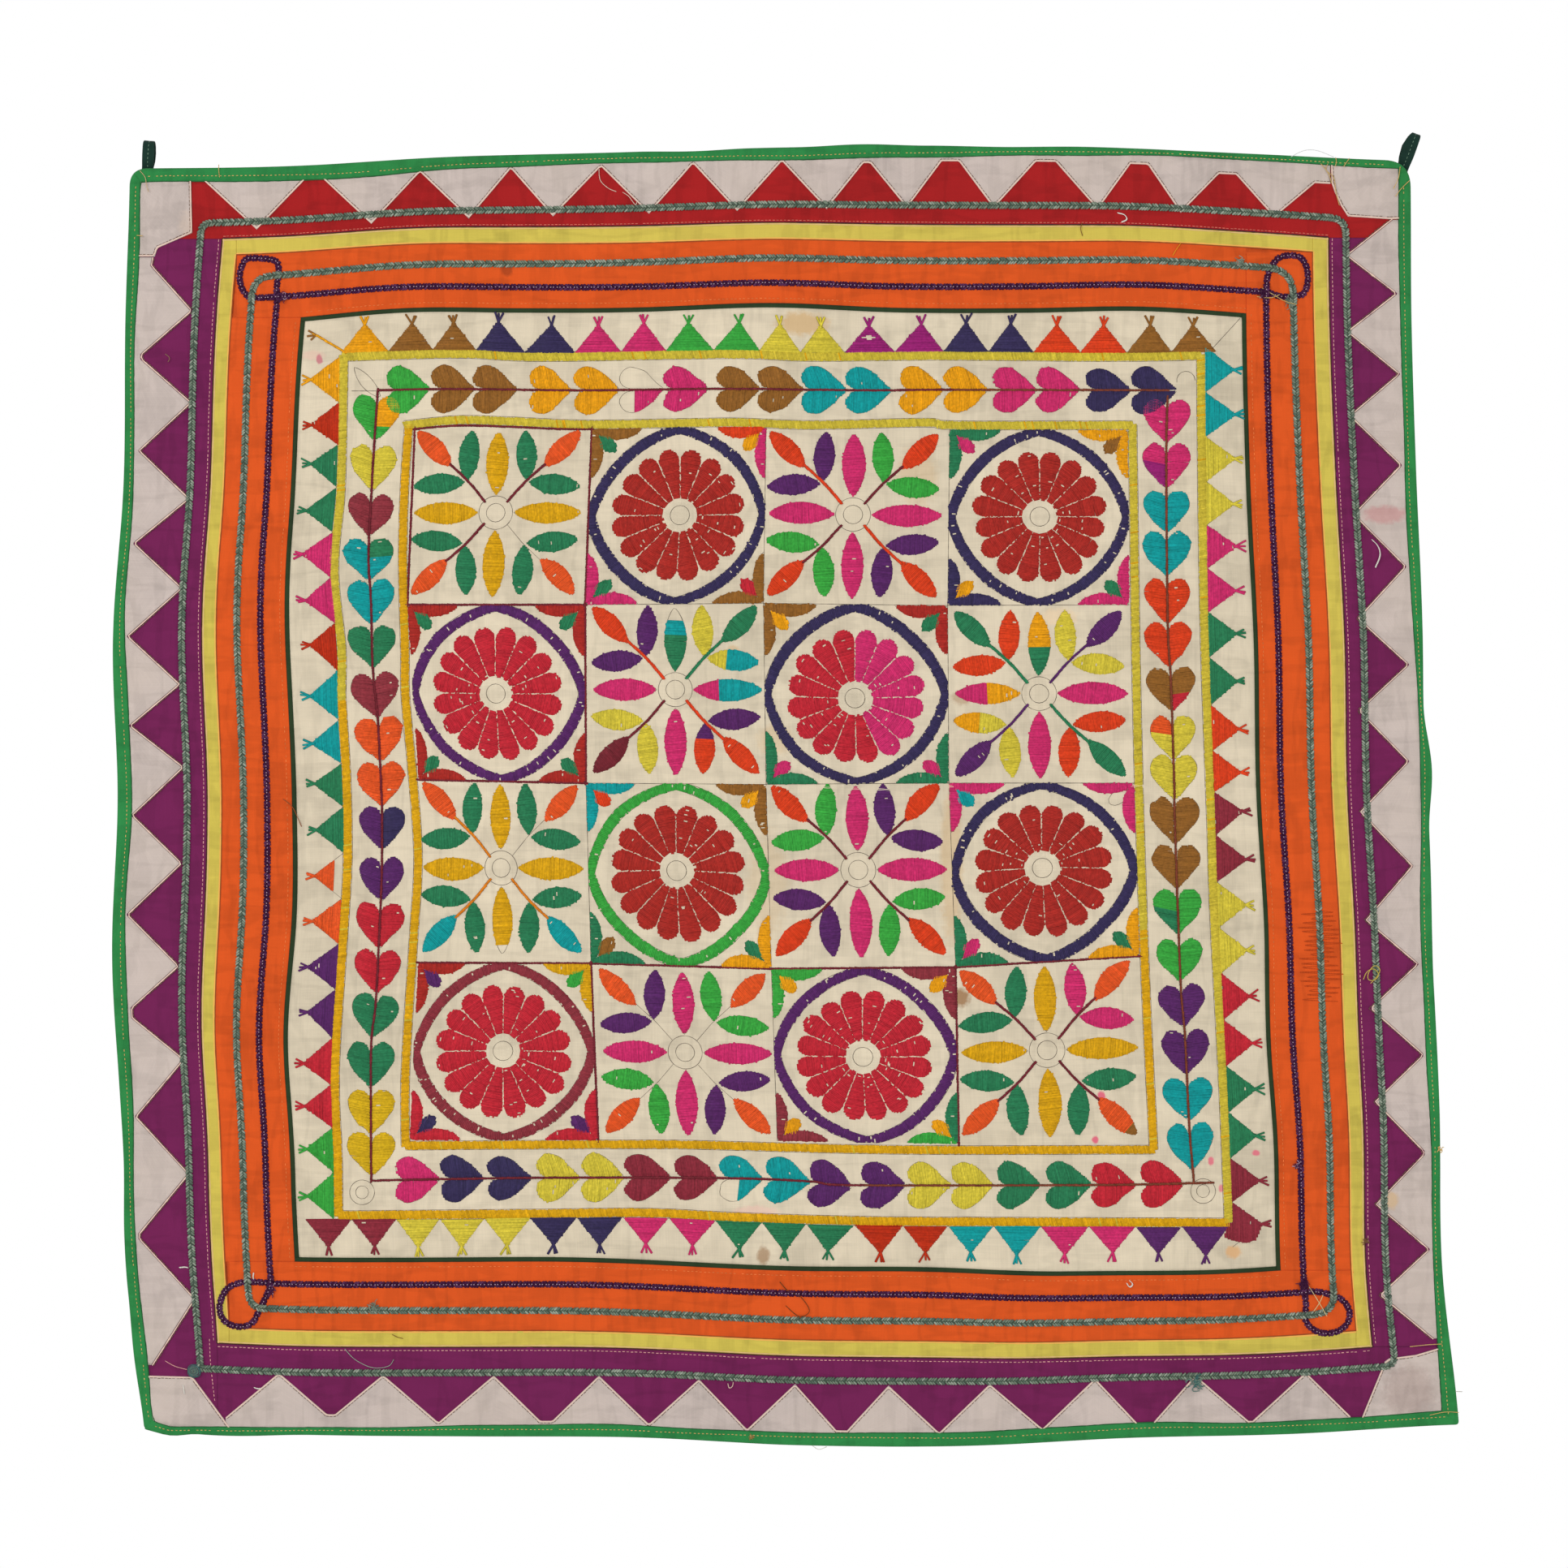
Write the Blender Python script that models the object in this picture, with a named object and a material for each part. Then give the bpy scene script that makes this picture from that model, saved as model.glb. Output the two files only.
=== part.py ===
"""Embroidered square wall hanging, hung by two tape loops.

The cloth hangs in the XZ plane with its face towards -Y. The origin is the
middle of the top edge. Sizes in the tables are millimetres; meshes are metres.

From the middle outwards the pieces are a cream centre cloth, a piping, an
orange, a yellow and an outer strip on each side, white dogtooth bands with
corner patches laid on the outer strips, a folded binding round the edge, two
loops, and three braids sewn down on top.
"""
import math

import bmesh
import bpy
from mathutils import Vector
from mathutils.geometry import intersect_line_line_2d, intersect_line_sphere_2d

MM = 0.001
GAP = 0.3                 # between any two pieces
BASE_THICK = 1.2          # centre cloth and strips
WHITE_THICK = 1.0         # dogtooth bands and corner patches
TAPE_THICK = 1.0          # one leg of the folded binding
STATION_STEP = 52.0       # between the points of a side
HALF_GAP = GAP / 2
MITRE_GAP = 0.2           # each binding's share of the gap at a rounded corner
SAME_POINT = 0.5          # points nearer than this are one corner
TAIL_GAP = 0.5            # between the binding's back and a loop's sewn end

# Layers, measured towards the viewer from the back face of the strips.
WHITE_BACK = BASE_THICK + GAP
WHITE_FRONT = WHITE_BACK + WHITE_THICK
BINDING_FRONT = WHITE_FRONT + GAP + TAPE_THICK
BINDING_BACK = -GAP - TAPE_THICK

# The hung outline: four corners, and how far each edge bows outwards at every
# eighth of its length. Top and bottom run left to right, the others downwards.
CORNERS = {
    "top_left": (-496.5, -16),
    "top_right": (476.5, -10),
    "bottom_right": (513.5, -970.5),
    "bottom_left": (-485.5, -973.5),
}
BOW = {
    "top": (0, 1, 7.5, 9.9, 12.6, 13.8, 12, 5.9, 0),
    "right": (0, -3.5, -4.6, -4.4, -8, -6.7, -5.5, -8, 0),
    "bottom": (0, 5, 6.8, 7.8, 14, 15.2, 9.3, 6.5, 0),
    "left": (0, 5, 7.5, 17, 15, 20.3, 15, 12.5, 0),
}
CORNER_ROUND = {"top_left": 13.5, "top_right": 20.0, "bottom_right": 3.0, "bottom_left": 3.0}

SIDE_ENDS = {
    "top": ("top_left", "top_right"),
    "right": ("top_right", "bottom_right"),
    "bottom": ("bottom_left", "bottom_right"),
    "left": ("top_left", "bottom_left"),
}
SIDE_RUNS_ALONG_X = {"top": True, "right": False, "bottom": True, "left": False}
SIDE_OUTWARD = {"top": 1, "right": 1, "bottom": -1, "left": -1}
CLOCKWISE = ("top", "right", "bottom", "left")

# Each course is a line round the cloth, given by its distance in from the
# outline at the start, middle and end of a side.
COURSES = {
    "binding_edge": {"top": (10.2, 9, 6), "right": (9, 9.8, 12), "bottom": (7.9, 9.6, 10.4), "left": (8, 10, 8.8)},
    "outer_braid": {"top": (41, 43.5, 46), "right": (50, 45, 44), "bottom": (47, 49, 46), "left": (52, 52, 52)},
    "outer_seam": {"top": (53, 57.5, 61.5), "right": (63, 60, 60), "bottom": (67, 67, 61), "left": (68, 67, 67)},
    "yellow_seam": {"top": (65, 70, 73), "right": (75, 72, 71), "bottom": (79, 79, 74), "left": (79, 77.5, 77)},
    "inner_braid": {"top": (83, 84.5, 88), "right": (90, 88, 86), "bottom": (95, 94, 89), "left": (93, 94, 94)},
    "purple_braid": {"top": (99, 103.5, 107), "right": (110, 112, 108), "bottom": (114, 114, 106), "left": (112, 111.5, 112)},
    "orange_seam": {"top": (116.5, 119, 125), "right": (125, 128, 126), "bottom": (131, 131, 124), "left": (131, 130, 132)},
    "piping_seam": {"top": (120, 122.5, 128.5), "right": (128.4, 131.4, 129.4), "bottom": (134.5, 134.5, 127.5),
                    "left": (134.5, 133.5, 135.5)},
}
# How much deeper the cloth lies there, in percent, at every tenth of a side.
EASE = {
    "top": (4, 0, -3.6, -1, 0, -1, 2.5, 1.5, -2.5, -1.5, 1),
    "right": (0, 0, 0, -0.5, -2, -3, -3.6, -1, -3.2, -2.2, 2),
    "bottom": (0, 0, 0.5, 1, 0, 1, 2, -2.2, -3.2, 0.5, 3),
    "left": (9, 3, -1.5, -2, 1.5, 2, 4.5, -3, -2.5, -3, -13),
}

# Which strip runs through each corner; its neighbour butts against it.
RUNS_THROUGH = {
    "outer": {"top_left": "top", "top_right": "top", "bottom_right": "bottom", "bottom_left": "left"},
    "yellow": {"top_left": "left", "top_right": "right", "bottom_right": "right", "bottom_left": "left"},
    "orange": {"top_left": "top", "top_right": "right", "bottom_right": "bottom", "bottom_left": "bottom"},
    "piping": {"top_left": "top", "top_right": "right", "bottom_right": "right", "bottom_left": "bottom"},
}

# White bands. Each row is one tooth: where its tip stands, and after it how wide
# and how far in the coloured point before the next tooth is. The ends are the
# points, as place and distance in, where the band meets the corner patches.
DOGTOOTH = {
    "top": {
        "reach": 47.5,
        "start": ((-440, 10),),
        "teeth": ((-400, 12, 10), (-313, 1, 11), (-239, 1, 11), (-175, 1, 11), (-102, 1, 11), (-35, 1, 11),
                  (33, 1, 11), (94, 1, 11), (160, 1, 11), (239, 10, 12), (302, 13, 16.5), (373, 0, 0)),
        "end": ((404, 20), (415.6, 20)),
    },
    "right": {
        "reach": 48,
        "start": ((-55, 14),),
        "teeth": ((-82, 1, 11), (-140, 1, 10), (-204, 1, 11), (-279, 1, 11), (-358, 1, 11), (-428, 1, 11),
                  (-505, 1, 11), (-587, 1, 11), (-654, 2, 11), (-725, 3, 12), (-803, 1, 9), (-872, 0, 0)),
        "end": ((-905, 12),),
    },
    "bottom": {
        "reach": 46.5,
        "start": ((-421, 11),),
        "teeth": ((-383, 6, 16), (-304, 1, 11), (-220, 9, 12), (-140, 1, 11), (-64, 1, 11), (9, 8, 12),
                  (80, 1, 11), (157, 1, 11), (237, 10, 10), (313, 3, 11), (397, 0, 0)),
        "end": ((431, 11),),
    },
    "left": {
        "reach": 49.5,
        "start": ((-83.5, 19), (-90, 18)),
        "teeth": ((-124, 4, 12), (-194, 1, 11), (-267, 1, 11), (-335, 1, 11), (-408, 1, 11), (-471, 1, 11),
                  (-544, 1, 11), (-622, 8, 13), (-693, 1, 11), (-780, 4, 11), (-875, 0, 0)),
        "end": ((-925, 11),),
    },
}

# Corner patches: where the patch stops along its two sides, and its inner points.
PATCHES = {
    "top_left": {"along_x": -450, "along_z": -83, "inner": ((-449, -65), (-475.5, -76.5), (-477.5, -83))},
    "top_right": {"along_x": 416, "along_z": -54, "inner": ((422.5, -41), (429, -53), (460, -54))},
    "bottom_right": {"along_x": 436, "along_z": -916, "inner": ((457, -922.5), (460.5, -920))},
    "bottom_left": {"along_x": -427, "along_z": -933, "inner": ((-448.5, -934),)},
}

# Soft folds: the height of the cloth towards the viewer across X and down Z.
# It was folded in four for storage, which left the middle fold each way.
FOLDS_ACROSS = ((-560, 0.0), (-380, 1.4), (-210, -0.8), (-12, 2.0), (150, -1.2), (345, 1.2), (560, -0.4))
FOLDS_DOWN = ((60, 0.4), (-150, -1.2), (-320, 1.0), (-486, -1.6), (-655, 1.2), (-830, -0.8), (-1030, 0.8))

# Braids, with the radius of their bends in the order of CORNER_ORDER.
CORNER_ORDER = ("top_left", "top_right", "bottom_right", "bottom_left")
BRAIDS = {
    "outer_braid": {"half_width": 2.3, "height": 3.0, "bends": (8, 12, 8, 3)},
    "inner_braid": {"half_width": 2.3, "height": 3.0, "bends": (14, 20, 16, 11)},
    "purple_braid": {"half_width": 2.0, "height": 2.8},
}
# The purple braid crosses itself at each corner in a loop that reaches this far out.
BRAID_LOOPS = {
    "top_left": {"reach_x": -27, "reach_z": 28.5, "bend": 9},
    "top_right": {"reach_x": 33, "reach_z": 29, "bend": 11},
    "bottom_right": {"reach_x": 33, "reach_z": -33, "bend": 13},
    "bottom_left": {"reach_x": -34, "reach_z": -34, "bend": 14},
}
BRAID_SIDES = 6
BEND_CLEAR = 2.0          # between a bend and the next point of a braid's route
HUMP_FLAT = 5.6           # half the length over which one braid rides on another
HUMP_RAMP = 7.0           # length over which it climbs there
CLIMB = BRAIDS["purple_braid"]["height"] + GAP

# Hanging loops: foot on the edge, lean to the right, height, tape width.
LOOPS = {
    "loop_left": {"foot": (-483.5, -15.6), "lean": 4.5, "height": 21.5, "start": 1.2},
    "loop_right": {"foot": (471.5, -14.8), "lean": 19.5, "height": 28.0, "start": 3.0},
}
LOOP_WIDTH = 9.0
LOOP_THICK = 1.2
LOOP_HALF_GAP = 4.2
LOOP_TAIL = 13.0          # sewn behind the binding

# Colour (linear), roughness.
MATERIALS = {
    "cream_cotton": ((0.73, 0.63, 0.47), 0.9),
    "white_cotton": ((0.58, 0.48, 0.44), 0.9),
    "green_binding": ((0.015, 0.24, 0.06), 0.75),
    "dark_green_tape": ((0.01, 0.045, 0.022), 0.8),
    "red_cotton": ((0.45, 0.012, 0.018), 0.85),
    "purple_cotton": ((0.14, 0.012, 0.08), 0.85),
    "yellow_cotton": ((0.64, 0.5, 0.1), 0.85),
    "orange_cotton": ((0.67, 0.09, 0.013), 0.85),
    "grey_braid": ((0.19, 0.26, 0.22), 0.8),
    "purple_braid": ((0.06, 0.017, 0.07), 0.8),
}


# ---------------------------------------------------------------- cloth lines
def smooth(values, fraction):
    """A soft curve through evenly spaced values."""
    last = len(values) - 1
    place = min(max(fraction, 0.0), 1.0) * last
    i = min(int(place), last - 1)
    t = place - i
    before = values[max(i - 1, 0)]
    a, b = values[i], values[i + 1]
    after = values[min(i + 2, last)]
    slope_a = (b - before) / 2
    slope_b = (after - a) / 2
    return (a * (2 * t**3 - 3 * t**2 + 1) + b * (3 * t**2 - 2 * t**3)
            + slope_a * (t**3 - 2 * t**2 + t) + slope_b * (t**3 - t**2))


def edge_point(side, place, inset=0.0):
    """The point at x (or z) = place on a line this far in from a side's edge."""
    first, second = (CORNERS[name] for name in SIDE_ENDS[side])
    along = 0 if SIDE_RUNS_ALONG_X[side] else 1
    across = 1 - along
    fraction = (place - first[along]) / (second[along] - first[along])
    chord = first[across] + (second[across] - first[across]) * fraction
    value = chord + SIDE_OUTWARD[side] * (smooth(BOW[side], fraction) - inset)
    return (place, value) if along == 0 else (value, place)


def course_point(course, side, place, shift=0.0):
    """As edge_point, on a named course moved inwards by shift."""
    first, second = (CORNERS[name] for name in SIDE_ENDS[side])
    along = 0 if SIDE_RUNS_ALONG_X[side] else 1
    fraction = (place - first[along]) / (second[along] - first[along])
    inset = smooth(COURSES[course][side], fraction) * (1 + smooth(EASE[side], fraction) / 100)
    return edge_point(side, place, inset + shift)


def course_corner(course, corner, shift=0.0):
    """Where a course's two sides meet at a corner."""
    across_side = "top" if corner.startswith("top") else "bottom"
    upright_side = "left" if corner.endswith("left") else "right"
    x, z = CORNERS[corner]
    for _ in range(12):
        z = course_point(course, across_side, x, shift)[1]
        x = course_point(course, upright_side, z, shift)[0]
    return (x, z)


def places_between(side, start, end):
    """Even stations from start to end, with one on every fold line between them."""
    folds = FOLDS_ACROSS if SIDE_RUNS_ALONG_X[side] else FOLDS_DOWN
    low, high = min(start, end), max(start, end)
    count = max(1, round((high - low) / STATION_STEP))
    places = [low + (high - low) * i / count for i in range(count + 1)]
    folds_inside = [place for place, _ in folds if low + 1 < place < high - 1]
    near = STATION_STEP * 0.3
    places = [p for p in places
              if p in (low, high) or all(abs(p - fold) > near for fold in folds_inside)]
    places = sorted(set(places + folds_inside))
    return places if end > start else places[::-1]


def clockwise_corners(side):
    """A side's two corners in clockwise order."""
    i = CLOCKWISE.index(side)
    return CORNER_ORDER[i], CORNER_ORDER[(i + 1) % 4]


def course_side(course, side, shift=0.0):
    """The points of one side of a course, clockwise, corners included."""
    first, last = (course_corner(course, name, shift) for name in clockwise_corners(side))
    along = 0 if SIDE_RUNS_ALONG_X[side] else 1
    seam_first, seam_last = (course_corner(course, name)[along] for name in clockwise_corners(side))
    places = places_between(side, seam_first, seam_last)
    inner = [course_point(course, side, place, shift) for place in places[1:-1]]
    return [first] + inner + [last]


def course_ring(course, shift=0.0):
    """A whole course as a closed ring of points."""
    return [point for side in CLOCKWISE for point in course_side(course, side, shift)[:-1]]


def outline_sides():
    """The outline's four sides, clockwise, each stopping where its corners round off."""
    sides = {}
    for side in CLOCKWISE:
        along = 0 if SIDE_RUNS_ALONG_X[side] else 1
        first, last = clockwise_corners(side)
        start, end = CORNERS[first][along], CORNERS[last][along]
        way = 1 if end > start else -1
        start += way * CORNER_ROUND[first]
        end -= way * CORNER_ROUND[last]
        sides[side] = [edge_point(side, place) for place in places_between(side, start, end)]
    return sides


def corner_arc(start, control, end, steps=4):
    """The points between two tangent points of a rounded corner."""
    arc = []
    for i in range(1, steps):
        t = i / steps
        arc.append(tuple((1 - t)**2 * start[k] + 2 * t * (1 - t) * control[k] + t**2 * end[k]
                         for k in (0, 1)))
    return arc


def offset_ring(ring, distance):
    """A closed clockwise ring moved inwards, with mitred corners."""
    moved = []
    for i, point in enumerate(ring):
        here = Vector(point)
        back = (here - Vector(ring[i - 1])).normalized()
        ahead = (Vector(ring[(i + 1) % len(ring)]) - here).normalized()
        inward_back = Vector((back.y, -back.x))
        inward_ahead = Vector((ahead.y, -ahead.x))
        mitre = (inward_back + inward_ahead).normalized()
        here += mitre * (distance / max(mitre.dot(inward_back), 0.3))
        moved.append((here.x, here.y))
    return moved


def outline_ring():
    """The outline as a closed ring, and the ring index of each corner's middle."""
    sides = outline_sides()
    ring, middles = [], {}
    for i, side in enumerate(CLOCKWISE):
        ring += sides[side]
        corner = CORNER_ORDER[(i + 1) % 4]
        following = sides[CLOCKWISE[(i + 1) % 4]]
        arc = corner_arc(sides[side][-1], CORNERS[corner], following[0])
        middles[corner] = len(ring) + len(arc) // 2
        ring += arc
    return ring, middles


# -------------------------------------------------------------------- relief
def fold_height(folds, place):
    """The height of a row of folds at one place; straight between its lines."""
    for (p0, h0), (p1, h1) in zip(folds, folds[1:]):
        if min(p0, p1) <= place <= max(p0, p1):
            return h0 + (h1 - h0) * (place - p0) / (p1 - p0)
    return folds[0][1] if abs(place - folds[0][0]) < abs(place - folds[-1][0]) else folds[-1][1]


def relief(x, z):
    return fold_height(FOLDS_ACROSS, x) + fold_height(FOLDS_DOWN, z)


def seat(x, z, height):
    """A point in metres, this high on the folded cloth towards the viewer."""
    return Vector((x, -(relief(x, z) + height), z)) * MM


# ------------------------------------------------------------------- objects
def material(name):
    colour, roughness = MATERIALS[name]
    existing = bpy.data.materials.get(name)
    if existing:
        return existing
    made = bpy.data.materials.new(name)
    made.use_nodes = True
    shader = made.node_tree.nodes["Principled BSDF"]
    shader.inputs["Base Color"].default_value = (*colour, 1.0)
    shader.inputs["Roughness"].default_value = roughness
    shader.inputs["Metallic"].default_value = 0.0
    return made


def finish_object(name, bm, material_name):
    bmesh.ops.recalc_face_normals(bm, faces=bm.faces)
    mesh = bpy.data.meshes.new(name)
    bm.to_mesh(mesh)
    bm.free()
    mesh.materials.append(material(material_name))
    obj = bpy.data.objects.new(name, mesh)
    bpy.context.scene.collection.objects.link(obj)
    return obj


def fold_planes(points):
    """The fold lines that cross a piece, as planes to cut it by."""
    xs = [x for x, _ in points]
    zs = [z for _, z in points]
    planes = [((place, 0, 0), (1, 0, 0)) for place, _ in FOLDS_ACROSS if min(xs) < place < max(xs)]
    planes += [((0, 0, place), (0, 0, 1)) for place, _ in FOLDS_DOWN if min(zs) < place < max(zs)]
    return planes


def make_sheet(name, outline, back_height, thickness, material_name):
    """A sheet cut to an outline, creased on the fold lines and given its thickness."""
    bm = bmesh.new()
    bm.faces.new([bm.verts.new((x, 0, z)) for x, z in outline])
    for place, normal in fold_planes(outline):
        parts = bm.verts[:] + bm.edges[:] + bm.faces[:]
        bmesh.ops.bisect_plane(bm, geom=parts, plane_co=place, plane_no=normal, dist=1e-4)
    back_verts = bm.verts[:]
    extruded = bmesh.ops.extrude_face_region(bm, geom=bm.faces[:])
    front_verts = [item for item in extruded["geom"] if isinstance(item, bmesh.types.BMVert)]
    for vert in back_verts:
        vert.co = seat(vert.co.x, vert.co.z, back_height)
    for vert in front_verts:
        vert.co = seat(vert.co.x, vert.co.z, back_height + thickness)
    return finish_object(name, bm, material_name)


# -------------------------------------------------------------------- strips
def cut_ring(ring, along, level, beside):
    """The ring's crossing of x or z = level that lies nearest to the point beside."""
    best = None
    for i, start in enumerate(ring):
        end = ring[(i + 1) % len(ring)]
        if (start[along] - level) * (end[along] - level) <= 0 and start[along] != end[along]:
            t = (level - start[along]) / (end[along] - start[along])
            point = tuple(start[k] + (end[k] - start[k]) * t for k in (0, 1))
            far = math.dist(point, beside)
            if best is None or far < best[0]:
                best = (far, i + t, point)
    return best[1], best[2]


def ring_between(ring, start, end):
    """The stretch of a ring from one cut to another, clockwise."""
    (start_index, start_point), (end_index, end_point) = start, end
    count = len(ring)
    if end_index < start_index:
        end_index += count
    inner = [ring[i % count] for i in range(math.floor(start_index) + 1, math.ceil(end_index))]
    apart = 0.05
    return [start_point] + [p for p in inner
                            if math.dist(p, start_point) > apart and math.dist(p, end_point) > apart] + [end_point]


def strip_outline(outer, inner_course, side, owners):
    """A strip between an outer ring and an inner course, butted at its corners."""
    runs_along_x = SIDE_RUNS_ALONG_X[side]
    inner = course_side(inner_course, side, -HALF_GAP)
    cuts = []
    for corner, end, point in zip(clockwise_corners(side), (0, 1), (inner[0], inner[-1])):
        through = owners[corner] == side
        cut_along_x = runs_along_x != through
        along = 0 if cut_along_x else 1
        if through:
            level = point[along]
        else:
            towards_middle = 1 if (corner.endswith("left") if along == 0 else corner.startswith("bottom")) else -1
            level = point[along] + towards_middle * GAP
            inner[-end] = moved_along(inner, end, along, level)
        beside = CORNERS[corner]
        if through:
            neighbour = (point[0], beside[1]) if along == 0 else (beside[0], point[1])
        else:
            neighbour = (level, beside[1]) if along == 0 else (beside[0], level)
        cuts.append(cut_ring(outer, along, level, neighbour))
    return ring_between(outer, *cuts) + inner[::-1]


def moved_along(line, end, along, level):
    """The end point of a line, slid along the line's last stretch to a level."""
    here, nearby = (line[0], line[1]) if end == 0 else (line[-1], line[-2])
    t = (level - here[along]) / (nearby[along] - here[along])
    return tuple(here[k] + (nearby[k] - here[k]) * t for k in (0, 1))


def make_strips(outline_in):
    rings = {
        "outer": (outline_in, "outer_seam"),
        "yellow": (course_ring("outer_seam", HALF_GAP), "yellow_seam"),
        "orange": (course_ring("yellow_seam", HALF_GAP), "orange_seam"),
        "piping": (course_ring("orange_seam", HALF_GAP), "piping_seam"),
    }
    cloths = {"outer": "purple_cotton", "yellow": "yellow_cotton",
              "orange": "orange_cotton", "piping": "dark_green_tape"}
    for strip, (outer, inner_course) in rings.items():
        for side in CLOCKWISE:
            outline = strip_outline(outer, inner_course, side, RUNS_THROUGH[strip])
            cloth = "red_cotton" if (strip, side) == ("outer", "top") else cloths[strip]
            make_sheet(f"{strip}_{side}", outline, 0.0, BASE_THICK, cloth)
    make_sheet("centre_cloth", course_ring("piping_seam", HALF_GAP), 0.0, BASE_THICK, "cream_cotton")


# --------------------------------------------------------------- white bands
def tooth_line(side):
    """A band's zigzag inner edge, from its start to its end."""
    band = DOGTOOTH[side]
    teeth = band["teeth"]
    line = [edge_point(side, place, inset) for place, inset in band["start"]]
    for (tip, flat, inset), following in zip(teeth, teeth[1:] + (None,)):
        line.append(edge_point(side, tip, band["reach"]))
        if following is None:
            break
        middle = (tip + following[0]) / 2
        way = 1 if following[0] > tip else -1
        line.append(edge_point(side, middle - way * flat / 2, inset))
        line.append(edge_point(side, middle + way * flat / 2, inset))
    return line + [edge_point(side, place, inset) for place, inset in band["end"]]


def make_dogtooth(outline_in):
    for side in CLOCKWISE:
        along = 0 if SIDE_RUNS_ALONG_X[side] else 1
        line = tooth_line(side)
        if side in ("bottom", "left"):
            line.reverse()
        cuts = [cut_ring(outline_in, along, line[i][along], edge_point(side, line[i][along])) for i in (0, -1)]
        make_sheet(f"dogtooth_{side}", ring_between(outline_in, *cuts) + line[::-1],
                   WHITE_BACK, WHITE_THICK, "white_cotton")
    for corner, patch in PATCHES.items():
        across_side = "top" if corner.startswith("top") else "bottom"
        upright_side = "left" if corner.endswith("left") else "right"
        on_across = cut_ring(outline_in, 0, patch["along_x"], edge_point(across_side, patch["along_x"]))
        on_upright = cut_ring(outline_in, 1, patch["along_z"], edge_point(upright_side, patch["along_z"]))
        across_first = corner in ("top_right", "bottom_left")
        cuts = (on_across, on_upright) if across_first else (on_upright, on_across)
        inner = list(patch["inner"])
        if across_first:
            inner.reverse()
        make_sheet(f"patch_{corner}", ring_between(outline_in, *cuts) + inner,
                   WHITE_BACK, WHITE_THICK, "white_cotton")


# ------------------------------------------------------------------- binding
def inner_partner(point, side):
    """The binding's inner edge opposite a point of the outline."""
    along = 0 if SIDE_RUNS_ALONG_X[side] else 1
    first, last = (course_corner("binding_edge", name) for name in clockwise_corners(side))
    low, high = sorted((first[along], last[along]))
    return course_point("binding_edge", side, min(max(point[along], low), high))


def make_binding(ring, middles):
    """A tape folded over the edge: front leg, edge wall and back leg, mitred at the corners."""
    wall = offset_ring(ring, TAPE_THICK)
    for side in CLOCKWISE:
        first, last = clockwise_corners(side)
        start, end = middles[first], middles[last]
        if end < start:
            start -= len(ring)
        way = (Vector(ring[end % len(ring)]) - Vector(ring[start % len(ring)])).normalized()
        bm = bmesh.new()
        sections = []
        for i in range(start, end + 1):
            outer, middle = Vector(ring[i % len(ring)]), Vector(wall[i % len(ring)])
            inner = Vector(inner_partner(ring[i % len(ring)], side))
            inner += way * GAP * corner_sign(inner, side)
            along = (Vector(ring[(i + 1) % len(ring)]) - Vector(ring[i - 1])).normalized()
            pull = along * MITRE_GAP * ((i == start) - (i == end))
            legs = ((outer + pull, BINDING_FRONT), (outer + pull, BINDING_BACK),
                    (inner, BINDING_BACK), (inner, BINDING_BACK + TAPE_THICK),
                    (middle + pull, BINDING_BACK + TAPE_THICK), (middle + pull, BINDING_FRONT - TAPE_THICK),
                    (inner, BINDING_FRONT - TAPE_THICK), (inner, BINDING_FRONT))
            sections.append([bm.verts.new(seat(*p, height)) for p, height in legs])
        for a, b in zip(sections, sections[1:]):
            for k in range(len(a)):
                n = (k + 1) % len(a)
                bm.faces.new((a[k], a[n], b[n], b[k]))
        bm.faces.new(sections[0])
        bm.faces.new(sections[-1][::-1])
        bmesh.ops.remove_doubles(bm, verts=bm.verts, dist=1e-6)
        bmesh.ops.dissolve_degenerate(bm, edges=bm.edges, dist=1e-6)
        finish_object(f"binding_{side}", bm, "green_binding")


def corner_sign(inner, side):
    """1 or -1 where a section ends on the binding's first or last inner corner, else 0."""
    first, last = (Vector(course_corner("binding_edge", name)) for name in clockwise_corners(side))
    return ((inner - first).length < SAME_POINT) - ((inner - last).length < SAME_POINT)


# -------------------------------------------------------------------- braids
def bend_corner(before, corner, after, radius):
    """Points of a soft bend at a corner between two neighbouring points."""
    start = Vector(corner) + (Vector(before) - Vector(corner)).normalized() * radius
    end = Vector(corner) + (Vector(after) - Vector(corner)).normalized() * radius
    return [tuple(start)] + corner_arc(start, corner, end) + [tuple(end)]


def clear_of(points, centre, distance):
    return [p for p in points if math.dist(p, centre) > distance]


def ring_route(course, bends):
    """A braid's closed route round the cloth with a bend at each corner."""
    route = []
    for i, side in enumerate(CLOCKWISE):
        line = course_side(course, side)
        radius_here, radius_next = bends[i], bends[(i + 1) % 4]
        following = course_side(course, CLOCKWISE[(i + 1) % 4])
        stretch = clear_of(line, line[0], radius_here + BEND_CLEAR)
        stretch = clear_of(stretch, line[-1], radius_next + BEND_CLEAR)
        route += stretch + bend_corner(line[-2], line[-1], following[1], radius_next)
    return route


def loop_line(crossing, side, sizes):
    """A loop out from a crossing the way the side runs, round, and back to the crossing."""
    out = 0 if SIDE_RUNS_ALONG_X[side] else 1
    reach = (sizes["reach_x"], sizes["reach_z"])
    far, near = [0.0, 0.0], [0.0, 0.0]
    far[out], near[1 - out] = reach[out], reach[1 - out]
    square = [(crossing[0] + x, crossing[1] + z) for x, z in ((0, 0), far, reach, near, (0, 0))]
    points = [square[0]]
    for before, corner, after in zip(square, square[1:], square[2:]):
        points += bend_corner(before, corner, after, sizes["bend"])
    return points + [square[-1]]


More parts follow.
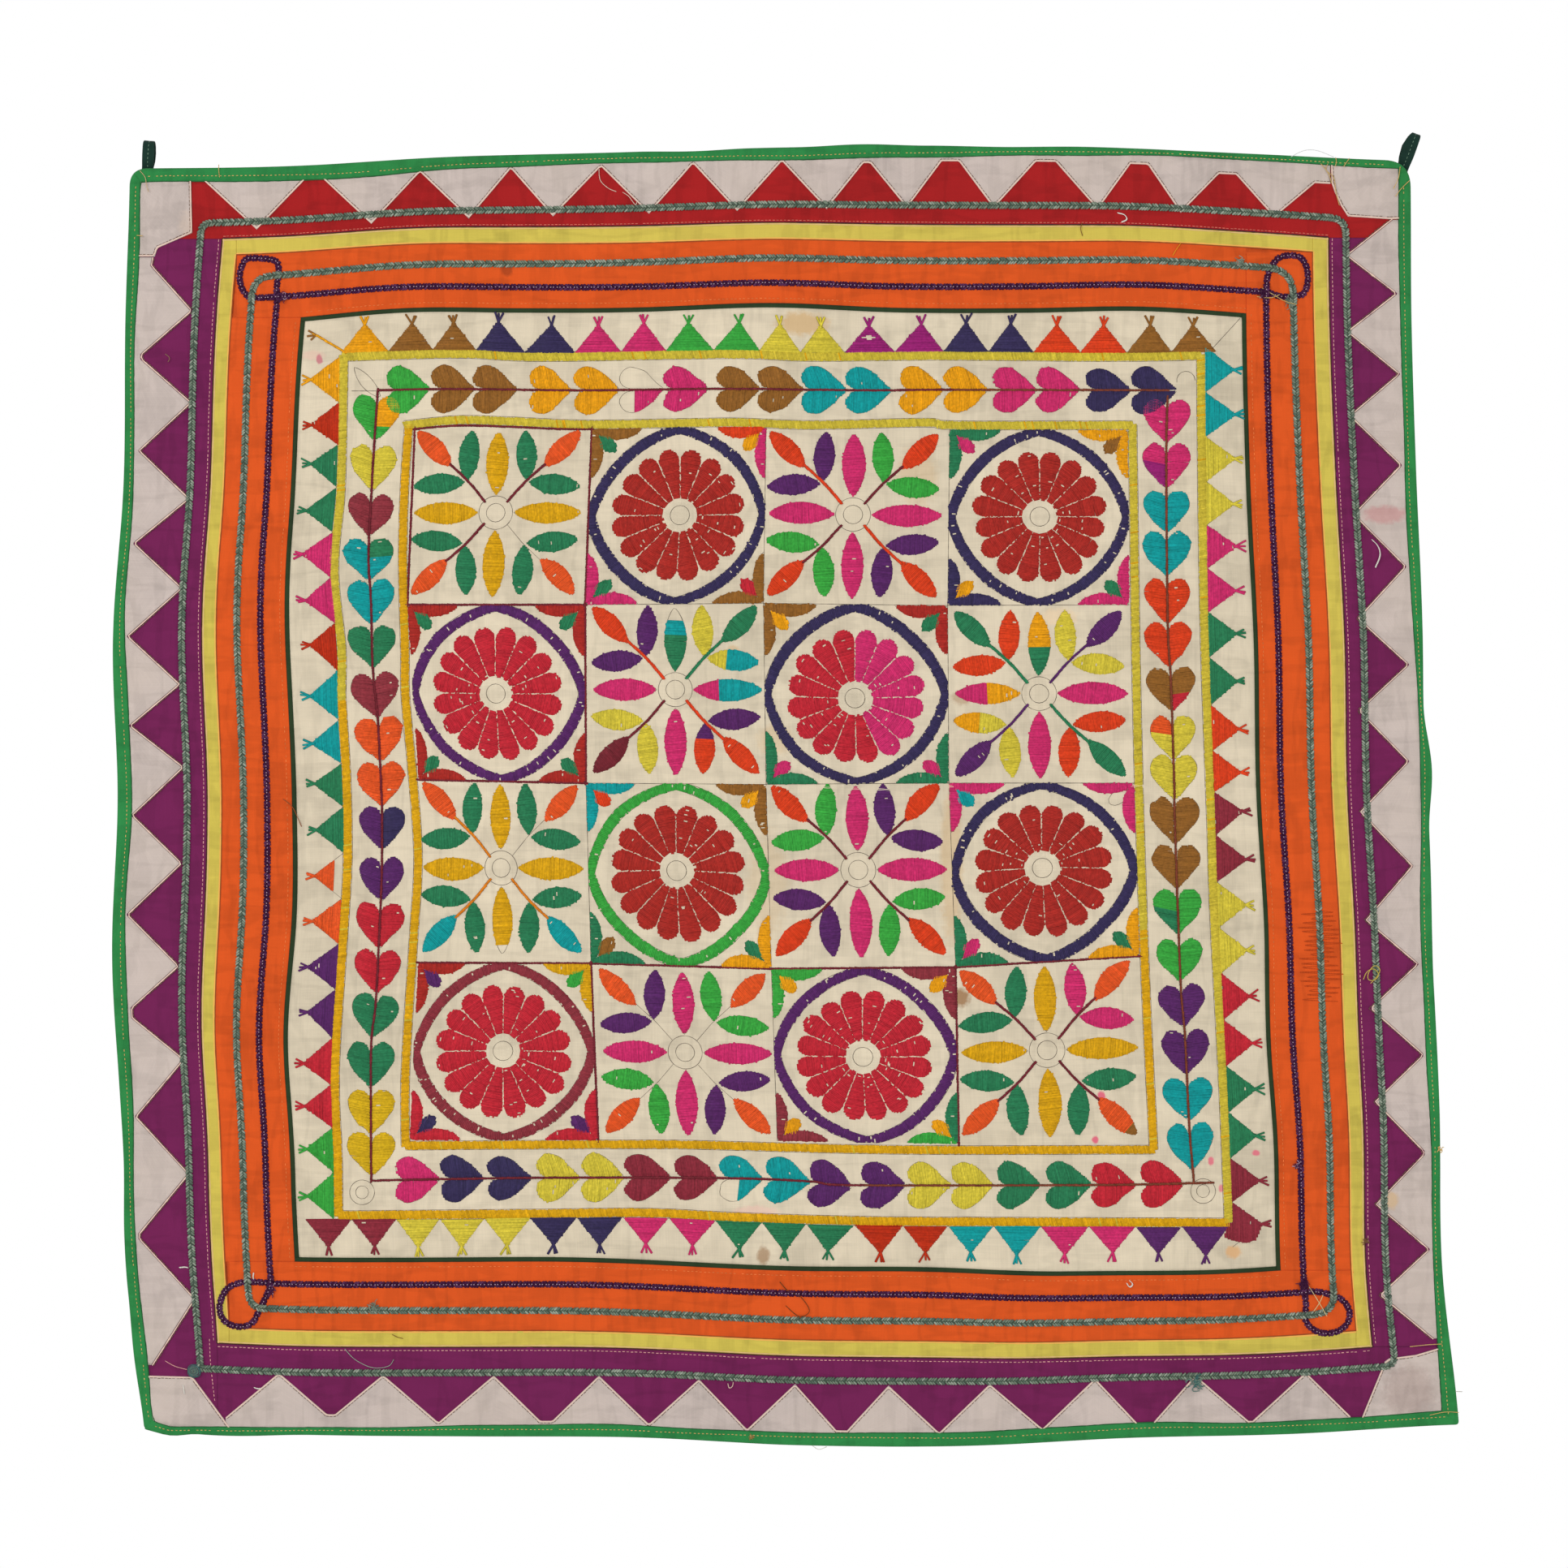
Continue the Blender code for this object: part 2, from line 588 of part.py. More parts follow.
def hump(point, centres):
    """How far a braid is lifted near the places where it rides on another."""
    away = min((math.dist(point, centre) for centre in centres), default=math.inf)
    return CLIMB * min(max((HUMP_FLAT + HUMP_RAMP - away) / HUMP_RAMP, 0.0), 1.0)


def with_hump_points(line, centres):
    """A line with extra points where each climb starts and ends."""
    filled = []
    for start, end in zip(line, line[1:]):
        a, b = Vector(start), Vector(end)
        cuts = []
        for centre in centres:
            for radius in (HUMP_FLAT, HUMP_FLAT + HUMP_RAMP):
                hits = intersect_line_sphere_2d(a, b, Vector(centre), radius, True)
                cuts += [hit for hit in hits if hit]
        cuts.sort(key=lambda hit: (hit - a).length)
        filled.append(start)
        filled += [tuple(hit) for hit in cuts
                   if (hit - a).length > SAME_POINT and (hit - b).length > SAME_POINT]
    return filled + [line[-1]]


def purple_route():
    """The purple braid's route, and the height it is lifted by at each point."""
    lines = [course_side("purple_braid", side) for side in CLOCKWISE]
    route, lifts = [], []
    for i, side in enumerate(CLOCKWISE):
        line, following = lines[i], lines[(i + 1) % 4]
        crossing = line[-1]
        loop = loop_line(crossing, side, BRAID_LOOPS[clockwise_corners(side)[1]])
        half = len(loop) // 2
        under = clear_of(line, line[0], HUMP_FLAT + HUMP_RAMP + BEND_CLEAR)[:-1] + loop[:half]
        over = with_hump_points(loop[half:] + following[1:2], [crossing])[:-1]
        over.remove(loop[-1])
        route += under + over
        lifts += [0.0] * len(under) + [hump(point, [crossing]) for point in over]
    return route, lifts


def crossings_between(route, other):
    """The points where one closed route crosses another."""
    found = []
    for a0, a1 in zip(route, route[1:] + route[:1]):
        for b0, b1 in zip(other, other[1:] + other[:1]):
            hit = intersect_line_line_2d(a0, a1, b0, b1)
            if hit:
                found.append(tuple(hit))
    return found


def make_braid(name, route, lifts, under, material_name):
    """A flattened tube along a closed route, lying on the cloth."""
    sizes = BRAIDS[name]
    half_width, half_height = sizes["half_width"], sizes["height"] / 2
    bm = bmesh.new()
    sections = []
    count = len(route)
    for i, point in enumerate(route):
        back = (Vector(point) - Vector(route[i - 1])).normalized()
        ahead = (Vector(route[(i + 1) % count]) - Vector(point)).normalized()
        tangent = (back + ahead).normalized()
        side = Vector((tangent.y, -tangent.x))
        widen = 1.0 / max(tangent.dot(back), 0.5)
        section = []
        for k in range(BRAID_SIDES):
            angle = 2 * math.pi * k / BRAID_SIDES
            across = Vector(point) + side * (half_width * widen * math.cos(angle))
            height = under + lifts[i] + half_height * (1 + math.sin(angle) / math.sin(math.pi / 3))
            centre = seat(point[0], point[1], height)
            section.append(bm.verts.new((across.x * MM, centre.y, across.y * MM)))
        sections.append(section)
    for i in range(count):
        a, b = sections[i], sections[(i + 1) % count]
        for k in range(BRAID_SIDES):
            n = (k + 1) % BRAID_SIDES
            bm.faces.new((a[k], a[n], b[n], b[k]))
    obj = finish_object(name, bm, material_name)
    obj.data.shade_smooth()
    return obj


def make_braids():
    on_white = WHITE_FRONT + GAP
    on_strip = BASE_THICK + GAP
    outer = ring_route("outer_braid", BRAIDS["outer_braid"]["bends"])
    make_braid("outer_braid", outer, [0.0] * len(outer), on_white, "grey_braid")
    purple, purple_lifts = purple_route()
    make_braid("purple_braid", purple, purple_lifts, on_strip, "purple_braid")
    inner = ring_route("inner_braid", BRAIDS["inner_braid"]["bends"])
    centres = crossings_between(inner, purple)
    inner = with_hump_points(inner + inner[:1], centres)[:-1]
    make_braid("inner_braid", inner, [hump(point, centres) for point in inner], on_strip, "grey_braid")


# ------------------------------------------------------------- hanging loops
def loop_profile(height, start):
    """The tape's middle line, as (depth behind the cloth's back, height above the foot)."""
    front_tail = GAP + TAPE_THICK + TAIL_GAP + LOOP_THICK / 2
    back_tail = front_tail + LOOP_THICK + GAP
    middle = (front_tail + back_tail) / 2
    reach = LOOP_HALF_GAP + LOOP_THICK / 2
    top = height - LOOP_THICK / 2 - reach
    points = [(front_tail, -LOOP_TAIL), (front_tail, start), (middle - reach, start + 5.0)]
    for i in range(7):
        angle = math.pi * i / 6
        points.append((middle - reach * math.cos(angle), top + reach * math.sin(angle)))
    points += [(middle + reach, start + 5.0), (back_tail, start), (back_tail, -LOOP_TAIL)]
    return points


def make_hanging_loop(name):
    """A tape folded over a gap and sewn down behind the binding by both ends."""
    sizes = LOOPS[name]
    line = [Vector(p) for p in loop_profile(sizes["height"], sizes["start"])]
    lean = math.radians(sizes["lean"])
    up = Vector((math.sin(lean), 0, math.cos(lean)))
    across = Vector((math.cos(lean), 0, -math.sin(lean)))
    foot = Vector((sizes["foot"][0], 0, sizes["foot"][1]))
    behind = -relief(*sizes["foot"])
    bm = bmesh.new()
    sections = []
    for i, point in enumerate(line):
        back = (point - line[i - 1]).normalized() if i else (line[1] - point).normalized()
        ahead = (line[i + 1] - point).normalized() if i + 1 < len(line) else back
        tangent = (back + ahead).normalized()
        normal = Vector((tangent.y, -tangent.x)) / max(tangent.dot(back), 0.5)
        section = []
        for half_thick, half_wide in ((1, 1), (1, -1), (-1, -1), (-1, 1)):
            place = point + normal * (half_thick * LOOP_THICK / 2)
            spot = foot + up * place.y + across * (half_wide * LOOP_WIDTH / 2)
            spot.y = behind + place.x
            section.append(bm.verts.new(spot * MM))
        sections.append(section)
    for a, b in zip(sections, sections[1:]):
        for k in range(4):
            n = (k + 1) % 4
            bm.faces.new((a[k], a[n], b[n], b[k]))
    bm.faces.new(sections[0])
    bm.faces.new(sections[-1][::-1])
    return finish_object(name, bm, "dark_green_tape")


# ---------------------------------------------------------------------- main
def clear_scene():
    for obj in list(bpy.data.objects):
        bpy.data.objects.remove(obj, do_unlink=True)


def main():
    clear_scene()
    ring, middles = outline_ring()
    outline_in = offset_ring(ring, TAPE_THICK + GAP)
    make_strips(outline_in)
    make_dogtooth(outline_in)
    make_binding(ring, middles)
    make_braids()
    for name in LOOPS:
        make_hanging_loop(name)


main()
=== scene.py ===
# %% [markdown]
# # Embroidered wall hanging
#
# A square dowry hanging of the western Indian kind: an embroidered cream cloth, framed by narrow
# cotton strips, white dogtooth bands and a green binding, with three braids sewn down on top.
# It hangs flat from two tape loops, face towards -Y, and its top edge is at height zero.
#
# Cloth could be draped by a simulation, but this one is sewn flat and only creased by storage.
# So every piece is laid on one shared surface of soft folds, and each piece is a thin
# sheet of its own. Sizes in the tables are millimetres; meshes are metres.

import math

import bpy
import numpy as np
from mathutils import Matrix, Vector


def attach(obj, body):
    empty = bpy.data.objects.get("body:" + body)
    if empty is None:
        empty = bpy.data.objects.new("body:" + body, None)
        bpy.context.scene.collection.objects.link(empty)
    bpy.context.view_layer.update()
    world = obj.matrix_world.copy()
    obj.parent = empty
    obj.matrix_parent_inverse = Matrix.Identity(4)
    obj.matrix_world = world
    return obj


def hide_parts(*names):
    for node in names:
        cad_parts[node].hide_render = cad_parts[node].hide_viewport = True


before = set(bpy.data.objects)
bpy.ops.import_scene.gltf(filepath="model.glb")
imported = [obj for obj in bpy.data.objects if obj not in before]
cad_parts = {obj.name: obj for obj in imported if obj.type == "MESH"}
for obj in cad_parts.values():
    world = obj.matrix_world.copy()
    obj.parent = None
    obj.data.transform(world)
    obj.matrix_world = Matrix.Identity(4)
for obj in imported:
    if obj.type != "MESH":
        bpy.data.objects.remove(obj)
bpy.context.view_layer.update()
MM = 0.001
chance = np.random.default_rng(11)
print("nodes to dress:", len(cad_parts))

# %% [markdown]
# ## Camera, light and floor
#
# The cloth is seen straight on through a long lens, so its far corners don't stretch. A wide
# lamp high on the left and a weaker one on the right leave just enough shade to read the
# folds and the relief of the threads. The floor lies well below the hanging, out of its light.

# %% Camera
scene = bpy.context.scene
FRAME_WIDTH = 1.192
LENS, SENSOR = 100.0, 36.0


def put(name, data):
    """A new object in the scene."""
    made = bpy.data.objects.new(name, data)
    scene.collection.objects.link(made)
    return made


camera_data = bpy.data.cameras.new("camera")
camera_data.lens = LENS
camera_data.sensor_width = SENSOR
camera_data.clip_end = 60.0
camera = put("camera", camera_data)
camera.location = (0.0006, -FRAME_WIDTH * LENS / SENSOR, -0.4837)
camera.rotation_euler = (math.pi / 2, 0, 0)
scene.camera = camera
print("camera stands", round(-camera.location.y, 2), "m away")


# %% Lamps, background and floor
def lamp(name, place, target, size, power):
    data = bpy.data.lights.new(name, "AREA")
    data.size = size
    data.energy = power
    made = put(name, data)
    made.location = place
    made.rotation_euler = (Vector(target) - Vector(place)).to_track_quat("-Z", "Y").to_euler()


MIDDLE = (0, 0, -0.49)
lamp("key_lamp", (-2.3, -2.9, 0.7), MIDDLE, 1.7, 57)
lamp("fill_lamp", (2.1, -2.6, -0.9), MIDDLE, 2.4, 31)
lamp("back_lamp", (0.6, 2.6, 0.8), MIDDLE, 2.2, 30)

world = bpy.data.worlds.new("studio")
world.use_nodes = True
scene.world = world
sky = world.node_tree
sky.nodes.clear()
sky_out = sky.nodes.new("ShaderNodeOutputWorld")
seen = sky.nodes.new("ShaderNodeBackground")
seen.inputs["Color"].default_value = (1, 1, 1, 1)
seen.inputs["Strength"].default_value = 1.0
light = sky.nodes.new("ShaderNodeBackground")
light.inputs["Color"].default_value = (1, 0.985, 0.96, 1)
light.inputs["Strength"].default_value = 0.6
path = sky.nodes.new("ShaderNodeLightPath")
choice = sky.nodes.new("ShaderNodeMixShader")
sky.links.new(path.outputs["Is Camera Ray"], choice.inputs[0])
sky.links.new(light.outputs[0], choice.inputs[1])
sky.links.new(seen.outputs[0], choice.inputs[2])
sky.links.new(choice.outputs[0], sky_out.inputs[0])
scene.view_settings.view_transform = "Standard"

floor_mesh = bpy.data.meshes.new("floor")
floor_mesh.from_pydata([(-6, -6, -1.6), (6, -6, -1.6), (6, 2, -1.6), (-6, 2, -1.6)], [], [(0, 1, 2, 3)])
floor = put("floor", floor_mesh)
floor_finish = bpy.data.materials.new("floor_finish")
floor_finish.use_nodes = True
floor_finish.node_tree.nodes["Principled BSDF"].inputs["Base Color"].default_value = (0.8, 0.8, 0.78, 1)
floor_finish.node_tree.nodes["Principled BSDF"].inputs["Roughness"].default_value = 0.9
floor_mesh.materials.append(floor_finish)

# %% [markdown]
# ## The lines of the cloth
#
# A hand-sewn square is never square. Its four corners, the bow of each edge and the course of
# each seam are settled once, as distances in from the edge, and every piece is cut from them.
# A seam can then bow or narrow and its two neighbours still meet along it.

# %% Outline and courses
CORNERS = {
    "top_left": (-496.5, -16),
    "top_right": (476.5, -10),
    "bottom_right": (513.5, -970.5),
    "bottom_left": (-485.5, -973.5),
}
BOW = {
    "top": (0, 1, 7.5, 9.9, 12.6, 13.8, 12, 5.9, 0),
    "right": (0, -3.5, -4.6, -4.4, -8, -6.7, -5.5, -8, 0),
    "bottom": (0, 5, 6.8, 7.8, 14, 15.2, 9.3, 6.5, 0),
    "left": (0, 5, 7.5, 17, 15, 20.3, 15, 12.5, 0),
}
CORNER_ROUND = {"top_left": 13.5, "top_right": 20.0, "bottom_right": 3.0, "bottom_left": 3.0}
SIDES = {
    "top": {"ends": ("top_left", "top_right"), "along": 0, "outward": 1},
    "right": {"ends": ("top_right", "bottom_right"), "along": 1, "outward": 1},
    "bottom": {"ends": ("bottom_left", "bottom_right"), "along": 0, "outward": -1},
    "left": {"ends": ("top_left", "bottom_left"), "along": 1, "outward": -1},
}
CLOCKWISE = ("top", "right", "bottom", "left")
CORNER_ORDER = ("top_left", "top_right", "bottom_right", "bottom_left")

EDGE_INSET = 1.3     # the raw edges of the cloth lie this far in from the outline
# Distance in from the outline at the start, middle and end of each side, in the order of CLOCKWISE.
COURSE_ROWS = {
    "edge": ((EDGE_INSET,) * 3,) * 4,
    "binding_edge": ((10.2, 9, 6), (9, 9.8, 12), (7.9, 9.6, 10.4), (8, 10, 8.8)),
    "outer_braid": ((41, 43.5, 46), (50, 45, 44), (47, 49, 46), (52, 52, 52)),
    "outer_seam": ((53, 57.5, 61.5), (63, 60, 60), (67, 67, 61), (68, 67, 67)),
    "yellow_seam": ((65, 70, 73), (75, 72, 71), (79, 79, 74), (79, 77.5, 77)),
    "inner_braid": ((83, 84.5, 88), (90, 88, 86), (95, 94, 89), (93, 94, 94)),
    "purple_braid": ((99, 103.5, 107), (110, 112, 108), (114, 114, 106), (112, 111.5, 112)),
    "orange_seam": ((116.5, 119, 125), (125, 128, 126), (131, 131, 124), (131, 130, 132)),
    "piping_seam": ((120, 122.5, 128.5), (128.4, 131.4, 129.4), (134.5, 134.5, 127.5), (134.5, 133.5, 135.5)),
}
COURSES = {course: dict(zip(CLOCKWISE, rows)) for course, rows in COURSE_ROWS.items()}
# How much deeper every course lies there, in percent, at each tenth of a side.
EASE = {
    "top": (4, 0, -3.6, -1, 0, -1, 2.5, 1.5, -2.5, -1.5, 1),
    "right": (0, 0, 0, -0.5, -2, -3, -3.6, -1, -3.2, -2.2, 2),
    "bottom": (0, 0, 0.5, 1, 0, 1, 2, -2.2, -3.2, 0.5, 3),
    "left": (9, 3, -1.5, -2, 1.5, 2, 4.5, -3, -2.5, -3, -13),
}


def smooth(values, fraction):
    """A soft curve through evenly spaced values."""
    last = len(values) - 1
    place = min(max(fraction, 0.0), 1.0) * last
    i = min(int(place), last - 1)
    t = place - i
    a, b = values[i], values[i + 1]
    slope_a = (b - values[max(i - 1, 0)]) / 2
    slope_b = (values[min(i + 2, last)] - a) / 2
    return (a * (2 * t**3 - 3 * t**2 + 1) + b * (3 * t**2 - 2 * t**3)
            + slope_a * (t**3 - 2 * t**2 + t) + slope_b * (t**3 - t**2))


def run_along(line):
    """The distance gone along a polyline at each of its points."""
    return np.concatenate([[0], np.cumsum(np.linalg.norm(np.diff(line, axis=0), axis=1))])


def points_at(line, wanted):
    """The points of a polyline at these distances along it."""
    gone = run_along(line)
    return np.stack([np.interp(wanted, gone, line[:, k]) for k in range(line.shape[1])], axis=1)


def edge_point(side, place, inset=0.0):
    """The point at x (or z) = place on a line this far in from a side's edge."""
    first, second = (CORNERS[name] for name in SIDES[side]["ends"])
    along = SIDES[side]["along"]
    fraction = (place - first[along]) / (second[along] - first[along])
    chord = first[1 - along] + (second[1 - along] - first[1 - along]) * fraction
    value = chord + SIDES[side]["outward"] * (smooth(BOW[side], fraction) - inset)
    return (place, value) if along == 0 else (value, place)


def course_point(course, side, place, shift=0.0):
    """As edge_point, on a named course moved inwards by shift."""
    first, second = (CORNERS[name] for name in SIDES[side]["ends"])
    along = SIDES[side]["along"]
    fraction = (place - first[along]) / (second[along] - first[along])
    inset = smooth(COURSES[course][side], fraction) * (1 + smooth(EASE[side], fraction) / 100)
    return edge_point(side, place, inset + shift)


def course_corner(course, corner, shift=0.0):
    """Where a course's two sides meet at a corner."""
    across_side, upright_side = corner.split("_")
    x, z = CORNERS[corner]
    for _ in range(12):
        z = course_point(course, across_side, x, shift)[1]
        x = course_point(course, upright_side, z, shift)[0]
    return (x, z)


def course_line(course, side, step=4.0, shift=0.0):
    """One side of a course from its first corner to its second, as an array of points."""
    along = SIDES[side]["along"]
    start, end = (course_corner(course, name, shift)[along] for name in SIDES[side]["ends"])
    count = max(2, round(abs(end - start) / step) + 1)
    return np.array([course_point(course, side, p, shift) for p in np.linspace(start, end, count)])


print("cloth is", round(CORNERS["bottom_right"][0] - CORNERS["bottom_left"][0]), "mm wide at the foot")

# %% [markdown]
# ## Folds, creases and puckers
#
# Folding in four for storage left a cross of soft ridges; hanging added slow waves, and close
# stitching drew the cloth into small puckers. All of it is one height over the plane of the
# cloth. Every sheet, thread and braid is seated on that height, so nothing floats or sinks.

# %% Height of the cloth
FOLDS_ACROSS = ((-560, 0.0), (-380, 1.4), (-210, -0.8), (-12, 2.0), (150, -1.2), (345, 1.2), (560, -0.4))
FOLDS_DOWN = ((-1030, 0.8), (-830, -0.8), (-655, 1.2), (-486, -1.6), (-320, 1.0), (-150, -1.2), (60, 0.4))

# Creases: two ends, half width, height. A trough is negative.
CREASES = (
    ((-30, -487), (455, -484), 2.2, -0.55),
    ((-30, -481), (455, -479), 3.5, 0.45),
    ((-330, -490), (-60, -486), 3.0, -0.30),
    ((-14, -160), (-9, -330), 2.5, 0.35),
    ((-11, -500), (-16, -800), 2.8, 0.40),
    ((-303, -70), (-304, -108), 1.2, -0.30),
    ((205, -95), (212, -128), 1.6, 0.25),
    ((-470, -300), (-395, -306), 1.8, 0.30),
    ((-466, -520), (-380, -514), 2.0, 0.30),
    ((395, -250), (470, -243), 2.0, 0.30),
    ((400, -700), (490, -706), 2.0, 0.30),
    ((-200, -870), (-192, -960), 2.0, 0.30),
    ((160, -880), (166, -965), 2.0, 0.30),
    ((-345, -560), (-285, -572), 2.2, 0.30),
    ((290, -610), (345, -596), 2.4, 0.32),
)


def folds_at(folds, place):
    """A row of folds, straight between its lines and rounded over about 30 mm at each."""
    places, heights = zip(*folds)
    nearby = np.linspace(-18, 18, 5)
    weights = np.array([1, 3, 4, 3, 1]) / 12
    return sum(w * np.interp(place + d, places, heights) for d, w in zip(nearby, weights))


def relief(x, z):
    """The height of the cloth towards the viewer, in mm, at any places on it."""
    x, z = np.asarray(x, float), np.asarray(z, float)
    height = folds_at(FOLDS_ACROSS, x) + folds_at(FOLDS_DOWN, z)
    for (x0, z0), (x1, z1), half_width, lift in CREASES:
        length = math.hypot(x1 - x0, z1 - z0)
        ux, uz = (x1 - x0) / length, (z1 - z0) / length
        run = (x - x0) * ux + (z - z0) * uz
        away = (x - x0) * uz - (z - z0) * ux + 1.2 * np.sin(run / 23)
        ends = np.clip(run / 25, 0, 1) * np.clip((length - run) / 25, 0, 1)
        height = height + lift * ends * np.exp(-(away / half_width) ** 2)
    height = height + 0.10 * np.sin(x / 7.3 + 1.3 * np.sin(z / 31)) * np.sin(z / 47 + x / 160)
    height = height + 0.10 * np.sin(z / 6.9 + 1.7 * np.sin(x / 37)) * np.sin(x / 53 - z / 140)
    return height


def seat(points, height):
    """Points of the cloth plane, this high on the folded cloth, as places in metres."""
    points = np.asarray(points, float)
    x, z = points[..., 0], points[..., 1]
    return np.stack([x, -(relief(x, z) + height), z], axis=-1) * MM


sampled = relief(*np.meshgrid(range(-480, 480, 20), range(-960, 0, 20)))
print("relief runs from", round(float(sampled.min()), 1), "to", round(float(sampled.max()), 1), "mm")

# %% [markdown]
# ## Sums on shader sockets
#
# A material is a graph of small sums. Written node by node it hides what it does, so one class
# wraps a socket and lets Python's own signs add the Math nodes. Colours and vectors are mixed
# with their own nodes, because a Math node would turn a colour grey.

# %% Shader helpers
class Sock:
    """A shader socket that takes part in Python sums."""

    def __init__(self, graph, socket):
        self.graph = graph
        self.socket = socket

    def math(self, operation, *others, clamp=False):
        return self.graph.node("ShaderNodeMath", {"operation": operation, "use_clamp": clamp}, *others)

    def __add__(self, other):
        return self.math("ADD", self, other)

    def __sub__(self, other):
        return self.math("SUBTRACT", self, other)

    def __rsub__(self, other):
        return self.math("SUBTRACT", other, self)

    def __mul__(self, other):
        return self.math("MULTIPLY", self, other)

    def __truediv__(self, other):
        return self.math("DIVIDE", self, other)

    __radd__ = __add__
    __rmul__ = __mul__

    def sin(self):
        return self.math("SINE", self)

    def clamp(self):
        return self.math("ADD", self, 0.0, clamp=True)


class Graph:
    """A material's nodes, with one method that adds any of them."""

    def __init__(self, name):
        self.material = bpy.data.materials.new(name)
        self.material.use_nodes = True
        self.tree = self.material.node_tree
        self.shader = self.tree.nodes["Principled BSDF"]

    def node(self, kind, settings=None, *values, out=0, **named):
        made = self.tree.nodes.new(kind)
        for key, value in (settings or {}).items():
            if key == "stops":
                while len(made.color_ramp.elements) < len(value):
                    made.color_ramp.elements.new(0.5)
                for stop, (place, colour) in zip(made.color_ramp.elements, value):
                    stop.position = place
                    stop.color = (*colour, 1)
            else:
                setattr(made, key, value)
        for key, value in list(enumerate(values)) + list(named.items()):
            socket = made.inputs[key]
            if isinstance(value, Sock):
                self.tree.links.new(value.socket, socket)
            else:
                socket.default_value = value
        return Sock(self, made.outputs[out])

    def mix(self, factor, first, second, blend="MIX"):
        """Two colours mixed; a tuple is a plain linear colour."""
        made = self.tree.nodes.new("ShaderNodeMix")
        made.data_type = "RGBA"
        made.blend_type = blend
        for key, value in ((0, factor), (6, first), (7, second)):
            if isinstance(value, Sock):
                self.tree.links.new(value.socket, made.inputs[key])
            else:
                made.inputs[key].default_value = value if key == 0 else (*value[:3], 1)
        return Sock(self, made.outputs[2])

    def noise(self, place, scale, detail=2.0, rough=0.5):
        return self.node("ShaderNodeTexNoise", None, Vector=place, Scale=scale, Detail=detail,
                         Roughness=rough)

    def stretch(self, place, x, y, z=1.0):
        return self.node("ShaderNodeVectorMath", {"operation": "MULTIPLY"}, place, (x, y, z))

    def feed(self, socket, value):
        if isinstance(value, Sock):
            self.tree.links.new(value.socket, self.shader.inputs[socket])
        else:
            self.shader.inputs[socket].default_value = value


def srgb(red, green, blue):
    """A colour given on the 0 to 255 scale, as linear values."""
    def linear(level):
        level = level / 255
        return level / 12.92 if level < 0.04045 else ((level + 0.055) / 1.055) ** 2.4
    return (linear(red), linear(green), linear(blue))


print("plain cream is", [round(v, 2) for v in srgb(222, 208, 182)])

# %% [markdown]
# ## Plain woven cotton
#
# All the cloths are plain weave, some coarse and some fine. The weave is a bump of crossed waves
# on the sheet's own flat coordinates, so it follows each strip. Slubs are noise drawn out along
# one thread direction or the other. Age shows as slow drifts of colour, and stains are listed
# one by one: where each lies, its half width and height, its colour and its strength.
# Creases and fold bands are also painted darker and lighter in the colour, as painted shade.

# %% Cotton finish
def stain_mask(graph, place, ragged, centre, size):
    """1 in the middle of a spot, fading to 0 with an uneven edge."""
    moved = graph.node("ShaderNodeVectorMath", {"operation": "SUBTRACT"}, place,
                       (centre[0] * MM, 0, centre[1] * MM))
    scaled = graph.stretch(moved, 1 / (size[0] * MM), 0, 1 / (size[1] * MM))
    away = graph.node("ShaderNodeVectorMath", {"operation": "LENGTH"}, scaled, out=1)
    return ((1.25 - away - ragged * 0.9) * 2.2).clamp()


def cotton(name, colour, thread=0.5, slub=0.03, drift=0.10, crumple=0.7, wear=0.10, fade=None, stains=()):
    """A worn plain weave, its creases painted darker as shade: thread is its pitch in mm, and the rest are
    the strengths of its marks.
    """
    graph = Graph(name)
    flat = graph.node("ShaderNodeUVMap", {"uv_map": "flat"})
    place = graph.node("ShaderNodeTexCoord", None, out=3)
    apart = graph.node("ShaderNodeSeparateXYZ", None, flat)
    across = Sock(graph, apart.socket.node.outputs[1])
    turns = 2 * math.pi / (thread * MM)
    weave = (apart * turns).sin() * (across * turns).sin()
    warp = graph.noise(graph.stretch(flat, 1500, 26), 1.0, 3.0, 0.6)
    weft = graph.noise(graph.stretch(flat, 26, 1500), 1.0, 3.0, 0.6)
    slubs = warp + weft - 1.0
    slow = graph.noise(place, 7.0, 4.0, 0.6)
    patch = graph.noise(place, 38.0, 3.0, 0.6)
    # Fold bands and crease lines: painted shade in the colour, and troughs in the bump.
    level_folds = graph.noise(graph.stretch(place, 9, 1, 38), 1.0, 3.0, 0.55) - 0.5
    upright_folds = graph.noise(graph.stretch(place, 38, 1, 9), 1.0, 3.0, 0.55) - 0.5
    creases = 2.0 - (level_folds * level_folds * 420).clamp()
    creases = creases - (upright_folds * upright_folds * 420).clamp()
    level = 1.0 + slubs * slub * 4 + (slow - 0.5) * drift * 3 + (patch - 0.5) * drift * 2 + weave * 0.02
    # Painted shade: creases darkened, fold bands lighter and darker, in the colour itself.
    level = level + (level_folds + upright_folds) * wear * 0.7 - creases * wear
    shade = graph.node("ShaderNodeCombineColor", None, level, level, level)
    tone = graph.mix(1.0, colour, shade, "MULTIPLY")
    if fade:
        tone = graph.mix(((slow - 0.45) * 3.0).clamp() * 0.5, tone, fade)
    ragged = graph.noise(place, 260.0, 3.0, 0.65) - 0.4
    for centre, size, spot, strength in stains:
        tone = graph.mix(stain_mask(graph, place, ragged, centre, size) * strength, tone, spot)
    soft = graph.noise(place, 55.0, 4.0, 0.55)
    height = weave * 0.05 + slubs * 0.12 + soft * crumple - creases * wear * 3
    bump = graph.node("ShaderNodeBump", None, Strength=0.55, Distance=0.001, Height=height)
    graph.feed("Base Color", tone)
    graph.feed("Normal", bump)
    graph.feed("Roughness", 0.9)
    graph.feed("Sheen Weight", 0.06)
    graph.feed("Specular IOR Level", 0.14)
    return graph.material


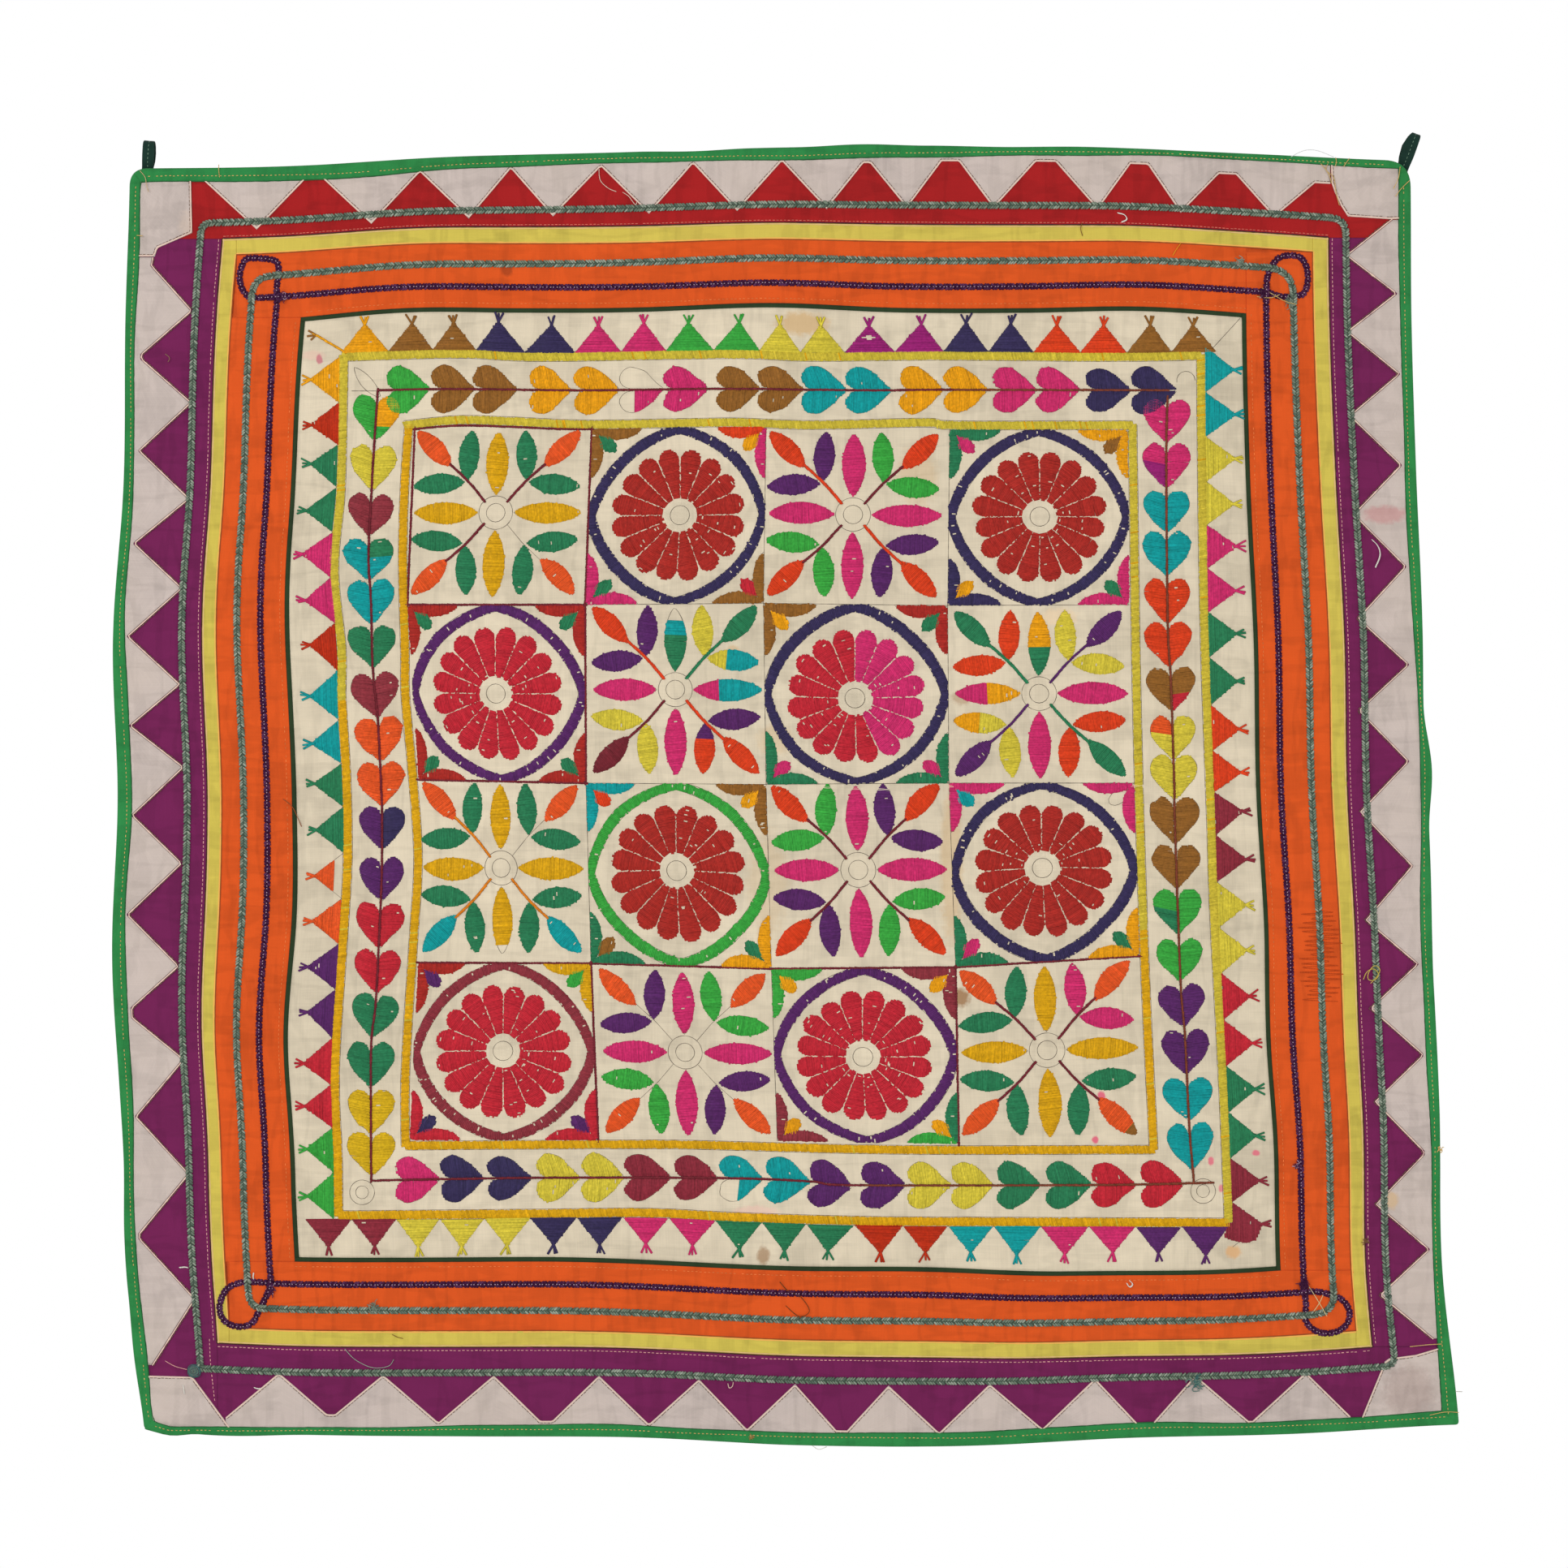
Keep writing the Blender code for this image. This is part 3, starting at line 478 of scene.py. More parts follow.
BROWN_SPOT = srgb(150, 105, 60)
TAN_SPOT = srgb(205, 170, 120)
PINK_SPOT = srgb(220, 90, 120)
GREY_SPOT = srgb(150, 125, 118)
CREAM_STAINS = (
    ((15, -134), (20, 9), TAN_SPOT, 0.75),
    ((-357, -158), (9, 4), srgb(225, 180, 165), 0.45),
    ((-352.5, -161), (2.5, 4), srgb(190, 80, 110), 0.7),
    ((136, -418), (8, 6), BROWN_SPOT, 0.45),
    ((128, -545), (9, 60), TAN_SPOT, 0.45),
    ((133, -646), (9, 7), BROWN_SPOT, 0.8),
    ((242, -721), (3.2, 3.8), PINK_SPOT, 0.9),
    ((237, -754), (2.6, 3.2), PINK_SPOT, 0.9),
    ((325, -770), (2.4, 3.6), PINK_SPOT, 0.8),
    ((333, -791), (2.2, 3.0), PINK_SPOT, 0.7),
    ((359, -764), (3.0, 2.4), PINK_SPOT, 0.8),
    ((-15, -842), (5, 7), BROWN_SPOT, 0.6),
    ((-22, -809), (18, 5), srgb(230, 190, 175), 0.6),
    ((342, -839), (6, 5), srgb(215, 160, 100), 0.7),
    ((210, -357), (14, 7), srgb(235, 205, 165), 0.5),
    ((-38, -382), (5, 4), TAN_SPOT, 0.5),
    ((102, -250), (16, 22), TAN_SPOT, 0.35),
    ((-12, -560), (16, 40), TAN_SPOT, 0.25),
    ((-6, -450), (14, 12), TAN_SPOT, 0.35),
)
WHITE_STAINS = (
    ((457, -279), (17, 7), srgb(190, 110, 115), 0.45),
    ((475, -945), (20, 20), GREY_SPOT, 0.35),
    ((462, -800), (6, 7), TAN_SPOT, 0.6),
    ((-440, -60), (20, 14), srgb(214, 190, 170), 0.4),
    ((438, -820), (4, 6), BROWN_SPOT, 0.5),
)
ORANGE_STAINS = (((-210, -92), (5, 6), srgb(150, 60, 25), 0.7),)
FINISH = {
    "cream": cotton("cream_cotton_worn", srgb(215, 202, 178), thread=0.6, slub=0.05, drift=0.15,
                    crumple=1.1, wear=0.07, stains=CREAM_STAINS),
    "white": cotton("white_cotton_worn", srgb(198, 184, 178), thread=0.6, slub=0.04, drift=0.13,
                    crumple=1.1, wear=0.08, fade=srgb(188, 174, 160), stains=WHITE_STAINS),
    "green": cotton("green_binding_cloth", srgb(44, 132, 69), crumple=0.8),
    "piping": cotton("green_piping_cloth", srgb(42, 60, 36), thread=0.7, slub=0.06, drift=0.07, crumple=0.3),
    "dark_green": cotton("dark_green_cloth", srgb(24, 52, 44), thread=0.7, slub=0.06, drift=0.05,
                         crumple=0.2),
    "red": cotton("red_cotton_dyed", srgb(162, 28, 30), drift=0.08),
    "purple": cotton("purple_cotton_dyed", srgb(114, 31, 83), drift=0.09, fade=srgb(100, 30, 76)),
    "yellow": cotton("yellow_cotton_faded", srgb(206, 188, 82), slub=0.04, fade=srgb(200, 172, 80)),
    "orange": cotton("orange_cotton_dyed", srgb(219, 86, 30), fade=srgb(204, 78, 28), stains=ORANGE_STAINS),
}
print("cloth finishes:", ", ".join(FINISH))

# %% [markdown]
# ## Sheets laid as grids
#
# A strip is a narrow band between two lines, so it is laid as a grid: rows across, columns
# along. A curve with a profile would keep one width, but these strips narrow and widen as they
# go. Both faces and the rim come from the same grid, and the flat coordinates of the weave are
# the real distances along and across.

# %% Grid sheets
LAYER = 1.2          # front face of the cloth on the plane of the folds
SHEET = 0.4          # thickness of one cloth


def grid_sheet(name, points, heights, finish):
    """A closed thin sheet over a grid of plane points and the heights of its face."""
    front = seat(points, heights).reshape(-1, 3)
    behind = seat(points, heights - SHEET).reshape(-1, 3)
    count = heights.size
    index = np.arange(count).reshape(heights.shape)
    a, b = index[:-1, :-1].ravel(), index[:-1, 1:].ravel()
    c, d = index[1:, 1:].ravel(), index[1:, :-1].ravel()
    faces = np.stack([a, b, c, d], axis=1)
    behind_faces = faces[:, ::-1] + count
    rim_faces = []
    for rim in (index[0], index[-1][::-1], index[:, -1], index[:, 0][::-1]):
        start, end = rim[:-1], rim[1:]
        rim_faces.append(np.stack([start, start + count, end + count, end], axis=1))
    along = np.linalg.norm(np.diff(points, axis=1), axis=2).mean(axis=0)
    across = np.linalg.norm(np.diff(points, axis=0), axis=2).mean(axis=1)
    u = np.concatenate([[0], np.cumsum(along)]) * MM
    v = np.concatenate([[0], np.cumsum(across)]) * MM
    flat = np.stack(np.meshgrid(u, v), axis=-1).reshape(-1, 2)
    return mesh_sheet(name, np.concatenate([front, behind]),
                      np.concatenate([faces, behind_faces, *rim_faces]), np.concatenate([flat, flat]), finish)


def set_flat(mesh, flat):
    """Gives a sheet its coordinates when laid flat, one pair for each vertex."""
    loops = np.empty(len(mesh.loops), dtype=np.int32)
    mesh.loops.foreach_get("vertex_index", loops)
    mesh.uv_layers["flat"].data.foreach_set("uv", flat[loops].astype(np.float32).ravel())


def mesh_sheet(name, places, faces, flat, finish):
    """A mesh object from arrays, turned so that its faces point outwards."""
    mesh = bpy.data.meshes.new(name)
    mesh.from_pydata(places.tolist(), [], faces.tolist())
    mesh.uv_layers.new(name="flat")
    set_flat(mesh, flat)
    mesh.polygons.foreach_set("use_smooth", [True] * len(mesh.polygons))
    if mesh.polygons[0].normal.y > 0:
        mesh.flip_normals()
    mesh.materials.append(finish)
    mesh.update()
    return put(name, mesh)


def ramp(distance, pairs):
    """A height read from (distance, height) pairs, soft between them."""
    places, heights = zip(*pairs)
    return np.interp(distance, places, heights)


def register(made, nodes, flat=None, share=None):
    """Attaches one piece to the root body and hides the model parts it stands for; flat and share only give
    an area that is not used.
    """
    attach(made, "root")
    if nodes:
        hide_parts(*nodes)
    if flat:
        area = flat[0] * flat[1] * share if share else None
    print(made.name, len(made.data.polygons), "faces")


# %% [markdown]
# ## Orange, yellow, red and purple strips
#
# Each strip is folded under along its inner edge and stitched down on the next strip in, whose
# raw edge runs on behind it as the seam's turnings. So a strip here starts some millimetres
# beneath its outer neighbour, comes up at the seam, and ends in a fold. At each corner one strip
# runs through, as they were sewn, and the other is tucked under it.

# %% Rounded corners of the outline
def corner_curve(corner, inset, steps=10):
    """The rounded corner of the outline, this far in, and the straight corner it replaces."""
    across_side, upright_side = corner.split("_")
    x, z = CORNERS[corner]
    way_x = 1 if corner.endswith("left") else -1
    way_z = -1 if corner.startswith("top") else 1
    radius = CORNER_ROUND[corner]
    start = np.array(edge_point(upright_side, z + way_z * radius, inset))
    end = np.array(edge_point(across_side, x + way_x * radius, inset))
    tip = np.array([edge_point(upright_side, z + way_z * inset, inset)[0],
                    edge_point(across_side, x + way_x * inset, inset)[1]])
    t = np.linspace(0, 1, steps)[:, None]
    return (1 - t) ** 2 * start + 2 * t * (1 - t) * tip + t**2 * end, tip


def kept_inside(points, inset=EDGE_INSET):
    """Points beyond the edge or a rounded corner, drawn in to them."""
    moved = np.array(points, float)
    for side in SIDES:
        along, line = SIDES[side]["along"], course_line("edge", side)
        order = line[:, along].argsort()
        limit = np.interp(moved[..., along], line[order, along], line[order, 1 - along])
        nearer = np.minimum if SIDES[side]["outward"] > 0 else np.maximum
        moved[..., 1 - along] = nearer(moved[..., 1 - along], limit)
    for corner in CORNER_ORDER:
        _, tip = corner_curve(corner, inset)
        radius = CORNER_ROUND[corner]
        way = np.array([1 if corner.endswith("left") else -1, -1 if corner.startswith("top") else 1])
        inward = np.maximum((moved - tip) * way, 0.01)
        near = np.all(inward < radius, axis=-1)
        reach = np.sqrt(inward / radius).sum(axis=-1)
        beyond = near & (reach < 1)
        drawn = tip + inward / reach[..., None] ** 2 * way
        moved = np.where(beyond[..., None], drawn, moved)
    return moved


# %% Strips between two courses
RUNS_THROUGH = {
    "outer": {"top_left": "top", "top_right": "top", "bottom_right": "bottom", "bottom_left": "left"},
    "yellow": {"top_left": "left", "top_right": "right", "bottom_right": "right", "bottom_left": "left"},
    "orange": {"top_left": "top", "top_right": "right", "bottom_right": "bottom", "bottom_left": "bottom"},
    "piping": {"top_left": "top", "top_right": "right", "bottom_right": "right", "bottom_left": "bottom"},
}
STRIPS = {
    "outer": ("edge", "outer_seam", 14),
    "yellow": ("outer_seam", "yellow_seam", 5),
    "orange": ("yellow_seam", "orange_seam", 11),
    "piping": ("orange_seam", "piping_seam", 6),
}
TUCK = 5.0           # turnings that run on beneath a neighbour


def strip_ends(strip, side):
    """For each end of a strip: whether it runs through, where it stops, where the inner corner is."""
    outer, inner, _ = STRIPS[strip]
    along = SIDES[side]["along"]
    ends = []
    for corner in SIDES[side]["ends"]:
        through = RUNS_THROUGH[strip][corner] == side
        inner_at = course_corner(inner, corner)
        stop = course_corner(outer, corner)[along] if through else inner_at[along]
        ends.append((through, stop, inner_at))
    return ends


def strip_grid(strip, side, step=5.6, tuck=TUCK):
    """The grid of a strip: points, distance in from its outer seam, to its inner fold and to its ends."""
    outer, inner, rows = STRIPS[strip]
    along = SIDES[side]["along"]
    (through_0, stop_0, inner_0), (through_1, stop_1, inner_1) = strip_ends(strip, side)
    way = 1 if stop_1 > stop_0 else -1
    tuck_0 = 0 if strip == "outer" and through_0 else tuck
    tuck_1 = 0 if strip == "outer" and through_1 else tuck
    count = round(abs(stop_1 - stop_0) / step) + 1
    places = np.linspace(stop_0, stop_1, count)
    edges = np.array([0.8, 2.0])
    under_0 = [stop_0 - way * tuck_0, stop_0 - way * 0.1] if tuck_0 else []
    under_1 = [stop_1 + way * 0.1, stop_1 + way * tuck_1] if tuck_1 else []
    places = np.concatenate([under_0, places[:1], places[0] + way * edges, places[1:-1],
                             places[-1] - way * edges[::-1], places[-1:], under_1])
    outer_line, inner_line = [], []
    for place in places:
        held = min(max(place, min(stop_0, stop_1)), max(stop_0, stop_1))
        top = np.array(course_point(outer, side, held))
        if (held - inner_0[along]) * way < 0:
            low = np.array(inner_0)
        elif (held - inner_1[along]) * way > 0:
            low = np.array(inner_1)
        else:
            low = np.array(course_point(inner, side, held))
        top[along] = low[along] = place
        outer_line.append(top)
        inner_line.append(low)
    outer_line, inner_line = np.array(outer_line), np.array(inner_line)
    depth = np.linalg.norm(inner_line - outer_line, axis=1)
    inward = (inner_line - outer_line) / depth[:, None]
    begin = 0.0 if strip == "outer" else -tuck
    fixed = [] if strip == "outer" else [begin, -0.1]
    levels = np.linspace(0, 1, rows)[1:-1]
    distances = [np.full(len(places), d) for d in fixed + [0.0, 0.8]]
    distances += [0.8 + (depth - 1.9) * share for share in levels]
    distances += [depth - 1.1, depth - 0.45, depth - 0.1, depth]
    distances = np.array(distances)
    points = outer_line[None] + inward[None] * distances[..., None]
    to_start = (places - stop_0) * way
    to_end = (stop_1 - places) * way
    return points, distances, depth[None] - distances, to_start, to_end, (through_0, through_1)


def lay_strip(strip, side, finish):
    points, from_seam, to_fold, to_start, to_end, through = strip_grid(strip, side)
    if strip == "outer":
        points = kept_inside(points)
    rise = ((-6, 0.45), (-0.11, 0.45), (0.0, 0.75), (0.8, 1.1), (2.0, LAYER))
    heights = ramp(from_seam, rise) if strip != "outer" else np.full(from_seam.shape, LAYER)
    for distance, is_through in ((to_start, through[0]), (to_end, through[1])):
        if strip == "outer" and is_through:
            continue
        heights = np.minimum(heights, ramp(distance, rise)[None])
    fold_dip = ((0, 0.28), (0.1, 0.12), (0.5, 0.0), (1.1, 0.0), (1.6, 0.06), (2.4, 0.0))
    heights = heights - ramp(to_fold, fold_dip)
    made = grid_sheet(f"{strip}_{side}_cloth", points, heights, finish)
    width = float(np.median(from_seam[-1] - from_seam[0])) * MM
    length = float(np.linalg.norm(np.diff(points[0], axis=0), axis=1).sum()) * MM
    return made, (width + 0.004, length + 0.006)


for strip in ("outer", "yellow", "orange"):
    for side in CLOCKWISE:
        cloth = {"outer": "red" if side == "top" else "purple"}.get(strip, strip)
        strip_made, flat_size = lay_strip(strip, side, FINISH[cloth])
        register(strip_made, [f"{strip}_{side}"], flat=flat_size)

# %% [markdown]
# ## Dark green piping
#
# A folded bias strip is caught in the seam between the orange and the cream, and only its
# rounded fold shows, 3 to 4 mm wide. It is the same kind of grid as a strip, with a round crown
# instead of a flat face.

# %% Piping
pipings = []
for side in CLOCKWISE:
    points, from_seam, to_fold, to_start, to_end, through = strip_grid("piping", side, step=5.0, tuck=1.6)
    width = from_seam + to_fold
    roll = np.sin(np.pi * np.clip(from_seam / width, 0, 1)) ** 0.6
    crown = np.where(from_seam < 0, 0.5, 0.75 + 1.05 * roll)
    for distance, is_through in ((to_start, through[0]), (to_end, through[1])):
        crown = np.minimum(crown, ramp(distance, ((-2, 0.5), (-0.11, 0.5), (0, 0.9), (1.2, 1.9)))[None])
    pipings.append(grid_sheet(f"piping_{side}_roll", points, crown, FINISH["piping"]))

# %% [markdown]
# ## Cream centre cloth
#
# The ground for all the embroidery is one square of hand-loomed cream cotton. It is a grid
# stretched between its four sides, fine enough to show the creases as real shape. Its edge runs
# on a little beneath the piping.

# %% Centre cloth
def between_sides(course, count, shift):
    """A grid of points filling the inside of a course, its edges on the course's sides."""
    t = np.linspace(0, 1, count)
    sides = {}
    for side in CLOCKWISE:
        line = course_line(course, side, 3.0, shift)
        sides[side] = points_at(line, t * run_along(line)[-1])
    u, v = t[None, :, None], t[:, None, None]
    top, bottom = sides["top"][None], sides["bottom"][None]
    left, right = sides["left"][:, None], sides["right"][:, None]
    corners = ((1 - u) * (1 - v) * sides["top"][0] + u * (1 - v) * sides["top"][-1]
               + (1 - u) * v * sides["bottom"][0] + u * v * sides["bottom"][-1])
    return (1 - v) * top + v * bottom + (1 - u) * left + u * right - corners


ground_points = between_sides("piping_seam", 206, -1.2)
ground_heights = np.full(ground_points.shape[:2], LAYER)
ground_heights[[0, -1], :] = 0.6
ground_heights[:, [0, -1]] = 0.6
ground = grid_sheet("cream_ground", ground_points, ground_heights, FINISH["cream"])

# %% [markdown]
# ## White dogtooth bands
#
# A white strip is snipped, its raw edges are turned under to make points, and it is stitched
# down along the folds. So each tooth has a plump folded rim, with a line of stitches sunk just
# inside it. The band is again a grid across the strip; the height of each point comes from its
# distance to the nearest folded edge, which gives rim and stitch groove in one rule.

# %% White bands and corner patches
DOGTOOTH = {
    "top": {
        "reach": 47.5,
        "start": ((-440, 10),),
        "teeth": ((-400, 12, 10), (-313, 1, 11), (-239, 1, 11), (-175, 1, 11), (-102, 1, 11), (-35, 1, 11),
                  (33, 5, 13), (94, 13, 12), (160, 15, 12), (239, 13, 12), (302, 13, 16.5), (373, 0, 0)),
        "end": ((404, 20), (415.6, 20)),
    },
    "right": {
        "reach": 48,
        "start": ((-55, 14),),
        "teeth": ((-82, 1, 11), (-140, 1, 10), (-204, 1, 11), (-279, 1, 11), (-358, 1, 11), (-428, 1, 11),
                  (-505, 1, 11), (-587, 1, 11), (-654, 2, 11), (-725, 3, 12), (-803, 1, 9), (-872, 0, 0)),
        "end": ((-905, 12),),
    },
    "bottom": {
        "reach": 46.5,
        "start": ((-423.5, 11),),
        "teeth": ((-383, 6, 16), (-304, 1, 11), (-220, 9, 12), (-140, 1, 11), (-64, 1, 11), (9, 8, 12),
                  (80, 1, 11), (157, 1, 11), (237, 10, 10), (313, 3, 11), (397, 0, 0)),
        "end": ((431, 11),),
    },
    "left": {
        "reach": 49.5,
        "start": ((-83.5, 19), (-90, 18)),
        "teeth": ((-124, 4, 12), (-194, 1, 11), (-267, 1, 11), (-335, 1, 11), (-408, 1, 11), (-471, 1, 11),
                  (-544, 1, 11), (-622, 8, 13), (-693, 1, 11), (-780, 4, 11), (-875, 0, 0)),
        "end": ((-925, 11),),
    },
}
# Where each patch's fold meets its two sides, its cut size in metres, and the fold's points between.
PATCHES = {
    "top_left": {"along_x": -450, "along_z": -83, "cut": (0.047, 0.067),
                 "inner": ((-449, -65), (-475.5, -76.5), (-477.5, -83))},
    "top_right": {"along_x": 416, "along_z": -54, "cut": (0.060, 0.044),
                  "inner": ((416.5, -27), (419, -34), (423.5, -44), (429, -52.5), (461, -54.5))},
    "bottom_right": {"along_x": 436, "along_z": -910, "cut": (0.077, 0.055),
                     "inner": ((457, -922.5), (460.5, -920), (480.5, -917.5))},
    "bottom_left": {"along_x": -418.5, "along_z": -933, "cut": (0.058, 0.040), "inner": ((-448.5, -934),)},
}
RIM = ((0, 1.3), (0.3, 1.75), (0.8, 2.05), (1.35, 2.0), (1.75, 1.72), (2.3, 1.88), (4, 1.9), (60, 1.9))


def zigzag(side):
    """A band's folded edge, from its start to its end along the side."""
    band = DOGTOOTH[side]
    teeth = band["teeth"]
    line = [edge_point(side, place, inset) for place, inset in band["start"]]
    for (tip, flat, inset), following in zip(teeth, teeth[1:] + (None,)):
        line.append(edge_point(side, tip, band["reach"]))
        if following is None:
            break
        middle = (tip + following[0]) / 2
        way = 1 if following[0] > tip else -1
        line.append(edge_point(side, middle - way * flat / 2, inset))
        line.append(edge_point(side, middle + way * flat / 2, inset))
    return np.array(line + [edge_point(side, place, inset) for place, inset in band["end"]])


def distance_to_line(points, line):
    """How far each point lies from a polyline."""
    best = np.full(points.shape[:-1], np.inf)
    for start, end in zip(line[:-1], line[1:]):
        way = end - start
        t = np.clip(((points - start) @ way) / max(way @ way, 1e-9), 0, 1)
        best = np.minimum(best, np.linalg.norm(points - (start + t[..., None] * way), axis=-1))
    return best


def lay_band(side):
    """One white band: a grid from under the binding to the zigzag of its folded edge."""
    line = zigzag(side)
    along = SIDES[side]["along"]
    stops = line[:, along]
    places = [stops[0]]
    for start, end in zip(stops[:-1], stops[1:]):
        count = max(1, round(abs(end - start) / 2.2))
        places += list(np.linspace(start, end, count + 1)[1:])
    places = np.array(places)
    order = 1 if stops[-1] > stops[0] else -1
    fold_across = np.interp(places * order, stops * order, line[:, 1 - along])
    fold = np.empty((len(places), 2))
    fold[:, along], fold[:, 1 - along] = places, fold_across
    outer = np.array([edge_point(side, place, EDGE_INSET) for place in places])
    shares = np.array([0, 0.16, 0.32, 0.48, 0.62, 0.74, 0.83, 0.89, 0.93, 0.96, 0.98, 0.992, 1.0])
    points = kept_inside(outer[None] + (fold - outer)[None] * shares[:, None, None])
    heights = ramp(distance_to_line(points, line), RIM)
    return grid_sheet(f"dogtooth_{side}_cloth", points, heights, FINISH["white"]), line


bands = {}
for side in CLOCKWISE:
    band_made, folded_line = lay_band(side)
    bands[side] = folded_line
    band_length = float(np.ptp(folded_line[:, SIDES[side]["along"]])) * MM
    register(band_made, [f"dogtooth_{side}"], flat=(0.048, band_length), share=0.62)


def lay_patch(corner):
    """A corner patch: a fan of grid lines from the corner to the patch's folded edge."""
    patch = PATCHES[corner]
    across_side, upright_side = corner.split("_")
    start = edge_point(across_side, patch["along_x"], EDGE_INSET)
    end = edge_point(upright_side, patch["along_z"], EDGE_INSET)
    fold = np.array([start, *patch["inner"], end])
    gone = run_along(fold)
    wanted = np.unique(np.concatenate([gone, np.linspace(0, gone[-1], 40)]))
    fold_line = points_at(fold, wanted)
    curve, _ = corner_curve(corner, EDGE_INSET)
    rim = np.concatenate([[start], curve[::-1], [end]])
    rim_line = points_at(rim, wanted / gone[-1] * run_along(rim)[-1])
    shares = np.array([0, 0.2, 0.4, 0.6, 0.75, 0.86, 0.92, 0.96, 0.985, 1.0])
    points = rim_line[None] + (fold_line - rim_line)[None] * shares[:, None, None]
    heights = ramp(distance_to_line(points, fold[1:-1] if len(fold) > 3 else fold), RIM)
    return grid_sheet(f"patch_{corner}_cloth", points, heights + 0.08, FINISH["white"]), fold


patch_folds = {}
for corner in CORNER_ORDER:
    patch_made, patch_folds[corner] = lay_patch(corner)
    register(patch_made, [f"patch_{corner}"], flat=PATCHES[corner]["cut"], share=0.8)

# %% [markdown]
# ## Green binding
#
# A cotton tape is folded over the raw edge of all the layers and stitched through near its
# inner edge. Its section is drawn once, from the turned edge on the front, round the outside,
# to the turned edge at the back, and is swept along each side with the tape's changing width.
# Between the needle's holes the tape puckers a little.

# %% Binding
# Distance in as a share of the width, and height, from the front edge round to the back.
TAPE_SECTION = ((1.0, 1.55), (1.0, 2.35), (0.94, 2.75), (0.78, 2.9), (0.62, 2.98), (0.45, 3.1),
                (0.28, 3.05), (0.14, 2.7), (0.04, 2.0), (0.0, 1.1), (0.04, 0.2), (0.14, -0.35),
                (0.3, -0.6), (0.6, -0.6), (0.9, -0.45), (1.0, -0.2), (1.0, 0.2))

# Where the tape was folded wider than the rest: middle along the side, half length, how much.
BULGES = {
    "top": ((-68, 45, -1.0), (60, 50, 1.4), (170, 60, -0.9)),
    "right": ((-472, 50, 4.6), (-520, 120, 3.0)),
    "bottom": ((-466, 22, 3.0), (-430, 75, 3.2)),
    "left": ((-776, 55, -1.0), (-925, 55, 1.8)),
}

# How much nearer the edge the turned fold lies than its course, at each twelfth of a side.
FOLD_OUT = {
    "top": (0.5, 0, -1.8, 0, 1.5, 1.2, -0.5, 0, 0.4, 1.0, 2.4, 1.0, 0),
    "right": (0, 0, 1.5, 0.8, 1.0, 5.3, 7.8, 3.0, 2.2, 3.3, 4.9, 3.4, 0),
    "bottom": (7.0, 3.8, 2.2, 0.6, 0, 0.8, 0, 0, -0.5, -1.5, 0.6, 0.8, 0),
    "left": (1.0, 0, 1.8, 1.5, 1.5, -0.4, -0.2, 1.2, -0.8, 0.2, 1.2, -0.4, 2.0),
}


def outline_stations(side, step=5.5):
    """Places along a side's outline, from the middle of one corner to the middle of the next."""
    along = SIDES[side]["along"]
    first, last = SIDES[side]["ends"]
    outward_curves = []
    for corner in (first, last):
        curve, _ = corner_curve(corner, 0.0, 13)
        half = curve[6:] if along == 0 else curve[:7][::-1]
        outward_curves.append(half)
    start = outward_curves[0][-1][along]
    end = outward_curves[1][-1][along]
    count = round(abs(end - start) / step)
    middle = np.array([edge_point(side, p) for p in np.linspace(start, end, count)])
    return np.concatenate([outward_curves[0][:-1], middle, outward_curves[1][:-1][::-1]])


def lay_binding(side):
    outer = outline_stations(side)
    along = SIDES[side]["along"]
    corners = [course_corner("binding_edge", name) for name in SIDES[side]["ends"]]
    low, high = sorted(c[along] for c in corners)
    inner = np.array([course_point("binding_edge", side, min(max(p[along], low), high)) for p in outer])
    gone = run_along(outer)
    wander = 0.45 * np.sin(gone / 17 + len(side)) + 0.3 * np.sin(gone / 41 + 2 * len(side))
    inward = (inner - outer) / np.linalg.norm(inner - outer, axis=1)[:, None]
    for middle, half, wider in BULGES[side]:
        near = np.clip(np.abs(outer[:, along] - middle) / half, 0, 1)
        outer = outer - inward * (wider * np.cos(near * math.pi / 2) ** 2)[:, None]
    ease = np.clip(np.minimum(gone, gone[-1] - gone) / 20, 0, 1)
    fold_out = np.array([smooth(FOLD_OUT[side], length / gone[-1]) for length in gone])
    inner = inner + inward * ((0.6 * wander - fold_out) * ease)[:, None]
    shares = np.array([share for share, _ in TAPE_SECTION])
    heights = np.array([height for _, height in TAPE_SECTION])
    points = outer[None] + (inner - outer)[None] * shares[:, None, None]
    pucker = 0.16 * np.sin(gone / 3.1) * np.sin(gone / 13)
    lift = heights[:, None] + pucker[None] * np.where((shares > 0.5) & (heights > 2), 1, 0.3)[:, None]
    seam = (heights > 2)[:, None] * (np.abs(shares - 0.7) < 0.1)[:, None] * -0.14
    inside = lift + seam + np.where(heights > 1.1, -1, 1)[:, None] * SHEET * 0.9
    inside_points = points + (inner - outer)[None] * np.where(shares < 0.2, 0.05, 0.0)[:, None, None]
    made = tape_sheet(f"binding_{side}_tape", points, lift + seam, inside_points, inside)
    return made, gone[-1], inner, outer


def tape_sheet(name, points, lift, inside_points, inside):
    """A folded tape: its outer skin and its inner skin over one grid."""
    made = grid_sheet(name, points, lift, FINISH["green"])
    count = lift.size
    places = np.empty(count * 6)
    made.data.vertices.foreach_get("co", places)
    places = places.reshape(-1, 3)
    places[count:] = seat(inside_points, inside).reshape(-1, 3)
    made.data.vertices.foreach_set("co", places.ravel())
    made.data.update()
    return made


binding_edges = {}
for side in CLOCKWISE:
    tape_made, tape_length, tape_inner, tape_outer = lay_binding(side)
    binding_edges[side] = (tape_inner, tape_outer)
    if np.mean([p.normal.y for p in tape_made.data.polygons][:200]) > 0:
        tape_made.data.flip_normals()
    register(tape_made, [f"binding_{side}"], flat=(0.024, tape_length * MM))
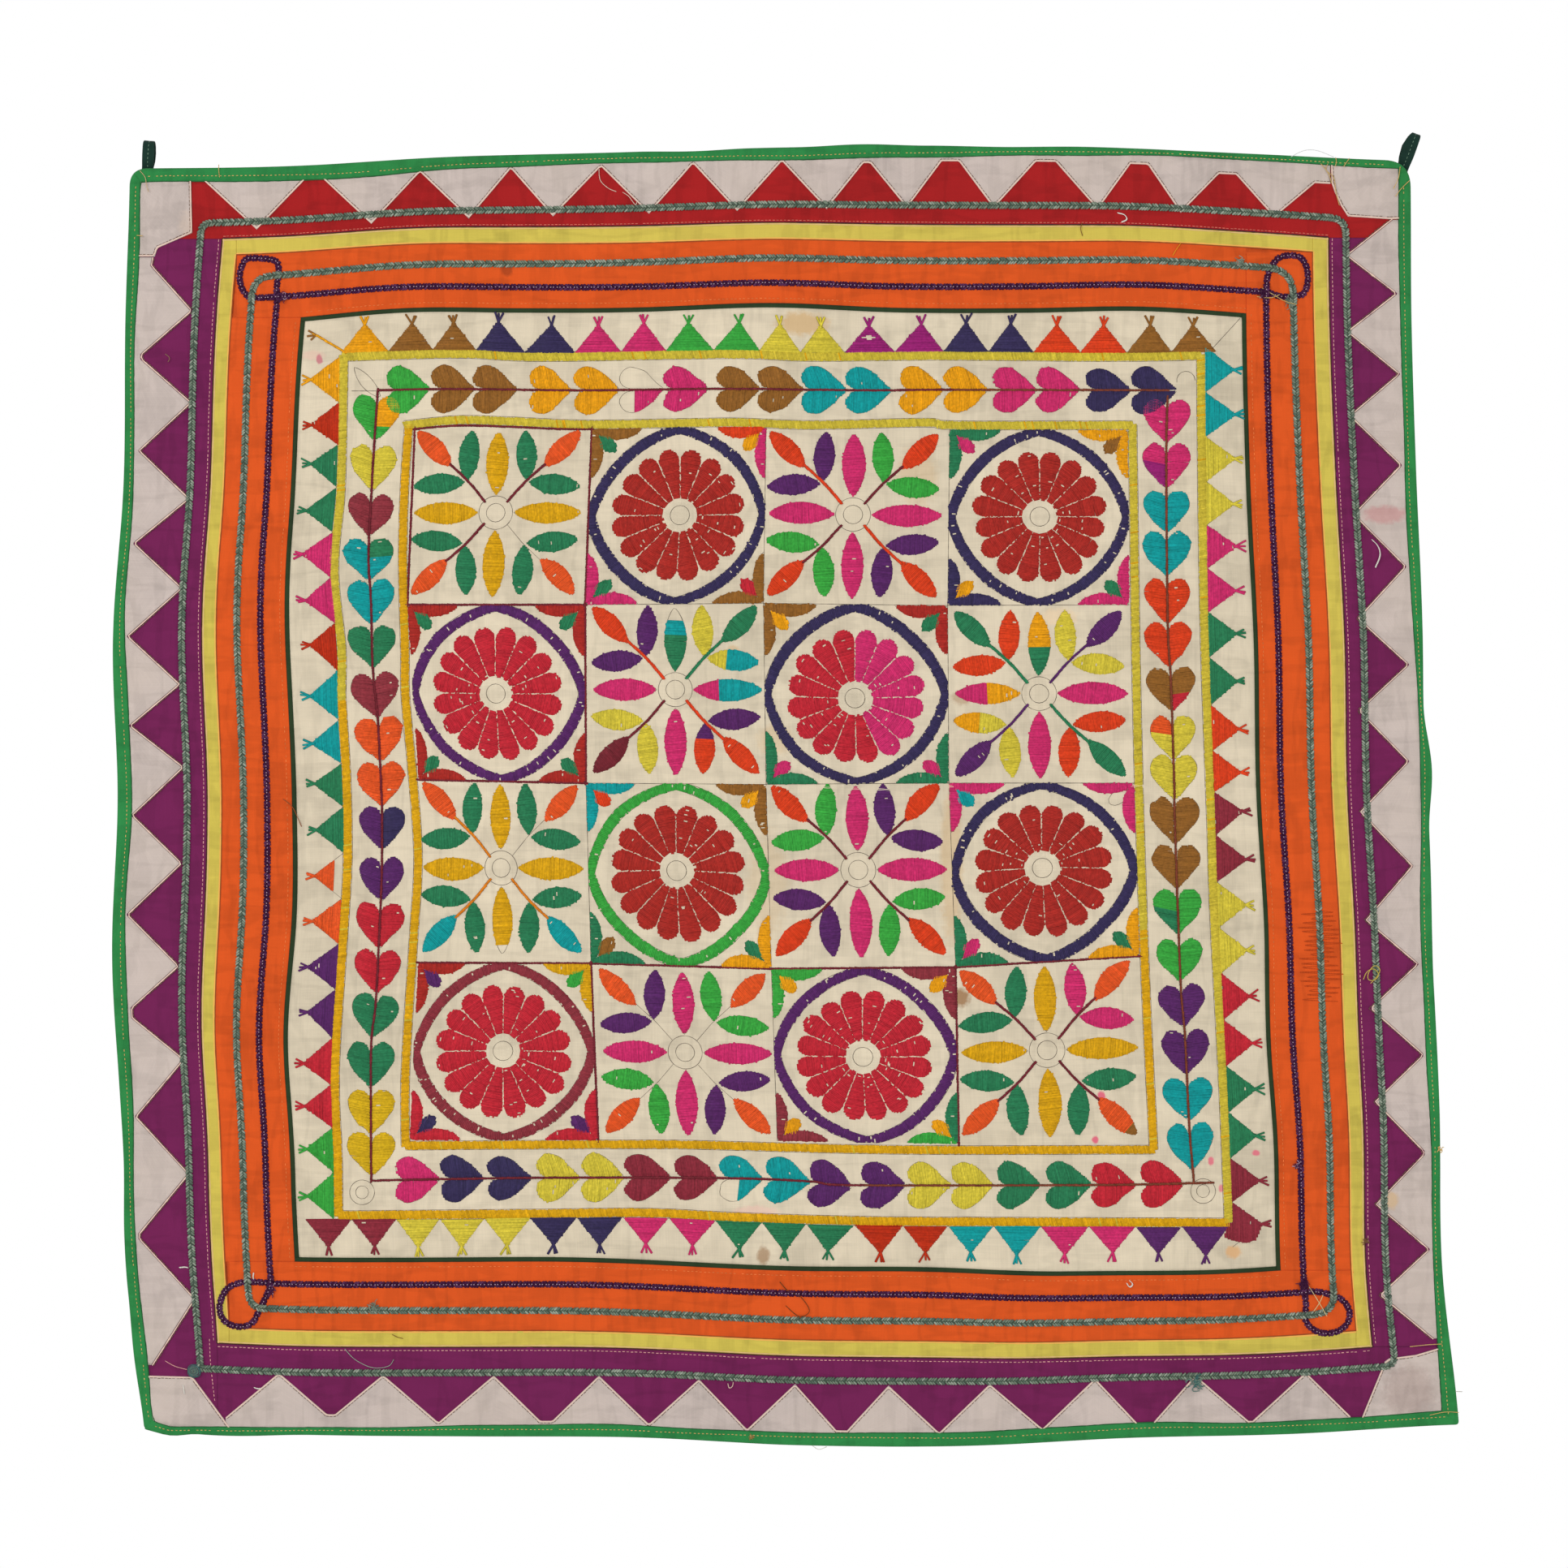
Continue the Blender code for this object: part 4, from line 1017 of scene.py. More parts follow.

# %% [markdown]
# ## Threads laid by Geometry Nodes
#
# A hanging like this holds more than twenty thousand stitches, and every one is a short raised
# thread that dives into the cloth at both ends. One low thread shape is instanced on a point
# for each stitch: the point carries the stitch's direction, length and colour, and the tree
# gives each copy its width, height and a little random swelling. Realizing the instances turns
# them into one plain mesh.
# Each thread shape marks its rims, and the finish paints shade there, where neighbours overlap.

# %% A tree that turns points into threads
def unit_thread(name, rings, sides, rise):
    """A thread 1 long, 1 wide and 1 high along X, its ends sunk and its rims marked for painted shade."""
    verts, faces, rims = [(-0.5, 0, -0.35)], [], [0.5]
    for place, swell in rings:
        for k in range(sides):
            angle = math.pi * k / (sides - 1)
            verts.append((place, -0.5 * swell * math.cos(angle), (rise + math.sin(angle)) * swell - rise))
            rims.append(abs(math.cos(angle)) * 2 - 1)
    verts.append((0.5, 0, -0.35))
    last = len(verts) - 1
    for k in range(sides - 1):
        faces.append((0, 1 + k + 1, 1 + k))
        faces.append((last, last - sides + k, last - sides + k + 1))
    for r in range(len(rings) - 1):
        for k in range(sides - 1):
            a = 1 + r * sides + k
            faces.append((a, a + 1, a + sides + 1, a + sides))
    mesh = bpy.data.meshes.new(name)
    mesh.from_pydata(verts, [], faces)
    mesh.polygons.foreach_set("use_smooth", [True] * len(mesh.polygons))
    mesh.attributes.new("rim", "FLOAT", "POINT").data.foreach_set("value", rims + [0.5])
    if sum(p.normal.z for p in mesh.polygons) < 0:
        mesh.flip_normals()
    return put(name, mesh)


STITCH = unit_thread("stitch_shape", ((-0.475, 0.94), (0.475, 0.94)), 3, 0.1)
STRAND = unit_thread("strand_shape", ((-0.36, 0.7), (0.0, 1.0), (0.36, 0.7)), 3, 0.2)


def thread_tree(name):
    """Points in, threads out. Inputs set the shape, its width and height, and which way is out."""
    tree = bpy.data.node_groups.new(name, "GeometryNodeTree")
    face = tree.interface
    face.new_socket("Geometry", in_out="INPUT", socket_type="NodeSocketGeometry")
    kinds = {"Shape": "Object", "Width": "Float", "Height": "Float", "Out": "Vector", "Finish": "Material",
             "Seed": "Int"}
    for label, kind in kinds.items():
        face.new_socket(label, in_out="INPUT", socket_type=f"NodeSocket{kind}")
    face.new_socket("Geometry", in_out="OUTPUT", socket_type="NodeSocketGeometry")
    add, link = tree.nodes.new, tree.links.new
    entry, result = add("NodeGroupInput"), add("NodeGroupOutput")
    along, length = add("GeometryNodeInputNamedAttribute"), add("GeometryNodeInputNamedAttribute")
    along.data_type, length.data_type = "FLOAT_VECTOR", "FLOAT"
    along.inputs["Name"].default_value, length.inputs["Name"].default_value = "along", "length"
    turn = add("FunctionNodeAxesToRotation")
    turn.primary_axis, turn.secondary_axis = "X", "Z"
    link(along.outputs[0], turn.inputs[0])
    link(entry.outputs["Out"], turn.inputs[1])
    swell = add("FunctionNodeRandomValue")
    swell.inputs[2].default_value, swell.inputs[3].default_value = 0.88, 1.14
    link(entry.outputs["Seed"], swell.inputs["Seed"])
    wide, high = add("ShaderNodeMath"), add("ShaderNodeMath")
    wide.operation = high.operation = "MULTIPLY"
    link(entry.outputs["Width"], wide.inputs[0])
    link(swell.outputs[1], wide.inputs[1])
    link(entry.outputs["Height"], high.inputs[0])
    link(swell.outputs[1], high.inputs[1])
    size = add("ShaderNodeCombineXYZ")
    link(length.outputs[0], size.inputs[0])
    link(wide.outputs[0], size.inputs[1])
    link(high.outputs[0], size.inputs[2])
    shape = add("GeometryNodeObjectInfo")
    link(entry.outputs["Shape"], shape.inputs[0])
    place = add("GeometryNodeInstanceOnPoints")
    link(entry.outputs["Geometry"], place.inputs["Points"])
    link(shape.outputs["Geometry"], place.inputs["Instance"])
    link(turn.outputs[0], place.inputs["Rotation"])
    link(size.outputs[0], place.inputs["Scale"])
    real, paint = add("GeometryNodeRealizeInstances"), add("GeometryNodeSetMaterial")
    link(place.outputs[0], real.inputs[0])
    link(real.outputs[0], paint.inputs[0])
    link(entry.outputs["Finish"], paint.inputs["Material"])
    link(paint.outputs[0], result.inputs[0])
    return tree


THREADS = thread_tree("threads on points")


def sew(name, starts, ends, colours, finish, shape=STITCH, width=1.2, height=0.5, out=(0, -1, 0), seed=3):
    """One mesh of threads from their end points in metres; width and height are in mm."""
    starts, ends = np.asarray(starts), np.asarray(ends)
    middles, ways = (starts + ends) / 2, ends - starts
    mesh = bpy.data.meshes.new(name)
    mesh.from_pydata(middles.tolist(), [], [])
    along = mesh.attributes.new("along", "FLOAT_VECTOR", "POINT")
    along.data.foreach_set("vector", ways.astype(np.float32).ravel())
    length = mesh.attributes.new("length", "FLOAT", "POINT")
    length.data.foreach_set("value", np.linalg.norm(ways, axis=1).astype(np.float32))
    dye = mesh.attributes.new("dye", "FLOAT_COLOR", "POINT")
    full = np.concatenate([np.asarray(colours), np.ones((len(middles), 1))], axis=1)
    dye.data.foreach_set("color", full.astype(np.float32).ravel())
    points = put(name + "_points", mesh)
    worker = points.modifiers.new("threads", "NODES")
    worker.node_group = THREADS
    values = {"Shape": shape, "Width": width * MM, "Height": height * MM, "Out": out, "Finish": finish,
              "Seed": seed}
    for item in THREADS.interface.items_tree:
        if item.name in values:
            worker[item.identifier] = values[item.name]
    ready = points.evaluated_get(bpy.context.evaluated_depsgraph_get())
    plain = bpy.data.meshes.new_from_object(ready)
    plain.name = name
    for extra in ("along", "length"):
        if extra in plain.attributes:
            plain.attributes.remove(plain.attributes[extra])
    made = put(name, plain)
    bpy.data.objects.remove(points)
    if not plain.materials:
        plain.materials.append(finish)
    print(name, len(middles), "threads,", len(plain.polygons), "faces")
    return made


# %% Thread finish
def thread_finish(name, rough=0.5, vary=0.10, groove_shade=0.5, speckled=0.0):
    """Twisted cotton or floss: its own dye, streaked along its twist, painted darker at its rims as shade,
    with a soft shine.
    """
    graph = Graph(name)
    dye = graph.node("ShaderNodeAttribute", {"attribute_name": "dye"})
    place = graph.node("ShaderNodeTexCoord", None, out=3)
    streak = graph.noise(place, 1400.0, 2.0, 0.6)
    slow = graph.noise(place, 60.0, 2.0, 0.5)
    speckle = graph.noise(place, 480.0, 2.0, 0.6)
    rim = graph.node("ShaderNodeAttribute", {"attribute_name": "rim"}, out=2)
    # Painted shade: darker towards the rims, where neighbouring threads overlap.
    shaded = 1.0 - ((rim - 0.06) * 2.4).clamp() * groove_shade
    level = (1.0 + (streak - 0.5) * vary * 3 + (slow - 0.5) * vary + (speckle - 0.5) * speckled) * shaded
    shade = graph.node("ShaderNodeCombineColor", None, level, level, level)
    graph.feed("Base Color", graph.mix(1.0, dye, shade, "MULTIPLY"))
    graph.feed("Normal", graph.node("ShaderNodeBump", None, Strength=0.3, Distance=0.0002, Height=streak))
    graph.feed("Roughness", rough)
    graph.feed("Specular IOR Level", 0.09)
    return graph.material


FLOSS = thread_finish("embroidery_floss", speckled=0.9)
SEWING = thread_finish("sewing_cotton", rough=0.8, groove_shade=0.1)
BRAIDING = thread_finish("braiding_yarn", rough=0.85, vary=0.25, groove_shade=0.42)

# %% [markdown]
# ## Braids sewn down
#
# Two grey-green braids and a purple chain braid run round the cloth and are caught down all the
# way, so none of them is a free cord. Each route is a smooth closed curve through its own
# course, and the purple one crosses itself in a loop at every corner. A braid is a flat core
# with short slanted strands in two rows that lean against each other, which is how a plait
# reads from above. Where one braid rides on another it climbs in a low hump.

# %% Routes of the braids
BRAIDS = {
    "outer_braid": {"width": 5.2, "height": 1.5, "bends": (8, 12, 8, 3), "under": 1.75},
    "inner_braid": {"width": 5.2, "height": 1.5, "bends": (14, 20, 16, 11), "under": 1.25},
    "purple_braid": {"width": 4.6, "height": 1.5, "under": 1.25},
}
CLIMB = 1.75         # how high one braid rides where it crosses another
# The purple loops, as steps in x and z from the crossing, in the order the braid takes them.
PURPLE_LOOPS = {
    "top_right": ((12.5, -3.5), (24, -2.5), (28.5, -1), (31.5, 7), (31, 18), (26.5, 26), (19, 28),
                  (10.5, 26.5), (5, 21), (1, 11.5)),
    "bottom_right": ((1, -10), (1, -22.5), (10.5, -30.5), (23, -30.5), (32, -24.5), (34, -15), (28.5, -6),
                     (16, -1), (5, 0.5)),
    "bottom_left": ((-11, 1), (-23, 0.5), (-33, -4), (-38, -13), (-38.5, -22), (-34, -29.5), (-24, -33),
                    (-14, -30), (-8.5, -20), (-3, -9)),
    "top_left": ((-0.5, 6), (1, 23), (-3, 28), (-17.5, 29.5), (-24.5, 28), (-28.5, 17.5), (-27, 7),
                 (-21.5, 0), (-13.5, -0.5)),
}


def clockwise_line(course, side):
    line = course_line(course, side, 6.0)
    return line if side in ("top", "right") else line[::-1]


def soft_runs(p0, p1, p2, p3):
    """Eight places on the soft curve from each p1 to its p2, bent by the points either side."""
    t = np.linspace(0, 1, 9)[:-1][None, :, None]
    p0, p1, p2, p3 = (p[:, None] for p in (p0, p1, p2, p3))
    curve = 0.5 * (2 * p1 + (p2 - p0) * t + (2 * p0 - 5 * p1 + 4 * p2 - p3) * t**2
                   + (3 * p1 - p0 - 3 * p2 + p3) * t**3)
    return curve.reshape(-1, 2)


def smooth_closed(points, step=1.0):
    """A closed soft curve through points, resampled at even steps."""
    points = np.asarray(points, float)
    before, after, beyond = (np.roll(points, k, axis=0) for k in (1, -1, -2))
    return even(soft_runs(before, points, after, beyond), step, closed=True)


def even(curve, step, closed=False):
    """A polyline resampled at even steps."""
    curve = np.asarray(curve, float)
    if closed:
        curve = np.concatenate([curve, curve[:1]])
    total = run_along(curve)[-1]
    made = points_at(curve, np.linspace(0, total, max(2, round(total / step) + 1)))
    return made[:-1] if closed else made


def ring_route(course, bends):
    """A closed route round the cloth, with a soft bend at each corner."""
    route = []
    for i, side in enumerate(CLOCKWISE):
        line = clockwise_line(course, side)
        far_start = np.linalg.norm(line - line[0], axis=1) > bends[i]
        far_end = np.linalg.norm(line - line[-1], axis=1) > bends[(i + 1) % 4]
        route += list(line[far_start & far_end])
        corner, following = line[-1], clockwise_line(course, CLOCKWISE[(i + 1) % 4])
        radius = bends[(i + 1) % 4]
        start = corner + (line[-2] - corner) / np.linalg.norm(line[-2] - corner) * radius
        end = corner + (following[1] - corner) / np.linalg.norm(following[1] - corner) * radius
        for t in (0.0, 0.25, 0.5, 0.75, 1.0):
            route.append((1 - t) ** 2 * start + 2 * t * (1 - t) * corner + t**2 * end)
    return smooth_closed(route)


def purple_route():
    """The purple braid's closed route, and how high each point is lifted where it crosses itself."""
    route, crossings = [], []
    for i, side in enumerate(CLOCKWISE):
        line = clockwise_line("purple_braid", side)
        inside = (np.linalg.norm(line - line[0], axis=1) > 7) & (np.linalg.norm(line - line[-1], axis=1) > 7)
        route += list(line[inside])
        crossing = line[-1]
        crossings.append(crossing)
        route.append(crossing)
        loop = [crossing + np.array(step) for step in PURPLE_LOOPS[SIDES_NEXT[side]]]
        route += loop
        route.append(crossing)
    curve = smooth_closed(route)
    lifts = np.zeros(len(curve))
    for crossing in crossings:
        away = np.linalg.norm(curve - crossing, axis=1)
        near = np.nonzero(away < 12)[0]
        groups = np.split(near, np.nonzero(np.diff(near) > 3)[0] + 1)
        second = groups[-1] if len(groups) > 1 else near
        lifts[second] = CLIMB * np.exp(-(away[second] / 5.5) ** 4)
    return curve, lifts


SIDES_NEXT = {"top": "top_right", "right": "bottom_right", "bottom": "bottom_left", "left": "top_left"}


def lifts_over(route, other, other_lifts):
    """How high a route climbs where it crosses another braid."""
    lifts = np.zeros(len(route))
    for start in range(0, len(route), 200):
        part = route[start:start + 200]
        gaps = np.linalg.norm(part[:, None] - other[None], axis=2)
        nearest = gaps.argmin(axis=1)
        away = gaps.min(axis=1)
        lifts[start:start + 200] = (CLIMB + other_lifts[nearest]) * np.exp(-(away / 4.2) ** 4)
    return lifts


routes = {"outer_braid": (ring_route("outer_braid", BRAIDS["outer_braid"]["bends"]), None)}
purple_curve, purple_lifts = purple_route()
routes["purple_braid"] = (purple_curve, purple_lifts)
inner_curve = ring_route("inner_braid", BRAIDS["inner_braid"]["bends"])
routes["inner_braid"] = (inner_curve, lifts_over(inner_curve, purple_curve, purple_lifts))
for name, (route, _) in routes.items():
    print(name, "is", round(len(route) / 1000, 2), "m round")


# %% Cores and strands
def normals_of(route, closed=True):
    """Unit tangents of a route and the directions to its left."""
    if closed:
        way = np.roll(route, -1, axis=0) - np.roll(route, 1, axis=0)
    else:
        way = np.gradient(route, axis=0)
    way = way / np.linalg.norm(way, axis=1)[:, None]
    return way, np.stack([-way[:, 1], way[:, 0]], axis=1)


def braid_heights(name, route, lifts):
    lifts = np.zeros(len(route)) if lifts is None else lifts
    smoothed = sum(np.roll(lifts, k) for k in range(-2, 3)) / 5
    return BRAIDS[name]["under"] + smoothed


def braid_core(name, route, heights, colour):
    """The flat core of a braid: a closed tube with an oval section."""
    _, left = normals_of(route)
    width, tall = BRAIDS[name]["width"] * 0.74, BRAIDS[name]["height"] * 0.66
    route, heights, left = route[::4], heights[::4], left[::4]
    angles = np.linspace(0, 2 * np.pi, 7)[:-1]
    points = route[:, None] + left[:, None] * (np.cos(angles) * width / 2)[None, :, None]
    centre = seat(route, heights + tall / 2)
    places = np.empty((*points.shape[:2], 3))
    places[..., 0], places[..., 2] = points[..., 0] * MM, points[..., 1] * MM
    places[..., 1] = centre[:, 1][:, None] - (np.sin(angles) * tall / 2 * MM)[None]
    rows, columns = points.shape[:2]
    index = np.arange(rows * columns).reshape(rows, columns)
    below, right = np.roll(index, -1, axis=0), np.roll(index, -1, axis=1)
    diagonal = np.roll(below, -1, axis=1)
    faces = np.stack([index, right, diagonal, below], axis=-1).reshape(-1, 4)
    mesh = bpy.data.meshes.new(name + "_core")
    mesh.from_pydata(places.reshape(-1, 3).tolist(), [], faces.tolist())
    mesh.polygons.foreach_set("use_smooth", [True] * len(mesh.polygons))
    dye = mesh.attributes.new("dye", "FLOAT_COLOR", "POINT")
    dye.data.foreach_set("color", np.tile([*colour, 1], rows * columns).astype(np.float32))
    mesh.materials.append(BRAIDING)
    mesh.update()
    centre_out = sum(p.normal.y * (p.center.y - float(centre[:, 1].mean())) for p in mesh.polygons)
    if centre_out < 0:
        mesh.flip_normals()
    return put(name + "_core", mesh)


def braid_strands(name, route, heights, pitch, slant, colours):
    """Slanted strands in two rows along a braid, as starts, ends and colours."""
    sizes = BRAIDS[name]
    way, left = normals_of(route)
    starts, ends, dyes = [], [], []
    total = len(route)
    for row in (-1, 1):
        spots = (np.arange(0, total - pitch / 2, pitch) + (0 if row < 0 else pitch / 2))
        spots = spots + chance.normal(0, pitch * 0.06, len(spots))
        i = np.round(spots).astype(int) % total
        half = sizes["width"] * 0.33
        inner = route[i] + left[i] * row * (sizes["width"] * 0.02) + way[i] * half * slant
        outer = route[i] + left[i] * row * sizes["width"] * 0.53 - way[i] * half * slant
        low = heights[i]
        starts.append(seat(inner, low + sizes["height"] * 0.60))
        ends.append(seat(outer, low + sizes["height"] * 0.12))
        dyes.append(np.array(colours)[chance.integers(0, len(colours), len(i))])
    return np.concatenate(starts), np.concatenate(ends), np.concatenate(dyes)


def join_to(main, *others):
    """Joins other meshes into the first object's mesh."""
    with bpy.context.temp_override(active_object=main, selected_editable_objects=[main, *others]):
        bpy.ops.object.join()
    return main


GREYS = [srgb(*c) for c in ((120, 134, 118), (110, 124, 110), (98, 114, 102), (138, 150, 136),
                            (114, 128, 112),
                            (88, 104, 92), (122, 134, 118), (150, 160, 146))]
PURPLES = [srgb(*c) for c in ((72, 34, 66), (60, 22, 56), (86, 46, 84), (64, 26, 64))]
LILAC = srgb(172, 142, 162)


def lay_braid(name, colours, core, pitch, slant):
    route, lifts = routes[name]
    heights = braid_heights(name, route, lifts)
    starts, ends, dyes = braid_strands(name, route, heights, pitch, slant, colours)
    plait = sew(f"{name}_plait", starts, ends, dyes, BRAIDING, STRAND, width=pitch * 0.86, height=0.8, seed=5)
    return join_to(plait, braid_core(name, route, heights, core)), route, heights


for name in ("outer_braid", "inner_braid"):
    plait, _, _ = lay_braid(name, GREYS, srgb(64, 78, 66), 2.3, 0.85)
    register(plait, [name])

plait, route, heights = lay_braid("purple_braid", PURPLES, srgb(44, 12, 36), 2.4, 0.9)
way, left = normals_of(route)
spots = np.arange(1, len(route) - 2, 2.6).astype(int)
running = sew("purple_braid_line", seat(route[spots] - way[spots] * 0.5, heights[spots] + 1.35),
              seat(route[spots] + way[spots] * 0.5, heights[spots] + 1.35),
              np.tile(LILAC, (len(spots), 1)), BRAIDING, STITCH, width=0.85, height=0.45)
register(join_to(plait, running), ["purple_braid"])

# %% [markdown]
# ## Hanging loops
#
# Each loop is a short dark green tape, folded in two with its ends sewn behind the binding.
# The tape follows a rounded hairpin in its own depth, and leans as the cloth's weight pulls it.

# %% Loops
LOOPS = {
    "loop_left": {"foot": (-483.5, -15.6), "lean": 4.5, "height": 21.5, "start": 1.2,
                  "swell": (1.0, 1.02, 1.05, 1.0, 0.96), "sway": (0, 0.2, 0.1, -0.2, -0.3)},
    "loop_right": {"foot": (471.5, -14.8), "lean": 20.5, "height": 28.0, "start": 3.0,
                   "swell": (1.0, 1.16, 1.24, 1.0, 0.74), "sway": (0, -0.5, -0.9, -0.1, 0.7)},
}
LOOP_STAGES = (0, 0.3, 0.6, 0.88, 1)     # shares of the height where swell and sway are given
TAPE_WIDE = 8.6


def lay_loop(name):
    sizes = LOOPS[name]
    middle, reach, top = 3.35, 4.5, sizes["height"] - 5.2
    profile = [(2.4, -13), (2.4, sizes["start"] - 3), (2.1, sizes["start"]),
               (middle - reach, sizes["start"] + 6)]
    for i in range(9):
        angle = math.pi * i / 8
        profile.append((middle - reach * math.cos(angle), top + reach * math.sin(angle)))
    profile += [(middle + reach, sizes["start"] + 6), (4.1, sizes["start"] + 0.5),
                (3.9, sizes["start"] - 3), (3.9, -13)]
    line = even(smooth_open(np.array(profile)), 0.8)
    way, outward = normals_of(line, closed=False)
    lean = math.radians(sizes["lean"])
    up, across = np.array([math.sin(lean), math.cos(lean)]), np.array([math.cos(lean), -math.sin(lean)])
    foot = np.array(sizes["foot"])
    behind = -float(relief(*foot))
    shares = np.array([-1, -0.93, -0.75, -0.12, 0.0, 0.12, 0.75, 0.93, 1.0]) * TAPE_WIDE / 2
    swell = np.array([0.30, 0.5, 0.55, 0.5, 0.36, 0.5, 0.55, 0.5, 0.30])
    faces_out, faces_in = [], []
    for thick, store in ((1, faces_out), (-1, faces_in)):
        depth = line[:, 0][None] + outward[:, 0][None] * swell[:, None] * thick
        rise = line[:, 1][None] + outward[:, 1][None] * swell[:, None] * thick
        upward = np.clip(rise / sizes["height"], 0, 1)
        wide = np.interp(upward, LOOP_STAGES, sizes["swell"]) * shares[:, None]
        aside = np.interp(upward, LOOP_STAGES, sizes["sway"])
        flat = foot + up * rise[..., None] + across * (wide + aside)[..., None]
        store.append(np.stack([flat[..., 0], behind + depth, flat[..., 1]], axis=-1) * MM)
    made = grid_sheet(f"{name}_tape", np.zeros((*faces_out[0].shape[:2], 2)) + line[None, :, :],
                      np.zeros(faces_out[0].shape[:2]), FINISH["dark_green"])
    places = np.concatenate([faces_out[0].reshape(-1, 3), faces_in[0].reshape(-1, 3)])
    made.data.vertices.foreach_set("co", places.ravel())
    u = run_along(line) * MM
    flat = np.stack(np.meshgrid(u, shares * MM), axis=-1).reshape(-1, 2)
    set_flat(made.data, np.concatenate([flat, flat]))
    made.data.update()
    turn_outwards(made)
    spots = np.arange(2, len(line) - 3, 4)
    ends = [foot + up * line[spots + k, 1][:, None] + outward[spots + k, 1][:, None] * up * 0.4
            for k in (0, 2)]
    deep = [behind + line[spots + k, 0] + outward[spots + k, 0] * 0.4 for k in (0, 2)]
    a, b = (np.stack([e[:, 0], d, e[:, 1]], axis=1) * MM for e, d in zip(ends, deep))
    return made, a, b, len(line) * 0.8 * MM


def smooth_open(points):
    """A soft curve through points, from the first to the last."""
    points = np.concatenate([points[:1], points, points[-1:]])
    runs = soft_runs(*(points[k:len(points) - 3 + k] for k in range(4)))
    return np.concatenate([runs, points[-1:]])


def turn_outwards(made):
    """Flips a closed mesh whose faces point inwards."""
    mesh = made.data
    mesh.calc_loop_triangles()
    corners = np.empty(len(mesh.vertices) * 3)
    mesh.vertices.foreach_get("co", corners)
    corners = corners.reshape(-1, 3)
    triangles = np.empty(len(mesh.loop_triangles) * 3, dtype=np.int32)
    mesh.loop_triangles.foreach_get("vertices", triangles)
    a, b, c = (corners[triangles.reshape(-1, 3)[:, k]] for k in range(3))
    volume = float(np.einsum("ij,ij->i", a, np.cross(b, c)).sum())
    if volume < 0:
        mesh.flip_normals()


for name in LOOPS:
    tape, line_starts, line_ends, length = lay_loop(name)
    register(tape, [name], flat=(0.01, length))
    dyes = np.tile(srgb(120, 150, 128), (len(line_starts), 1))
    seam = sew(f"{name}_stitches", line_starts, line_ends, dyes, SEWING, width=0.5, height=0.4)
    register(seam, [])

# %% [markdown]
# ## Embroidery
#
# All the ornament is satin stitch in soft floss: each motif was first drawn on the cloth in ink,
# and then filled with threads laid side by side across it. The stitches start and end a little
# unevenly, neighbours differ slightly in colour, and the ink shows where a motif was left
# unfilled. A motif here is an outline with a direction for its stitches, and one function fills
# it. The stems are a rope of short overlapping stitches.

# %% Floss colours and helpers
FLOSS_COLOURS = {
    "gold": (211, 159, 16), "olive": (199, 179, 56), "orange-yellow": (225, 154, 16),
    "yellow": (206, 189, 60), "orange": (222, 84, 34), "orange-red": (212, 62, 26),
    "dark green": (40, 120, 80), "bright green": (56, 160, 62), "turquoise": (12, 150, 152),
    "pink": (200, 44, 104), "magenta": (150, 32, 112), "navy": (54, 46, 84), "purple": (86, 38, 98),
    "maroon": (138, 50, 60), "wine": (136, 43, 57), "crimson": (188, 38, 52), "red": (166, 42, 35),
    "brown": (141, 93, 38), "stem": (112, 36, 46), "golden orange": (214, 122, 24), "rust": (122, 60, 42),
    "brick red": (182, 46, 18), "corn": (208, 170, 26),
}
DYES = {name: srgb(*value) for name, value in FLOSS_COLOURS.items()}
PITCH = 1.2          # from one stitch to the next
FLOSS_WIDE, FLOSS_HIGH = 1.7, 0.5
INK = srgb(74, 64, 54)


def broken(starts, ends, share):
    """Catches some long stitches down on their way, leaving a sliver of cloth between their halves."""
    run = ends - starts
    length = np.linalg.norm(run, axis=1)
    caught = (chance.uniform(size=len(starts)) < share) & (length > 4.2)
    middle = chance.uniform(0.2, 0.8, caught.sum())
    half = chance.uniform(0.7, 1.5, caught.sum()) / length[caught]
    left, right = (middle - half)[:, None], (middle + half)[:, None]
    first_ends = ends.copy()
    first_ends[caught] = starts[caught] + run[caught] * left
    return (np.concatenate([starts, starts[caught] + run[caught] * right]),
            np.concatenate([first_ends, ends[caught]]))


def cleared(starts, ends):
    """How far each stitch must rise to pass over a ridge of the cloth between its ends."""
    steps = np.array([0.25, 0.5, 0.75])[:, None]
    first, last = relief(*starts.T), relief(*ends.T)
    between = relief(*np.moveaxis(starts + (ends - starts) * steps[..., None], -1, 0))
    return np.maximum(0, (between - first - (last - first) * steps).max(axis=0))


